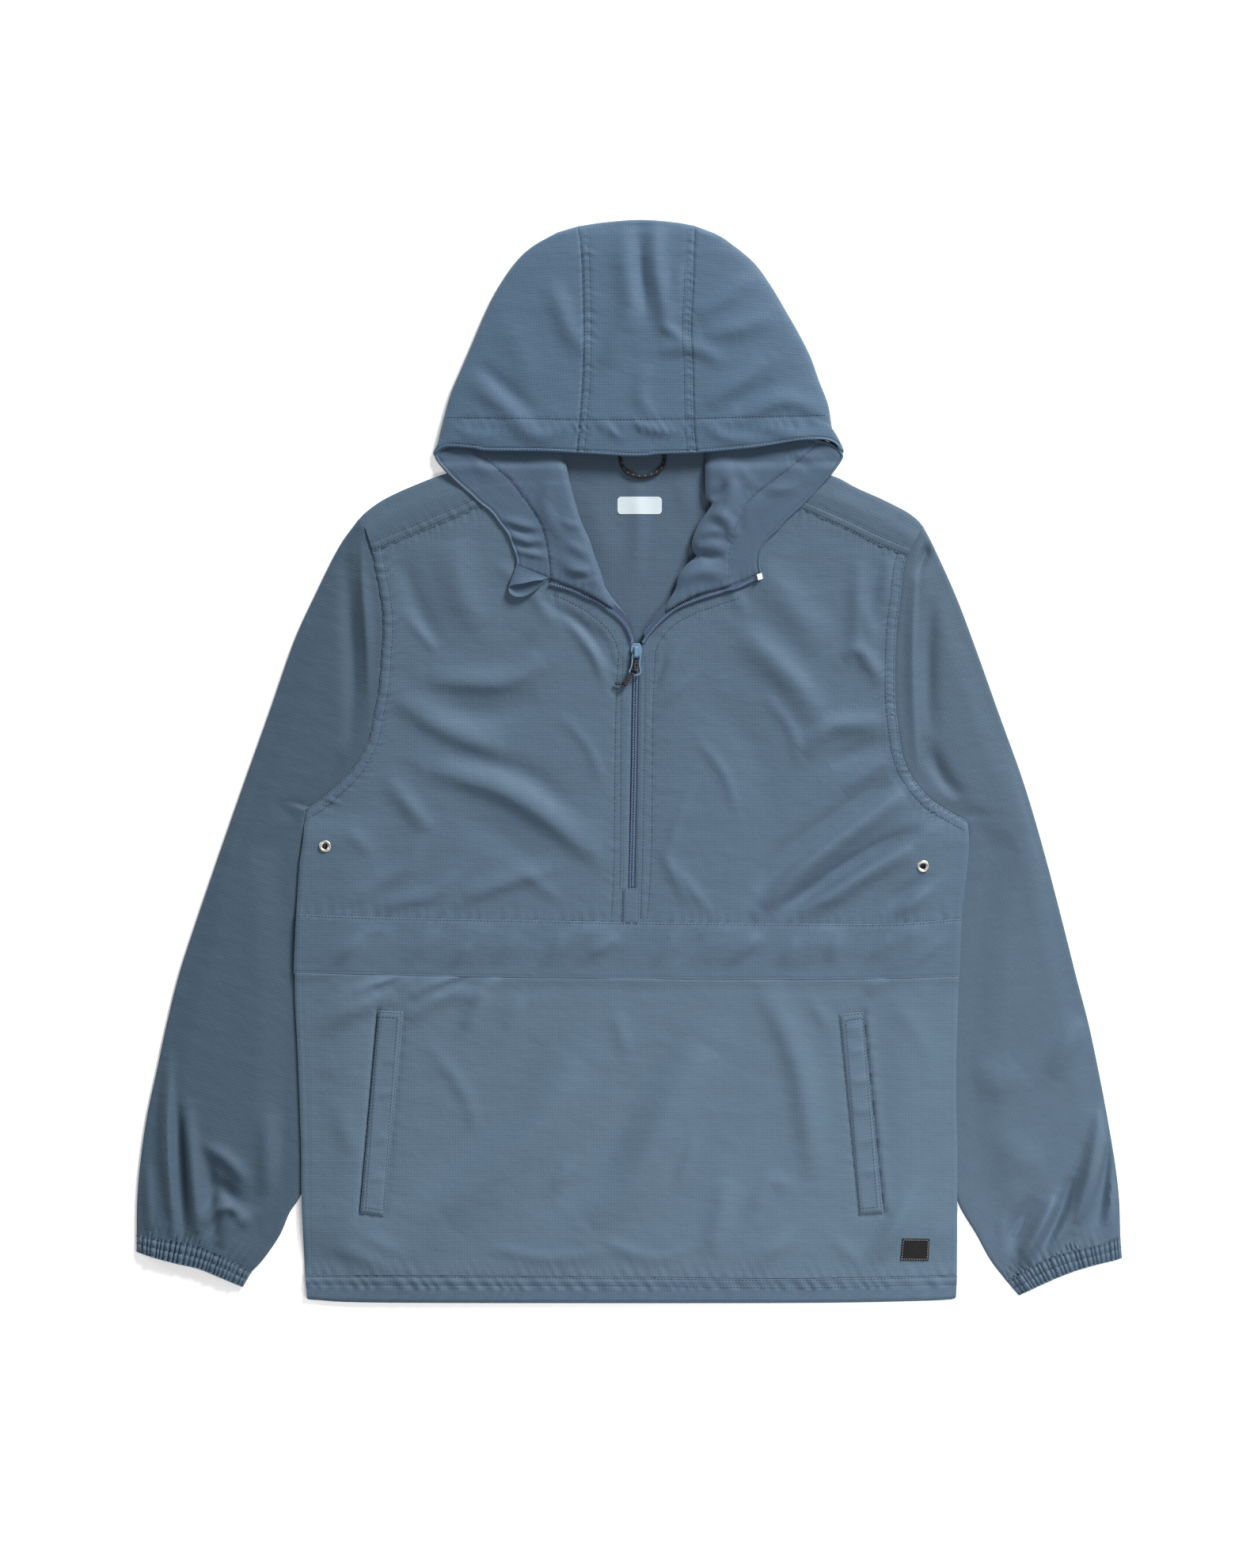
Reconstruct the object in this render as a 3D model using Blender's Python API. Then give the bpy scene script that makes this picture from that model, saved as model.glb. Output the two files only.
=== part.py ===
"""A hooded half-zip windbreaker pullover, laid flat on its back.

Every cut piece is a wall of cloth in an object of its own. The tables hold plan positions in
millimetres: x to the wearer's left (the viewer's right), y towards the hood. A piece is made from its
four border curves, and its height is what lies under it, plus a seam gap, the air that lifts the cloth
and its folds. The meshes are scaled to metres.
"""
import math

import bmesh
import bpy
import numpy as np
from mathutils import Vector
from mathutils.bvhtree import BVHTree

# ---------------------------------------------------------------- driving dimensions, in mm
MM = 0.001
WALL = 1.0               # thickness of a cloth piece with its seam allowances
THIN = 0.6               # zip tape, patch and binding
GAP = 0.3                # clearance at a seam
PLACKET_AIR = 2.6        # the stiff zip holds the front this far off the back
SIDE_AIR = 0.5           # air at a side seam
CHEST_AIR = 3.4          # air under the middle of the front
SLEEVE_FLAT = 2.8        # height of a sleeve where the body lies on it
SLEEVE_RISE = 3.1        # and how much higher its middle stands
BODY_LIFT = 3.2          # the body's side edges lie this high on the sleeves
LIFT_TOP = -48           # from here down the body lies on the sleeves
LIFT_BOTTOM = -438       # down to here
EDGE = 1.4               # height of the turn at a folded edge
TURN = 1.3               # how far a floor layer stays inside the fold
HOLE_RADIUS = 2.6        # eyelet hole
EYELET_RADIUS = 5.6
EYELET_HEIGHT = 0.9
COIL_WIDTH = 3.4
COIL_HEIGHT = 1.5
TAPE_HALF = 11           # half the width of the closed tape
TAPE_TOP = 3.6           # the closed tape lies just under the fronts
CUFF_LOW = 2.6           # height of a cuff at its side folds
CUFF_RISE = 3.0          # and how much higher its middle stands
GATHER = 0.5             # half the height of a cuff's gathers
LAPEL_ROLL = 1.8         # extra height of a lapel along its roll
CASING_STEP = 0.5        # extra height of the casing along a lapel's outer edge
CASING_WIDTH = 22
CORD_RADIUS = 1.0        # zip pull cord
LOOP_RADIUS = 1.45       # hang loop cord
STOP_HEIGHT = 2.0        # the zip's end stop
BAR = 1.1                # the pull tab's thickness
HINGE = (6.3, 94.5, 8.3)  # the pull tab's axis runs along X through here

# ---------------------------------------------------------------- plan curves: (x, y) in mm
# Left and right are the viewer's.
SIDE_LEFT = [(-287, -454), (-290, -386), (-290.5, -338), (-293.5, -258), (-296, -202), (-297, -167),
             (-294.5, -132), (-292, -93), (-289, -71), (-286.5, -42)]
SIDE_RIGHT = [(290, -454), (290, -386), (290, -338), (289, -286), (290.5, -216), (292.5, -167),
              (294.5, -129), (298, -101), (300.5, -75), (299.5, -53)]
ARMHOLE_LEFT = [(-286.5, -42), (-276, -35.5), (-260.5, -22.5), (-245.5, -7.5), (-236, 7.5),
                (-229.5, 22.5), (-225.5, 42.5), (-221, 67), (-218.5, 98.5), (-217.5, 123),
                (-220, 147.5), (-224, 167.5), (-227.5, 186)]
ARMHOLE_RIGHT = [(299.5, -53), (283, -44), (266, -33), (250, -14), (241.5, 5.5), (237.5, 31),
                 (235, 56.5), (235, 91.5), (236.5, 121), (239.5, 144), (242, 168.5), (245.5, 182)]
YOKE_END_LEFT = [(-227.5, 186), (-233, 205), (-239.5, 214)]
YOKE_END_RIGHT = [(245.5, 182), (252.5, 194), (259.5, 208)]
SHOULDER_LEFT = [(-239.5, 214), (-232.5, 221), (-217.5, 231.5), (-195.5, 242), (-164.5, 254),
                 (-136.5, 261), (-100, 265)]
SHOULDER_RIGHT = [(259.5, 208), (255.5, 213), (245, 221), (224.5, 231.5), (201, 242), (180, 252.5),
                  (143.5, 261), (106, 265.5)]
NECK_SEAM = [(-100, 265), (-60, 267), (4, 268), (62, 267.5), (106, 265.5)]
YOKE_SEAM_LEFT = [(-227.5, 186), (-193, 200), (-169.5, 210), (-145, 220), (-131, 227), (-98, 241)]
YOKE_SEAM_RIGHT = [(245.5, 182), (219, 192.5), (196.5, 203.5), (173.5, 214), (151, 224), (108, 243)]
HEM_EDGE = [(-285, -475.5), (-276, -476.5), (-231, -478.6), (-66, -479.2), (152, -479), (248, -477.5),
            (283, -476), (289, -474)]
HEM_SEAM = [(-287, -454), (-136, -454.5), (4, -455.5), (143, -457), (290, -454)]
FLAP_TOP = [(-294.5, -134.5), (-234, -137), (-171, -138.5), (-66, -140.5), (4, -142), (143, -143),
            (234, -143), (293.5, -138.5)]
FLAP_BOTTOM = [(-297, -187), (-213, -189), (-126, -191), (4, -192), (96, -193), (203, -192.5),
               (292, -190.5)]
POUCH_TOP = [(-295.5, -149), (4, -151), (293, -149)]
PLACKET_LEFT = [(-1.4, -151), (0.6, -27.5), (2.2, 63.5), (3.0, 98)]
PLACKET_RIGHT = [(4.6, -151), (6.6, -27.5), (8.2, 63.5), (9.6, 100)]
ROLL_LEFT = [(3.0, 98), (3, 112), (-2, 128), (-11, 139.5), (-18, 149), (-21, 154), (-26, 169.5),
             (-31, 182.5), (-35, 195.5), (-41.5, 209.5), (-45.5, 221), (-50.5, 238.5), (-54.5, 255.5),
             (-57.5, 272.5), (-61, 288)]
ROLL_RIGHT = [(9.6, 100), (14.5, 115), (21, 125.5), (28, 134.5), (35, 143), (40.5, 152), (42.5, 161),
              (46, 168.5), (54, 177), (59.5, 180.5), (56, 187), (55.5, 195.5), (59.5, 206), (65, 215.5),
              (70, 222.5), (73, 228), (68, 233), (67, 244.5), (67, 271), (68.5, 288)]
LAPEL_EDGE_LEFT = [(-100, 175), (-101, 181.5), (-104.5, 191), (-108.5, 201), (-115, 209.5), (-123, 220),
                   (-132.5, 227.5), (-140.5, 235), (-153.5, 246.5), (-162, 256.5), (-168, 266)]
LAPEL_EDGE_RIGHT = [(116, 169.5), (115.5, 178.5), (117.5, 187.5), (122.5, 195.5), (131, 203.5),
                    (138, 211.5), (147, 220), (158, 230.5), (168.5, 242), (177.5, 252.5), (184.5, 266)]
TAPE_LEFT = [(-100, 175), (-68.5, 164), (-55.5, 159), (-42, 154), (-28.5, 147), (-15.5, 138),
             (-6.5, 131), (0, 121), (2.4, 112)]
TAPE_RIGHT = [(116, 169.5), (88, 158), (60, 150.5), (42, 141.5), (29.5, 132.5), (20, 121), (14, 113.5)]
CHAIN_LEFT = [(-70, 156.5), (-51, 151), (-38, 145), (-28.5, 141), (-19.5, 134.5), (-11, 128.5),
              (-4, 121), (0.4, 112), (2.6, 105.5)]
CHAIN_RIGHT = [(113, 161.5), (96, 154), (77.5, 148.5), (60, 143), (42, 135.5), (28, 124.5),
               (17.5, 113.5), (12, 105.5)]
SLEEVE_OUTER_LEFT = [(-239.9, 214), (-257, 189.5), (-278, 147.5), (-297, 105.5), (-319, 42.5),
                     (-341.5, -20.5), (-363.5, -83.5), (-385, -146.5), (-398.5, -188.5), (-409, -230.5),
                     (-418, -272.5), (-427, -314.5), (-433, -356.5), (-435.5, -388), (-436, -418)]
SLEEVE_INNER_LEFT = [(-287, -42.3), (-290.5, -60), (-291.8, -78), (-287, -102), (-281, -140), (-277, -200),
                     (-277, -272), (-281.5, -328), (-286.5, -370), (-292, -386), (-300.5, -399),
                     (-309.5, -419.5), (-324, -440.5), (-334, -451)]
SLEEVE_OUTER_RIGHT = [(259.9, 208), (269.5, 189.5), (288.5, 147.5), (304.5, 105.5), (327, 42.5),
                      (349.5, -20.5), (368, -83.5), (384.5, -146.5), (395, -188.5), (406, -230.5),
                      (415, -272.5), (423, -314.5), (430, -356.5), (433.5, -388), (434.5, -420)]
SLEEVE_INNER_RIGHT = [(300, -53.4), (302.5, -68), (302.4, -84), (297, -108), (289, -140), (282, -200),
                      (280, -272), (281, -328), (285.5, -370), (290, -388), (295.5, -400),
                      (307.5, -419.5), (319, -440.5), (333, -459)]
CUFF_SEAM_LEFT = [(-436, -418), (-422, -420.5), (-405.5, -423.5), (-386.5, -427), (-370.5, -432.5),
                  (-353, -440), (-343.5, -445.5), (-334, -451)]
CUFF_SEAM_RIGHT = [(434.5, -420), (416, -427), (392.5, -432.5), (375, -437.5), (357.5, -445),
                   (346.5, -453), (333, -459)]
CUFF_END_LEFT = [(-436, -434), (-416.5, -440), (-399, -444.5), (-381.5, -448.5), (-364, -455.5),
                 (-342, -465)]
CUFF_END_RIGHT = [(436, -439.5), (404, -447.5), (381, -455.5), (357.5, -466), (344.5, -472.5)]
HOOD_MOUTH = [(-171, 271), (-167.5, 275.5), (-150.5, 277), (-131.5, 275), (-78.5, 273.5), (-46.5, 272),
              (-4, 269.5), (14, 269.5), (27.5, 271), (58.8, 272), (99.5, 275.5), (120.5, 278),
              (142, 281.5), (163, 283.5), (178.5, 282), (188.5, 273)]
HOOD_SEAM_LEFT = [(-46.5, 272), (-44, 300.5), (-41.5, 335.5), (-40.5, 381.5), (-42, 441.5), (-45, 473.6)]
HOOD_SEAM_RIGHT = [(58.8, 272), (56.5, 300.5), (55.5, 350.5), (54, 381.5), (55.5, 416.5), (58, 473.8)]
HOOD_SIDE_LEFT = [(-171, 271), (-169.5, 284), (-164, 305), (-158, 326), (-149, 347), (-140, 368),
                  (-126.5, 399.5), (-115.5, 420.5), (-101, 441.5), (-86, 455.5), (-64, 468)]
HOOD_SIDE_RIGHT = [(188.5, 273), (183, 284), (178.5, 295), (176, 315.5), (168, 336.5), (160.5, 357.5),
                   (150, 378.5), (138, 399.5), (125.5, 420.5), (110, 441.5), (87.5, 460), (76, 467)]
HOOD_CROWN = [(-45, 473.6), (-20, 477.2), (10.5, 479.2), (40, 477), (58, 473.8)]
POUCH_SIDE_LEFT = [(-287, -453.7), (-290, -386), (-290.5, -338), (-293.5, -258), (-296, -202),
                   (-295.5, -149.3)]
POUCH_SIDE_RIGHT = [(290, -453.7), (290, -386), (290, -338), (289, -286), (290.5, -216), (293, -149.3)]
ZIP_LINE = [(1.5, -111), (3.6, -27.5), (5.2, 63.5), (6.2, 91)]
LOOP_ROUTE = [(-7.5, 275), (-7.5, 267.5), (-6.5, 261), (-1.5, 255), (7, 252), (16, 252.4), (24.5, 255.4),
              (30, 261), (31.2, 267.5), (31.2, 275)]
CASING_SEAM = [(-99.6, 173.6), (-84, 167.4), (-70.6, 162.4)]
CASING_LIP = [(-105.5, 152.5), (-101, 148.4), (-90, 145.2), (-80, 147.5), (-72.5, 155)]

# Small pieces by their corners, round from the lower left.
WELT_LEFT = [(-238, -399), (-217, -402), (-199.5, -221), (-222, -220)]
WELT_RIGHT = [(203.5, -400.5), (224.5, -399), (206.5, -221), (185.5, -223.5)]
HEM_PATCH = [(239.5, -441), (264.5, -441.5), (265.5, -422), (241, -421.5)]
ZIP_BOX = [(-6.5, -140), (8.8, -140), (9.8, -112), (-5.6, -112)]
END_STOP = [(113.8, 160), (118, 161.5), (116.8, 166.6), (112.6, 165)]
EYELET_LEFT = (-269, -75)
EYELET_RIGHT = (259.5, -92.5)

# The zip pull cord's route: x, y, z.
PULL_ROUTE = [(-12, 68.6, 7.2), (-8, 68.2, 7.6), (-3.8, 69, 8.4), (-0.6, 72.4, 9.6), (2, 76.2, 10.3),
              (4.4, 80.4, 10.3), (4.9, 84.4, 9.3), (5.0, 87.0, 8.6), (5.5, 88.3, 8.3), (6.2, 88.7, 8.3),
              (6.9, 88.3, 8.3), (7.4, 87.0, 8.6), (7.4, 83.6, 9.3)]

# The pull tab's outline and opening: y from the hinge, x from the hinge, half width.
TAB_OUTER = [(0.55, 0, 3.6), (-0.6, 0, 4.2), (-7, -0.4, 4.0), (-11, -0.7, 4.3), (-13, -0.9, 5.2),
             (-15, -1.1, 5.7), (-17, -1.2, 5.1), (-18.4, -1.3, 3.4), (-19, -1.3, 1.4)]
TAB_INNER = [(-0.55, 0, 2.3), (-2, 0, 2.8), (-7, -0.4, 2.7), (-11, -0.7, 3.0), (-13, -0.9, 3.9),
             (-15, -1.1, 4.4), (-16.4, -1.2, 3.8), (-17.3, -1.3, 2.4), (-17.7, -1.3, 1.0)]

# The slider's plate: half width, y from the hinge. Its bridge, seen from the side: y and z from the hinge.
SLIDER_PLATE = [(3.0, 10), (4.6, 6.8), (5.0, 3.6), (4.3, 0.4), (3.7, -3)]
SLIDER_BRIDGE = [(7.1, -1.9), (7.1, 1.0), (5.9, 2.1), (-1.6, 2.1), (-2.8, 1.0), (-2.8, -1.9),
                 (-1.6, -1.9), (-1.6, 1.0), (5.9, 1.0), (5.9, -1.9)]
BRIDGE_HALF = 1.7

# ---------------------------------------------------------------- folds
# height above (+) or below (-) the cloth round it, half width across, then the line it runs along.
FRONT_FOLDS = [
    (-2.2, 15, [(-191, 190), (-158, 141), (-129, 106), (-108, 106)]),
    (2.6, 17, [(-161, 62), (-129, 58), (-69, 74)]),
    (-2.2, 13, [(-196, 74), (-174, 46), (-148, 30), (-129, 20)]),
    (2.4, 15, [(-215, 39), (-161, 15), (-126, 8)]),
    (-2.4, 13, [(-180, 1), (-119, -8), (-75, -34), (-43, -66)]),
    (3.0, 16, [(-167, -18), (-119, -40), (-75, -62), (-36, -88)]),
    (1.8, 13, [(-229, -11), (-192, -50), (-164, -75)]),
    (-1.8, 12, [(-234, -120), (-202, -110), (-180, -108), (-161, -91)]),
    (-2.0, 16, [(126, 179), (161, 138)]),
    (2.2, 18, [(94, 106), (139, 59), (158, 27)]),
    (-2.0, 14, [(161, 27), (181, 46), (209, 39)]),
    (2.4, 13, [(148, -18), (168, 11), (193, 24), (225, 27)]),
    (-2.4, 12, [(107, -130), (130, -94), (168, -66), (193, -52), (234, -18)]),
    (3.0, 14, [(117, -136), (142, -107), (187, -81), (238, -50)]),
    (-2.0, 11, [(136, -126), (168, -110), (206, -90), (244, -72)]),
    (-1.6, 12, [(228, -129), (253, -112), (276, -104)]),
]
POUCH_FOLDS = [
    (-2.4, 18, [(-57, -261), (-90, -307), (-127, -348), (-173, -395)]),
    (2.0, 20, [(-20, -280), (-55, -330), (-95, -385)]),
    (-2.4, 18, [(54, -248), (21, -302), (-12, -368), (-49, -399)]),
    (2.2, 20, [(90, -270), (60, -330), (30, -395)]),
    (-1.8, 14, [(107, -205), (124, -240), (140, -280), (153, -372)]),
    (2.0, 14, [(-280, -262), (-240, -232)]),
    (-1.6, 14, [(-270, -414), (-202, -440)]),
    (2.2, 14, [(227, -440), (260, -388)]),
    (-1.6, 12, [(264, -414), (278, -372)]),
]
HOOD_FOLDS = [
    (-3.6, 10, [(15, 470), (17, 430), (21, 380)]),
    (2.6, 12, [(-6, 460), (-4, 400), (-12, 350)]),
    (2.2, 12, [(65, 386), (118, 426)]),
    (-2.2, 12, [(62, 374), (124, 400)]),
    (-2.0, 14, [(-78, 415), (-63, 374), (-50, 352)]),
    (2.4, 14, [(-127, 345), (-89, 318)]),
    (-2.2, 13, [(-136, 330), (-100, 305), (-78, 298)]),
    (2.2, 14, [(77, 312), (124, 345)]),
    (-2.0, 12, [(106, 305), (135, 322), (165, 314)]),
]
SLEEVE_FOLDS = [
    (-1.6, 9, [(-240, 200), (-241, 152), (-236, 98), (-233, 42)]),
    (-2.4, 9, [(-410, -251), (-413, -335), (-407, -405)]),
    (2.0, 8, [(-402, -307), (-396, -405)]),
    (-2.2, 9, [(-392, -330), (-386, -408)]),
    (1.8, 12, [(-362, -340), (-358, -410)]),
    (-1.6, 8, [(252, 190), (251, 126), (250, 50), (254, -3)]),
    (-2.4, 9, [(412, -309), (392, -400)]),
    (2.2, 9, [(424, -314), (404, -400)]),
    (-2.2, 10, [(370, -386), (346, -425)]),
    (2.0, 10, [(384, -372), (360, -425)]),
]

# Heights of the hood's upper layer above the floor: y, height.
HOOD_HEIGHTS = [(272, 12.0), (300, 13.0), (400, 11.5), (450, 9.0), (466, 7.2), (474, 5.2)]

# ---------------------------------------------------------------- stations
# Where a piece has its rows and columns, as shares of its borders; they are closer near a fold.
UPPER = (0, 0.06, 0.14, 0.24, 0.36, 0.48, 0.6, 0.72, 0.84, 0.93, 1)      # across a sleeve's upper layer
FLOOR = (0, 0.3, 0.7, 1)                                                # and across a layer on the floor
SLEEVE_ROWS = (0, 0.03, 0.07, 0.12, 0.18, 0.25, 0.32, 0.39, 0.46, 0.53, 0.6, 0.67, 0.74, 0.8, 0.85,
               0.9, 0.95, 1)
CUFF_STATIONS = tuple(np.linspace(0, 1, 76))                            # three to a gather
BACK_ACROSS = (0, 0.03, 0.06, 0.09, 0.13, 0.3, 0.5, 0.7, 0.87, 0.91, 0.94, 0.97, 1)
SIDE_ROWS = (0, 0.04, 0.1, 0.24, 0.4, 0.56, 0.7, 0.82, 0.91, 0.955, 1)
HOOD_STATIONS = (0, 0.12, 0.26, 0.4, 0.54, 0.68, 0.8, 0.9, 0.96, 1)
CENTRE_STATIONS = (0, 0.07, 0.15, 0.24, 0.34, 0.44, 0.54, 0.64, 0.74, 0.83, 0.91, 0.96, 1)
CENTRE_FLOOR = (0, 0.15, 0.34, 0.54, 0.74, 0.91, 1)
CASING_STATIONS = (0, 0.1, 0.25, 0.4, 0.6, 0.75, 0.9, 1)
ARM_POINTS = 12
YOKE_END_POINTS = 3
CHEST_ROWS = 7
YOKE_COLUMNS = 11
NECK_COLUMNS = 6
POUCH_ROWS = 16
POUCH_COLUMNS = 27
HEM_BACK_COLUMNS = 9
FLAP_ROWS = 4
LAPEL_COLUMNS = 9
LAPEL_ROWS = 12
OPEN_ZIP_POINTS = 15
CLOSED_TAPE_POINTS = 8
CLOSED_COIL_POINTS = 12
EYELET_SIDES = 14
KNOT_SIDES = 14
KNOT_ROUND = 8
TAB_POINTS = 40

for old in list(bpy.data.objects):
    bpy.data.objects.remove(old, do_unlink=True)


# ---------------------------------------------------------------- materials
def linear(value):
    """An 8-bit screen value as a linear one."""
    value = value / 255
    return value / 12.92 if value <= 0.04045 else ((value + 0.055) / 1.055) ** 2.4


def material(name, red, green, blue, roughness, metallic=0.0):
    made = bpy.data.materials.new(name)
    made.use_nodes = True
    shader = made.node_tree.nodes["Principled BSDF"]
    shader.inputs["Base Color"].default_value = (linear(red), linear(green), linear(blue), 1)
    shader.inputs["Roughness"].default_value = roughness
    shader.inputs["Metallic"].default_value = metallic
    return made


RIPSTOP = material("ripstop", 97, 117, 137, 0.8)
TAPE = material("zip_tape_cloth", 84, 104, 126, 0.9)
COIL = material("zip_coil_plastic", 88, 108, 138, 0.5)
PAINT = material("slider_paint", 124, 158, 184, 0.35)
CORD = material("dark_cord", 48, 40, 36, 0.9)
NICKEL = material("eyelet_nickel", 196, 198, 200, 0.3, 1.0)
STOP = material("end_stop_plastic", 226, 228, 230, 0.4)
PATCH = material("patch_cloth", 24, 25, 28, 0.9)


# ---------------------------------------------------------------- curves
def smooth(points, steps=12):
    """A dense smooth curve through a table's points."""
    points = np.array(points, dtype=float)
    if len(points) < 3:
        return points
    ends = np.vstack([2 * points[0] - points[1], points, 2 * points[-1] - points[-2]])
    curve = []
    for p0, p1, p2, p3 in zip(ends, ends[1:], ends[2:], ends[3:]):
        for t in np.arange(steps) / steps:
            curve.append(0.5 * (2 * p1 + (p2 - p0) * t + (2 * p0 - 5 * p1 + 4 * p2 - p3) * t ** 2
                                + (3 * p1 - p0 - 3 * p2 + p3) * t ** 3))
    return np.array(curve + [points[-1]])


def lengths(curve):
    """Distance along a curve at each of its points, from 0 to 1."""
    steps = np.linalg.norm(np.diff(curve, axis=0), axis=1)
    along = np.concatenate([[0], np.cumsum(steps)])
    return along / along[-1]


def spaced(points, fractions):
    """The smooth curve through a table, read at fractions of its length."""
    curve = smooth(points)
    along = lengths(curve)
    return np.array([[np.interp(f, along, curve[:, axis]) for axis in range(curve.shape[1])]
                     for f in fractions])


def even(points, count):
    return spaced(points, np.linspace(0, 1, count))


def joined(*curves):
    """Curves laid end to end, without their doubled corners."""
    return np.vstack([curves[0]] + [curve[1:] for curve in curves[1:]])


def patch(bottom, top, left, right):
    """Plan points inside four border curves: rows run from the bottom curve to the top one."""
    across = (lengths(bottom) + lengths(top)) / 2
    up = (lengths(left) + lengths(right)) / 2
    u = across[None, :, None]
    v = up[:, None, None]
    ruled = (1 - v) * bottom[None] + v * top[None] + (1 - u) * left[:, None] + u * right[:, None]
    corners = ((1 - u) * (1 - v) * bottom[0] + u * (1 - v) * bottom[-1]
               + (1 - u) * v * top[0] + u * v * top[-1])
    return ruled - corners


def moved(curve, distance):
    """A plan curve moved sideways, to the left of its own direction."""
    way = np.gradient(curve, axis=0)
    way /= np.linalg.norm(way, axis=1)[:, None]
    return curve + distance * np.stack([-way[:, 1], way[:, 0]], axis=1)


# ---------------------------------------------------------------- solids
LAID = {}


def keep(mesh_points, faces, name, look):
    """Make a closed solid from points in mm, and remember it as something to lie on."""
    mesh = bpy.data.meshes.new(name)
    mesh.from_pydata([tuple(point) for point in np.array(mesh_points) * MM], [], faces)
    shape = bmesh.new()
    shape.from_mesh(mesh)
    bmesh.ops.recalc_face_normals(shape, faces=shape.faces)
    bmesh.ops.triangulate(shape, faces=shape.faces)
    shape.to_mesh(mesh)
    LAID[name] = BVHTree.FromBMesh(shape)
    shape.free()
    mesh.materials.append(look)
    made = bpy.data.objects.new(name, mesh)
    bpy.context.collection.objects.link(made)
    mesh.shade_smooth()
    mesh.set_sharp_from_angle(angle=math.radians(50))
    return made


def wall(name, outer, inner, look, ring=False):
    """A wall of cloth between an outer and an inner grid of points, open or closed into a tube."""
    outer = np.array(outer)
    inner = np.array(inner)
    rows, columns = outer.shape[:2]
    points = np.vstack([outer.reshape(-1, 3), inner.reshape(-1, 3)])
    below = rows * columns
    faces = []
    last = columns if ring else columns - 1
    for row in range(rows - 1):
        for column in range(last):
            a = row * columns + column
            b = row * columns + (column + 1) % columns
            c = b + columns
            d = a + columns
            faces.append((a, b, c, d))
            faces.append((a + below, d + below, c + below, b + below))
    for column in range(last):
        a = column
        b = (column + 1) % columns
        faces.append((a, a + below, b + below, b))
        a += (rows - 1) * columns
        b += (rows - 1) * columns
        faces.append((a, b, b + below, a + below))
    if not ring:
        for row in range(rows - 1):
            a = row * columns
            faces.append((a, a + columns, a + columns + below, a + below))
            a += columns - 1
            faces.append((a, a + below, a + columns + below, a + columns))
    return keep(points, faces, name, look)


def across_at(row, stations, share):
    """A plan point between a row's stations."""
    return np.array([np.interp(share, stations, row[:, axis]) for axis in (0, 1)])


def folded(name, plan, top, closed_from=None, stations=UPPER, floor=FLOOR, under=None, rest=0.0):
    """Cloth folded back on itself: an upper layer, a fold at its last station and a layer on the floor.

    Each row of the plan runs from the near side to the fold. The near side is open, as at an armhole or
    a hood's mouth, up to the row closed_from, and a second fold from there on. The floor layer lies at
    the height rest.
    """
    count = len(plan)
    closed_from = count if closed_from is None else closed_from
    outer = []
    inner = []
    for index, row in enumerate(plan):
        closed = index >= closed_from
        width = np.linalg.norm(row[-1] - row[0])
        inset = min(0.4, 1.15 * WALL / width)
        turn = min(0.45, TURN / width)
        section = []
        for share in stations:
            x, y = across_at(row, stations, share)
            high = top(x, y, share, width, index)
            low = under(x, y, share, width, index) if under else high - WALL
            if share == 1 or (share == 0 and closed):
                high = low = EDGE
            section.append((share, high, low))
        start = turn if closed else 0
        section += [(start + (1 - turn - start) * share, 0.0, WALL) for share in reversed(floor)]
        skin = []
        hollow = []
        for share, high, low in section:
            skin.append((*across_at(row, stations, share), high + rest))
            inside = 0.5 + (share - 0.5) * (1 - 2 * inset) if closed else share * (1 - inset)
            hollow.append((*across_at(row, stations, inside), low + rest))
        outer.append(skin)
        inner.append(hollow)
    outer = np.array(outer)
    inner = np.array(inner)
    columns = outer.shape[1]
    below = count * columns
    faces = []
    for r in range(count - 1):
        last = columns if r >= closed_from else columns - 1
        for c in range(last):
            a, b = r * columns + c, r * columns + (c + 1) % columns
            faces.append((a, b, b + columns, a + columns))
            faces.append((a + below, a + columns + below, b + columns + below, b + below))
        if r < closed_from:
            for c in (0, columns - 1):
                a = r * columns + c
                faces.append((a, a + columns, a + columns + below, a + below))
    for r, last in ((0, columns if closed_from == 0 else columns - 1),
                    (count - 1, columns if closed_from < count else columns - 1)):
        for c in range(last):
            a, b = r * columns + c, r * columns + (c + 1) % columns
            faces.append((a, a + below, b + below, b))
    if 0 < closed_from < count:
        a, b = closed_from * columns + columns - 1, closed_from * columns
        faces.append((a, b, b + below, a + below))
    return keep(np.vstack([outer.reshape(-1, 3), inner.reshape(-1, 3)]), faces, name, RIPSTOP)


def height(x, y, under, reach, ground=None):
    """The highest point, within reach of a place, of the pieces named as lying under it."""
    best = ground(x, y) if ground else 0.0
    steps = (-reach, -reach / 2, 0, reach / 2, reach)
    for side in steps:
        for ahead in steps:
            start = Vector(((x + side) * MM, (y + ahead) * MM, 1))
            for name in under:
                hit = LAID[name].ray_cast(start, Vector((0, 0, -1)))[0]
                if hit is not None:
                    best = max(best, hit.z / MM)
    return best


def lay(name, plan, under, air, look=None, thickness=WALL, reach=8.0, ground=None):
    """Lay a piece on the pieces under it, with air between by a function of its place."""
    lifted = GAP + thickness
    top = np.array([[(x, y, height(x, y, under, reach, ground) + lifted + air(x, y)) for x, y in row]
                    for row in plan])
    return wall(name, top, top - np.array([0, 0, thickness]), look or RIPSTOP)


# ---------------------------------------------------------------- air and folds
def ease(value):
    """A soft step from 0 to 1."""
    value = min(1.0, max(0.0, value))
    return value * value * (3 - 2 * value)


def ready(folds):
    return [(rise, width, smooth(line, 4)) for rise, width, line in folds]


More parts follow.
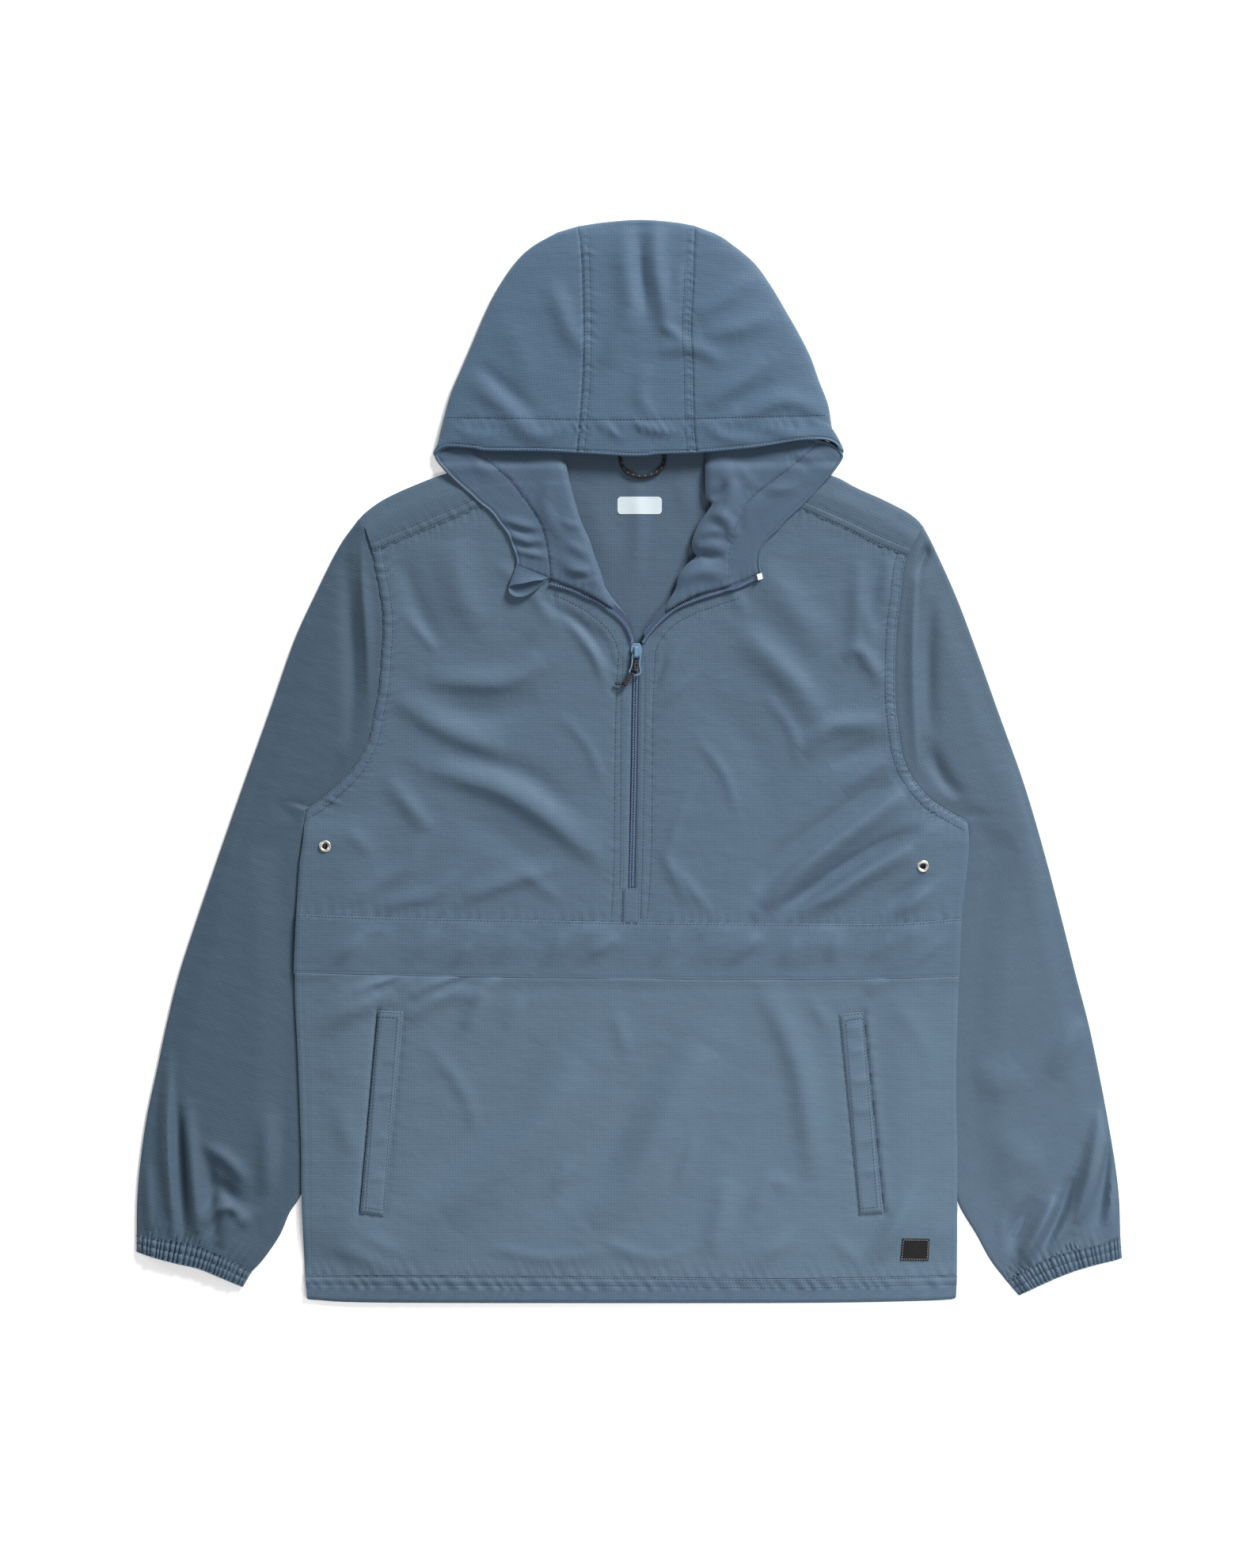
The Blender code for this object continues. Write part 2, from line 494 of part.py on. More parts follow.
def fold_height(x, y, folds):
    """What the folds add at a place: each is soft across and fades out at its ends."""
    total = 0.0
    place = np.array((x, y), dtype=float)
    for rise, width, line in folds:
        starts = line[:-1]
        steps = np.diff(line, axis=0)
        size = (steps ** 2).sum(axis=1)
        t = np.clip(((place - starts) * steps).sum(axis=1) / size, 0, 1)
        away = np.linalg.norm(starts + t[:, None] * steps - place, axis=1)
        nearest = int(away.argmin())
        along = (nearest + t[nearest]) / len(size)
        fade = math.sin(math.pi * min(0.97, max(0.03, along))) ** 0.5
        total += rise * fade * math.exp(-(away[nearest] / width) ** 2)
    return total


FRONT_FOLDS = ready(FRONT_FOLDS)
POUCH_FOLDS = ready(POUCH_FOLDS)
HOOD_FOLDS = ready(HOOD_FOLDS)
SLEEVE_FOLDS = ready(SLEEVE_FOLDS)


def side_distance(x, y):
    """How far a place lies inside the body's side edge."""
    line = SIDE_LEFT if x < 0 else SIDE_RIGHT
    edge = np.interp(y, [row[1] for row in line], [row[0] for row in line])
    return abs(edge) - abs(x)


def lift(x, y):
    """The body's side edges rise over the sleeves that they lie on."""
    shoulder_side = ease((LIFT_TOP - y) / 32)
    hem_side = ease((y - LIFT_BOTTOM) / 38)
    inside = ease((74 - side_distance(x, y)) / 46)
    return BODY_LIFT * shoulder_side * hem_side * inside


def front_air(x, y):
    """Air under the chest: little at the side seams, held by the zip, with the folds between."""
    open_side = ease((y + 60) / 60)
    inside = max(ease(side_distance(x, y) / 60), 0.75 * open_side)
    loose = ease((abs(x - 4) - 14) / 26)
    near_flap = ease((y + 149) / 30)
    folds = fold_height(x, y, FRONT_FOLDS) * loose * (0.3 + 0.7 * near_flap) * inside
    air = PLACKET_AIR + (CHEST_AIR - PLACKET_AIR) * loose + folds
    return max(SIDE_AIR, SIDE_AIR + (air - SIDE_AIR) * inside)


def pouch_air(x, y):
    inside = ease(side_distance(x, y) / 60)
    near_flap = ease((-190 - y) / 30)
    near_hem = ease((y + 456) / 30)
    folds = fold_height(x, y, POUCH_FOLDS) * near_flap * (0.3 + 0.7 * near_hem)
    air = PLACKET_AIR + (CHEST_AIR - PLACKET_AIR) * near_flap * near_hem + folds
    return max(SIDE_AIR, SIDE_AIR + (air - SIDE_AIR) * inside)


# ---------------------------------------------------------------- sleeves and cuffs


def sleeve(name, armhole, outer, inner, seam, sign):
    """A flattened sleeve: open along the armhole, then a tube down to the cuff seam."""
    near = joined(moved(armhole[::-1], sign * 1.3 * GAP), spaced(inner, SLEEVE_ROWS))
    near[len(armhole) - 1] = inner[0]
    near[0] += (near[1] - near[0]) * 0.2
    outline = smooth(outer)
    slope = np.array([sign * 0.3, -1.0])           # rows rise outwards, square to the sleeve
    end = smooth(seam)[::-1]
    ends = lengths(end)
    plan = []
    for place in near:
        beyond = (outline - place) @ slope
        fold = [np.interp(0, beyond, outline[:, axis]) for axis in (0, 1)]
        plan.append([place + (np.array(fold) - place) * share for share in UPPER])
    plan = np.array(plan)
    plan[-1, -1] = outer[-1]
    straight = plan[-1].copy()
    for index, share in enumerate(UPPER):
        target = np.array([np.interp(share, ends, end[:, axis]) for axis in (0, 1)])
        chord = straight[0] + (straight[-1] - straight[0]) * share
        bow = target - chord
        for row in plan:
            row[index] += bow * ease(1 - abs(row[index][1] - target[1]) / 70)

    def top(x, y, share, width, index):
        beneath = ease((LIFT_TOP - 2 - y) / 30) * ease((y - LIFT_BOTTOM + 2) / 40)
        under_arm = ease((LIFT_TOP + 18 - y) / 30)
        near_rise = max(1 - under_arm, ease((share * width - 22 * beneath) / 34))
        rise = min(ease((1 - share) * width / 26), near_rise)
        return SLEEVE_FLAT + SLEEVE_RISE * rise + fold_height(x, y, SLEEVE_FOLDS) * rise

    return folded(name, plan, top, closed_from=len(armhole) - 1)


def cuff(name, seam, end, sign):
    """An elastic casing: gathers on its upper side, flat below."""
    count = len(CUFF_STATIONS)
    upper = moved(even(seam, count), sign * GAP * 2)[::-1]
    lower = even(end, count)[::-1]
    plan = np.array([upper + (lower - upper) * share for share in (0.0, 0.5, 1.0)])

    def body(share):
        return CUFF_LOW + CUFF_RISE * ease(min(share, 1 - share) / 0.14)

    def top(x, y, share, width, index):
        ripple = GATHER * math.cos(2 * math.pi * round(share * (count - 1)) / 3)
        return body(share) + 0.4 + ripple * (1 - 0.2 * index)

    return folded(name, plan, top, closed_from=0, stations=CUFF_STATIONS,
                  under=lambda x, y, share, width, index: body(share) - 0.9)


ARM_LEFT = joined(even(ARMHOLE_LEFT, ARM_POINTS), even(YOKE_END_LEFT, YOKE_END_POINTS))
ARM_RIGHT = joined(even(ARMHOLE_RIGHT, ARM_POINTS), even(YOKE_END_RIGHT, YOKE_END_POINTS))
sleeve("sleeve_left", ARM_LEFT, SLEEVE_OUTER_LEFT, SLEEVE_INNER_LEFT, CUFF_SEAM_LEFT, -1)
sleeve("sleeve_right", ARM_RIGHT, SLEEVE_OUTER_RIGHT, SLEEVE_INNER_RIGHT, CUFF_SEAM_RIGHT, 1)
cuff("cuff_left", CUFF_SEAM_LEFT, CUFF_END_LEFT, -1)
cuff("cuff_right", CUFF_SEAM_RIGHT, CUFF_END_RIGHT, 1)

# ---------------------------------------------------------------- back


def back_side(side, arm):
    """A body edge from the hem seam to the shoulder, with the armhole's shared points."""
    return joined(spaced(side, SIDE_ROWS), arm)


def back_panel():
    shoulders = joined(smooth(SHOULDER_LEFT), smooth(NECK_SEAM), smooth(SHOULDER_RIGHT)[::-1])
    plan = patch(spaced(HEM_SEAM, BACK_ACROSS), spaced(shoulders, BACK_ACROSS),
                 back_side(SIDE_LEFT, ARM_LEFT), back_side(SIDE_RIGHT, ARM_RIGHT))
    top = np.array([[(x, y, lift(x, y) + WALL) for x, y in row] for row in plan])
    wall("back_panel", top, top - np.array([0, 0, WALL]), RIPSTOP)


def hem_plan(columns):
    """A hem strip's plan, just clear of the seam above it."""
    lower = even(HEM_EDGE, columns)
    upper = moved(even(HEM_SEAM, columns), -GAP)
    return patch(lower, upper, np.array([lower[0], upper[0]]), np.array([lower[-1], upper[-1]]))


back_panel()
lay("hem_back", hem_plan(HEM_BACK_COLUMNS), (), lambda x, y: -GAP)

# ---------------------------------------------------------------- chest, yokes, pouch and flap


def front_panel(name, side, armhole, yoke_seam, placket, roll):
    """A chest front from the flap to the yoke seam; its inner edge follows the zip and the roll."""
    flap_y = placket[0][1]
    side_points = [(np.interp(flap_y + 2, [p[1] for p in side], [p[0] for p in side]), flap_y + 2)]
    side_points += [point for point in side if point[1] > flap_y + 4]
    outer = joined(even(side_points, CHEST_ROWS), even(armhole, ARM_POINTS))
    neck = [point for point in roll if point[1] < 250]
    top_corner = neck[-1]
    inner_edge = np.vstack([smooth(placket), smooth(neck)[1:]])
    count = len(outer)
    inner = np.stack([np.interp(np.linspace(0, 1, count), lengths(inner_edge), inner_edge[:, axis])
                      for axis in (0, 1)], axis=1)
    top_curve = joined(even(yoke_seam, YOKE_COLUMNS), even([yoke_seam[-1], top_corner], NECK_COLUMNS))
    floor_curve = even([outer[0], inner[0]], len(top_curve))
    plan = patch(floor_curve, top_curve, outer, inner)
    return lay(name, plan, ("back_panel",), front_air)


def yoke(name, yoke_seam, shoulder, end, neck_point, sign):
    """A shoulder yoke, clear of the chest seam below it."""
    seam = moved(even(yoke_seam, YOKE_COLUMNS), sign * 1.3 * GAP)
    edge = even(shoulder, YOKE_COLUMNS)
    start = np.array([seam[0], end[1], edge[0]])
    finish = np.array([seam[-1], neck_point, edge[-1]])
    return lay(name, patch(seam, edge, start, finish), ("back_panel",), yoke_air)


def yoke_air(x, y):
    """A yoke lies close to the back along the shoulder and as high as the chest at its seam."""
    line = sorted(SHOULDER_LEFT if x < 0 else SHOULDER_RIGHT)
    edge = np.interp(x, [row[0] for row in line], [row[1] for row in line])
    return SIDE_AIR + (front_air(x, y) - SIDE_AIR) * ease((edge - y) / 22)


front_left = front_panel("front_left", SIDE_LEFT, ARMHOLE_LEFT, YOKE_SEAM_LEFT, PLACKET_LEFT, ROLL_LEFT)
front_right = front_panel("front_right", SIDE_RIGHT, ARMHOLE_RIGHT, YOKE_SEAM_RIGHT, PLACKET_RIGHT,
                          ROLL_RIGHT)
yoke("yoke_left", YOKE_SEAM_LEFT, SHOULDER_LEFT, YOKE_END_LEFT, (-98.5, 253), 1)
yoke("yoke_right", YOKE_SEAM_RIGHT, SHOULDER_RIGHT, YOKE_END_RIGHT, (107, 254), -1)

pouch_low = moved(even(HEM_SEAM, POUCH_COLUMNS), GAP)
pouch_high = moved(even(POUCH_TOP, POUCH_COLUMNS), -GAP)
lay("pouch_panel", patch(pouch_low, pouch_high, even(POUCH_SIDE_LEFT, POUCH_ROWS),
                         even(POUCH_SIDE_RIGHT, POUCH_ROWS)),
    ("back_panel",), pouch_air)
lay("hem_front", hem_plan(POUCH_COLUMNS), ("back_panel", "hem_back"),
    lambda x, y: pouch_air(x, y) * ease((y + 490) / 45))


def along_flap(x, y):
    """The flap lies on the pouch and stands off it a little at its free lower edge."""
    return 0.2 + 1.2 * ease((-150 - y) / 40) * ease(side_distance(x, y) / 30)


flap_low = even(FLAP_BOTTOM, POUCH_COLUMNS)
flap_high = even(FLAP_TOP, POUCH_COLUMNS)
lay("pocket_flap", patch(flap_low, flap_high, even([flap_low[0], flap_high[0]], FLAP_ROWS),
                         even([flap_low[-1], flap_high[-1]], FLAP_ROWS)),
    ("front_left", "front_right", "pouch_panel"), along_flap)

# ---------------------------------------------------------------- pieces sewn on the front


def quad(name, corners, counts, under, air, look, thickness, reach):
    """A four-cornered piece laid on what is there: corners run round it from the lower left."""
    low_left, low_right, high_right, high_left = [np.array(corner, dtype=float) for corner in corners]
    plan = patch(even([low_left, low_right], counts[0]), even([high_left, high_right], counts[0]),
                 even([low_left, high_left], counts[1]), even([low_right, high_right], counts[1]))
    return lay(name, plan, under, air, look, thickness, reach)


def close(x, y):
    """No air: the piece is sewn flat."""
    return 0.1


quad("welt_left", WELT_LEFT, (3, 12), ("pouch_panel",), close, RIPSTOP, WALL, 5)
quad("welt_right", WELT_RIGHT, (3, 12), ("pouch_panel",), close, RIPSTOP, WALL, 5)
quad("hem_patch", HEM_PATCH, (3, 3), ("pouch_panel",), close, PATCH, THIN, 5)


def eyelet(name, place, front, under):
    """Cut the hole through a front and lay a metal ring round it."""
    bpy.ops.mesh.primitive_cylinder_add(vertices=16, radius=HOLE_RADIUS * MM, depth=0.04,
                                        location=(place[0] * MM, place[1] * MM, 0))
    cutter = bpy.context.object
    cutter.name = name + "_cutter"
    cutter.hide_render = True
    cutter.display_type = "WIRE"
    cut = front.modifiers.new("eyelet_hole", "BOOLEAN")
    cut.operation = "DIFFERENCE"
    cut.solver = "EXACT"
    cut.object = cutter
    base = height(*place, (under,), EYELET_RADIUS) + GAP

    def turned(profile):
        return [[(place[0] + radius * math.cos(turn), place[1] + radius * math.sin(turn), base + rise)
                 for turn in np.arange(EYELET_SIDES) * 2 * math.pi / EYELET_SIDES]
                for radius, rise in profile]

    crown = turned([(EYELET_RADIUS, 0.0), (EYELET_RADIUS - 0.8, EYELET_HEIGHT),
                    (HOLE_RADIUS + 0.9, EYELET_HEIGHT), (HOLE_RADIUS + 0.2, 0.2)])
    foot = turned([(EYELET_RADIUS - 0.4, 0.0), (EYELET_RADIUS - 1, 0.0), (HOLE_RADIUS + 0.9, 0.0),
                   (HOLE_RADIUS + 0.4, 0.0)])
    wall(name, crown, foot, NICKEL, ring=True)


eyelet("eyelet_left", EYELET_LEFT, front_left, "front_left")
eyelet("eyelet_right", EYELET_RIGHT, front_right, "front_right")

# ---------------------------------------------------------------- lapels and the open zip


def lapel(side, edge, roll, tape, tip, far_corner):
    """A hood front turned out over the chest: its inner face is up and its roll edge is full."""
    lower = even([point for point in tape if abs(point[0]) > abs(tip[0]) + 3] + [tip], LAPEL_COLUMNS)
    outer_side = even(list(edge) + [far_corner], LAPEL_ROWS)
    inner_side = even([tip] + [point for point in roll if point[1] > tip[1] + 6], LAPEL_ROWS)
    upper = even([far_corner, roll[-1]], LAPEL_COLUMNS)

    def air(x, y):
        """Fuller towards the roll line, and a raised casing along the outer edge."""
        away = np.linalg.norm(inner_side - (x, y), axis=1).min()
        from_edge = np.linalg.norm(outer_side - (x, y), axis=1).min()
        full = LAPEL_ROLL * math.exp(-((away - 12) / 16) ** 2)
        casing = CASING_STEP * (1 - ease((from_edge - CASING_WIDTH) / 6))
        return 0.3 + full * ease(away / 6) + casing

    lay("lapel_" + side, patch(lower, upper, outer_side, inner_side),
        ("back_panel", "front_" + side, "yoke_" + side), air,
        ground=lambda x, y: WALL + 4.4 * ease((271 - y) / 14))


lapel("left", LAPEL_EDGE_LEFT, ROLL_LEFT, TAPE_LEFT, (-13, 137.5), (-146, 286))
lapel("right", LAPEL_EDGE_RIGHT, ROLL_RIGHT, TAPE_RIGHT, (30, 133.5), (160, 287))


def open_zip(side, tape, chain, sign):
    """The open zip end: tape along the lapel's lower edge, with its half of the coil on it."""
    middle = even(chain, OPEN_ZIP_POINTS)
    inner = moved(even(tape, OPEN_ZIP_POINTS), sign * 1.4 * GAP)
    outer = moved(middle, sign * COIL_WIDTH / 2)
    plan = patch(outer, inner, outer[[0, 0]] + (inner[0] - outer[0]) * [[0], [1]],
                 outer[[-1, -1]] + (inner[-1] - outer[-1]) * [[0], [1]])
    lay("zip_tape_" + side, plan, ("front_" + side,), close, TAPE, THIN, 6)
    high = moved(middle, -sign * COIL_WIDTH * 0.45)
    low = moved(middle, sign * COIL_WIDTH * 0.45)
    plan = patch(low, high, np.array([low[0], high[0]]), np.array([low[-1], high[-1]]))
    lay("zip_coil_" + side, plan, ("zip_tape_" + side, "front_" + side),
        close, COIL, COIL_HEIGHT, 6)


open_zip("left", TAPE_LEFT[1:], CHAIN_LEFT, -1)
open_zip("right", TAPE_RIGHT, CHAIN_RIGHT, 1)
quad("zip_end_stop", END_STOP, (2, 2), ("front_right", "zip_tape_right", "zip_coil_right"), close, STOP,
     STOP_HEIGHT, 3)

# ---------------------------------------------------------------- hood


def hood_height(x, y):
    table = np.array(HOOD_HEIGHTS)
    return float(np.interp(y, table[:, 0], table[:, 1])) + fold_height(x, y, HOOD_FOLDS)


def hood_side(name, seam, outline, sign):
    """A hood side panel: from its seam with the centre strip, out round the fold and back below."""
    near = moved(spaced(seam, CENTRE_STATIONS), sign * GAP)
    fold = spaced(outline, CENTRE_STATIONS)
    plan = [[a + (b - a) * share for share in HOOD_STATIONS] for a, b in zip(near, fold)]

    def top(x, y, share, width, index):
        return EDGE + 1.4 + (hood_height(x, y) - EDGE - 1.4) * (1 - share ** 3) ** 0.6

    folded(name, np.array(plan), top, stations=HOOD_STATIONS)


def hood_centre():
    """The hood's centre strip: from the mouth over the crown and down the back to the neck seam."""
    mouth = even([point for point in HOOD_MOUTH if -47 < point[0] < 60], 7)
    crown = even(HOOD_CROWN, 7)
    left = spaced(HOOD_SEAM_LEFT, CENTRE_STATIONS)
    right = spaced(HOOD_SEAM_RIGHT, CENTRE_STATIONS)
    plan = patch(mouth, crown, left, right)
    folded("hood_centre", plan.transpose(1, 0, 2),
           lambda x, y, share, width, index: max(EDGE + 1.4, hood_height(x, y)),
           stations=CENTRE_STATIONS, floor=CENTRE_FLOOR)


hood_side("hood_left", HOOD_SEAM_LEFT, HOOD_SIDE_LEFT, 1)
hood_side("hood_right", HOOD_SEAM_RIGHT, HOOD_SIDE_RIGHT, -1)
hood_centre()


# ---------------------------------------------------------------- the closed zip and small pieces


def ribbon(name, line, half_width, low, high, look, count):
    """A flat strip along a plan curve, between two heights."""
    middle = even(line, count)
    sides = np.stack([moved(middle, -half_width), moved(middle, half_width)], axis=1)
    top = np.array([[(x, y, high) for x, y in row] for row in sides])
    wall(name, top, top - np.array([0, 0, high - low]), look)


ribbon("zip_tape", [(1, -139)] + ZIP_LINE, TAPE_HALF, TAPE_TOP - THIN, TAPE_TOP, TAPE, CLOSED_TAPE_POINTS)
ribbon("zip_coil", ZIP_LINE, COIL_WIDTH / 2, TAPE_TOP + GAP, TAPE_TOP + GAP + COIL_HEIGHT, COIL,
       CLOSED_COIL_POINTS)
quad("zip_box", ZIP_BOX, (4, 4), ("front_left", "front_right"), close, RIPSTOP, THIN, 7)


def prism(name, lower, upper):
    """A solid between two like outlines."""
    count = len(lower)
    faces = [tuple(range(count)), tuple(range(2 * count - 1, count - 1, -1))]
    faces += [(i, (i + 1) % count, (i + 1) % count + count, i + count) for i in range(count)]
    return keep(list(lower) + list(upper), faces, name, PAINT)


def slider():
    """The slider's plate with its bridge; the tab's bar turns in the tunnel under the bridge."""
    x, y, z = HINGE
    outline = [(x + half, y + ahead) for half, ahead in SLIDER_PLATE]
    outline += [(x - half, y + ahead) for half, ahead in reversed(SLIDER_PLATE)]
    body = prism("zip_slider", [(*place, z - 2.3) for place in outline],
                 [(*place, z - 1.1) for place in outline])
    bridge = prism("slider_bridge", [(x - BRIDGE_HALF, y + ahead, z + up) for ahead, up in SLIDER_BRIDGE],
                   [(x + BRIDGE_HALF, y + ahead, z + up) for ahead, up in SLIDER_BRIDGE])
    bridge.hide_render = True
    bridge.display_type = "WIRE"
    join = body.modifiers.new("bridge", "BOOLEAN")
    join.operation = "UNION"
    join.solver = "EXACT"
    join.object = bridge


def keyhole(rows):
    """A closed outline from a table's rows, at even steps."""
    x, y = HINGE[:2]
    right = [(x + middle + half, y + ahead) for ahead, middle, half in rows]
    left = [(x + middle - half, y + ahead) for ahead, middle, half in reversed(rows)]
    closed = np.array(right + left + right[:1])
    along = lengths(closed)
    return [tuple(np.interp(share, along, closed[:, axis]) for axis in (0, 1))
            for share in np.arange(TAB_POINTS) / TAB_POINTS]


def pull_tab():
    """A keyhole frame: its upper bar is the hinge pin, its round end leans to the left."""
    outer = keyhole(TAB_OUTER)
    inner = keyhole(TAB_INNER)
    low = HINGE[2] - BAR / 2
    high = HINGE[2] + BAR / 2
    points = [(*place, z) for ring, z in ((outer, low), (outer, high), (inner, high), (inner, low))
              for place in ring]
    faces = []
    for ring in range(4):
        near = ring * TAB_POINTS
        far = (ring + 1) % 4 * TAB_POINTS
        for i in range(TAB_POINTS):
            after = (i + 1) % TAB_POINTS
            faces.append((near + i, near + after, far + after, far + i))
    keep(points, faces, "zip_pull_tab", PAINT)


def cord(name, route, radius, spacing):
    """A round cord on a smooth curve through its route."""
    run = np.linalg.norm(np.diff(smooth(route), axis=0), axis=1).sum()
    points = even(route, int(run / spacing) + 1)
    data = bpy.data.curves.new(name, "CURVE")
    data.dimensions = "3D"
    data.bevel_depth = radius * MM
    data.bevel_resolution = 2
    data.use_fill_caps = True
    spline = data.splines.new("POLY")
    spline.points.add(len(points) - 1)
    for target, point in zip(spline.points, points):
        target.co = (*(point * MM), 1)
    data.materials.append(CORD)
    bpy.context.collection.objects.link(bpy.data.objects.new(name, data))


def knot(name, place, way, major, minor):
    """A turn of cord pulled round the strand that runs through it."""
    axis = Vector(way).normalized()
    one = axis.orthogonal().normalized()
    other = axis.cross(one)
    points = []
    faces = []
    for row in range(KNOT_SIDES):
        turn = 2 * math.pi * row / KNOT_SIDES
        out = one * math.cos(turn) + other * math.sin(turn)
        here = row * KNOT_ROUND
        there = (row + 1) % KNOT_SIDES * KNOT_ROUND
        for column in range(KNOT_ROUND):
            around = 2 * math.pi * column / KNOT_ROUND
            after = (column + 1) % KNOT_ROUND
            points.append(Vector(place) + out * (major + minor * math.cos(around))
                          + axis * minor * math.sin(around))
            faces.append((here + column, here + after, there + after, there + column))
    keep(points, faces, name, CORD)


slider()
pull_tab()
cord("zip_pull_cord", PULL_ROUTE, CORD_RADIUS, 2.0)
knot("zip_pull_knot", (4.4, 80.4, 10.3), (1.2, 4, -0.4), 2.0, 0.65)
knot("zip_pull_end_knot", (-3.8, 69, 8.4), (3.6, 2.1, 1.0), 1.95, 0.6)
cord("hang_loop", [(x, y, WALL + GAP + LOOP_RADIUS + 0.1) for x, y in LOOP_ROUTE], LOOP_RADIUS, 5.0)


def casing_end():
    """The open end of the hem casing, curled out at the left lapel's lower corner."""
    seam = spaced(CASING_SEAM, CASING_STATIONS)
    lip = spaced(CASING_LIP, CASING_STATIONS)
    plan = np.array([seam + (lip - seam) * share for share in (0, 0.5, 1)])
    rest = max(height(x, y, ("front_left",), 3) for row in plan for x, y in row) + GAP
    folded("casing_end", plan, lambda x, y, share, width, index: 3.0 + 1.2 * math.sin(math.pi * share),
           closed_from=0, stations=CASING_STATIONS, rest=rest)


casing_end()
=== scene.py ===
# %% [markdown]
# # A hooded half-zip windbreaker, laid flat
#
# The real pullover is sewn from one light woven cloth with a fine square rib in it. It lies on its back, seen
# from straight above. The solids of the part give each cut piece its place and its thickness. This script
# lays a thin, finely divided shell of cloth over each of them, with the creases, puckers and stitches that
# only show from close by, and then adds the zip, the cords and the light.

import math

import bmesh
import bpy
import numpy as np
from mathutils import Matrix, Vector
from mathutils.bvhtree import BVHTree


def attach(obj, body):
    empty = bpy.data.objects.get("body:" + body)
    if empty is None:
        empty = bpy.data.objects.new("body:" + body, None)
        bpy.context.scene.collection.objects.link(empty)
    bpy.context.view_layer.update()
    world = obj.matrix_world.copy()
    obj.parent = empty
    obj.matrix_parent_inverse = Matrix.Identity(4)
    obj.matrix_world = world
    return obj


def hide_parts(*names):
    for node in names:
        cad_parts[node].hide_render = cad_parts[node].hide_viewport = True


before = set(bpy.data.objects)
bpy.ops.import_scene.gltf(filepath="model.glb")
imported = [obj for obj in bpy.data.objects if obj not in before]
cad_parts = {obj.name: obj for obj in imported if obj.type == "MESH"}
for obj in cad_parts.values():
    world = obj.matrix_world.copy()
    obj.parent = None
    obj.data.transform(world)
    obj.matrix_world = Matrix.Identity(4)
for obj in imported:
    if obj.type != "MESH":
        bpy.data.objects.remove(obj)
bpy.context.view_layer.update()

# %% [markdown]
# ## The camera
#
# The photo is a cut-out seen from straight above, so the camera looks straight down. A long lens keeps the
# view nearly free of perspective. One pixel of the photo is 0.7 mm on the cloth, which fixes how much the
# long side of the sensor takes in.

# %% Camera
MM = 0.001
PIXEL = 0.7                       # mm of cloth in a pixel of the photo
PHOTO_SIZE = (1584, 1980)
ORIGIN_PIXEL = (795, 961.5)       # where the part's origin lies in the photo
LENS = 120
SENSOR = 36
CLOTH_HEIGHT = 0.005

camera_data = bpy.data.cameras.new("camera")
camera_data.lens = LENS
camera_data.sensor_width = SENSOR
camera_data.clip_end = 50
camera = bpy.data.objects.new("camera", camera_data)
bpy.context.collection.objects.link(camera)
reach = PHOTO_SIZE[1] * PIXEL * MM * LENS / SENSOR
camera.location = ((PHOTO_SIZE[0] / 2 - ORIGIN_PIXEL[0]) * PIXEL * MM,
                   (ORIGIN_PIXEL[1] - PHOTO_SIZE[1] / 2) * PIXEL * MM, reach + CLOTH_HEIGHT)
bpy.context.scene.camera = camera
print("camera", round(reach, 3), "m above the cloth")

# %% [markdown]
# ## The pattern
#
# Every piece is drawn in plan, in millimetres, by the curves of its borders: x to the viewer's right and y
# towards the hood. They are the same curves that the part's own solids are made from, so a shell lands on
# its solid.

# %% Heights and thicknesses, in mm
CLOTH = 0.5
GRID = 2.4                        # spacing of the points on a shell
LAYER = 1.3                       # how much one piece of cloth lies above the one below it
PLACKET_AIR = 2.6                 # air under the fronts beside the zip,
SIDE_AIR = 0.5                    # at the side edges
CHEST_AIR = 3.4                   # and in the middle of each front
SLEEVE_FLAT = 2.8                 # a sleeve's upper layer near its folds
SLEEVE_RISE = 3.1                 # how much higher it lies further in
BODY_LIFT = 3.2                   # how far the body's side edges rise over the sleeves
LIFT_TOP = -48                    # the stretch of the side edges, in y, that lies on a sleeve
LIFT_BOTTOM = -438
EDGE = 1.4                        # the height at which a fold turns
print("points lie", GRID, "mm apart on a shell", CLOTH, "mm thick")

# %% Border curves
SIDE_LEFT = [
    (-287, -454), (-290, -386), (-290.5, -338), (-293.5, -258), (-296, -202), (-297, -167), (-294.5, -132),
    (-292, -93), (-289, -71), (-286.5, -42),
]
SIDE_RIGHT = [
    (290, -454), (290, -386), (290, -338), (289, -286), (290.5, -216), (292.5, -167), (294.5, -129),
    (298, -101), (300.5, -75), (299.5, -53),
]
ARMHOLE_LEFT = [
    (-286.5, -42), (-276, -35.5), (-260.5, -22.5), (-245.5, -7.5), (-236, 7.5), (-229.5, 22.5),
    (-225.5, 42.5), (-221, 67), (-218.5, 98.5), (-217.5, 123), (-220, 147.5), (-224, 167.5), (-227.5, 186),
]
ARMHOLE_RIGHT = [
    (299.5, -53), (283, -44), (266, -33), (250, -14), (241.5, 5.5), (237.5, 31), (235, 56.5), (235, 91.5),
    (236.5, 121), (239.5, 144), (242, 168.5), (245.5, 182),
]
YOKE_END_LEFT = [(-227.5, 186), (-233, 205), (-239.5, 214)]
YOKE_END_RIGHT = [(245.5, 182), (252.5, 194), (259.5, 208)]
SHOULDER_LEFT = [
    (-239.5, 214), (-232.5, 221), (-217.5, 231.5), (-195.5, 242), (-164.5, 254), (-136.5, 261), (-100, 265),
]
SHOULDER_RIGHT = [
    (259.5, 208), (255.5, 213), (245, 221), (224.5, 231.5), (201, 242), (180, 252.5), (143.5, 261),
    (106, 265.5),
]
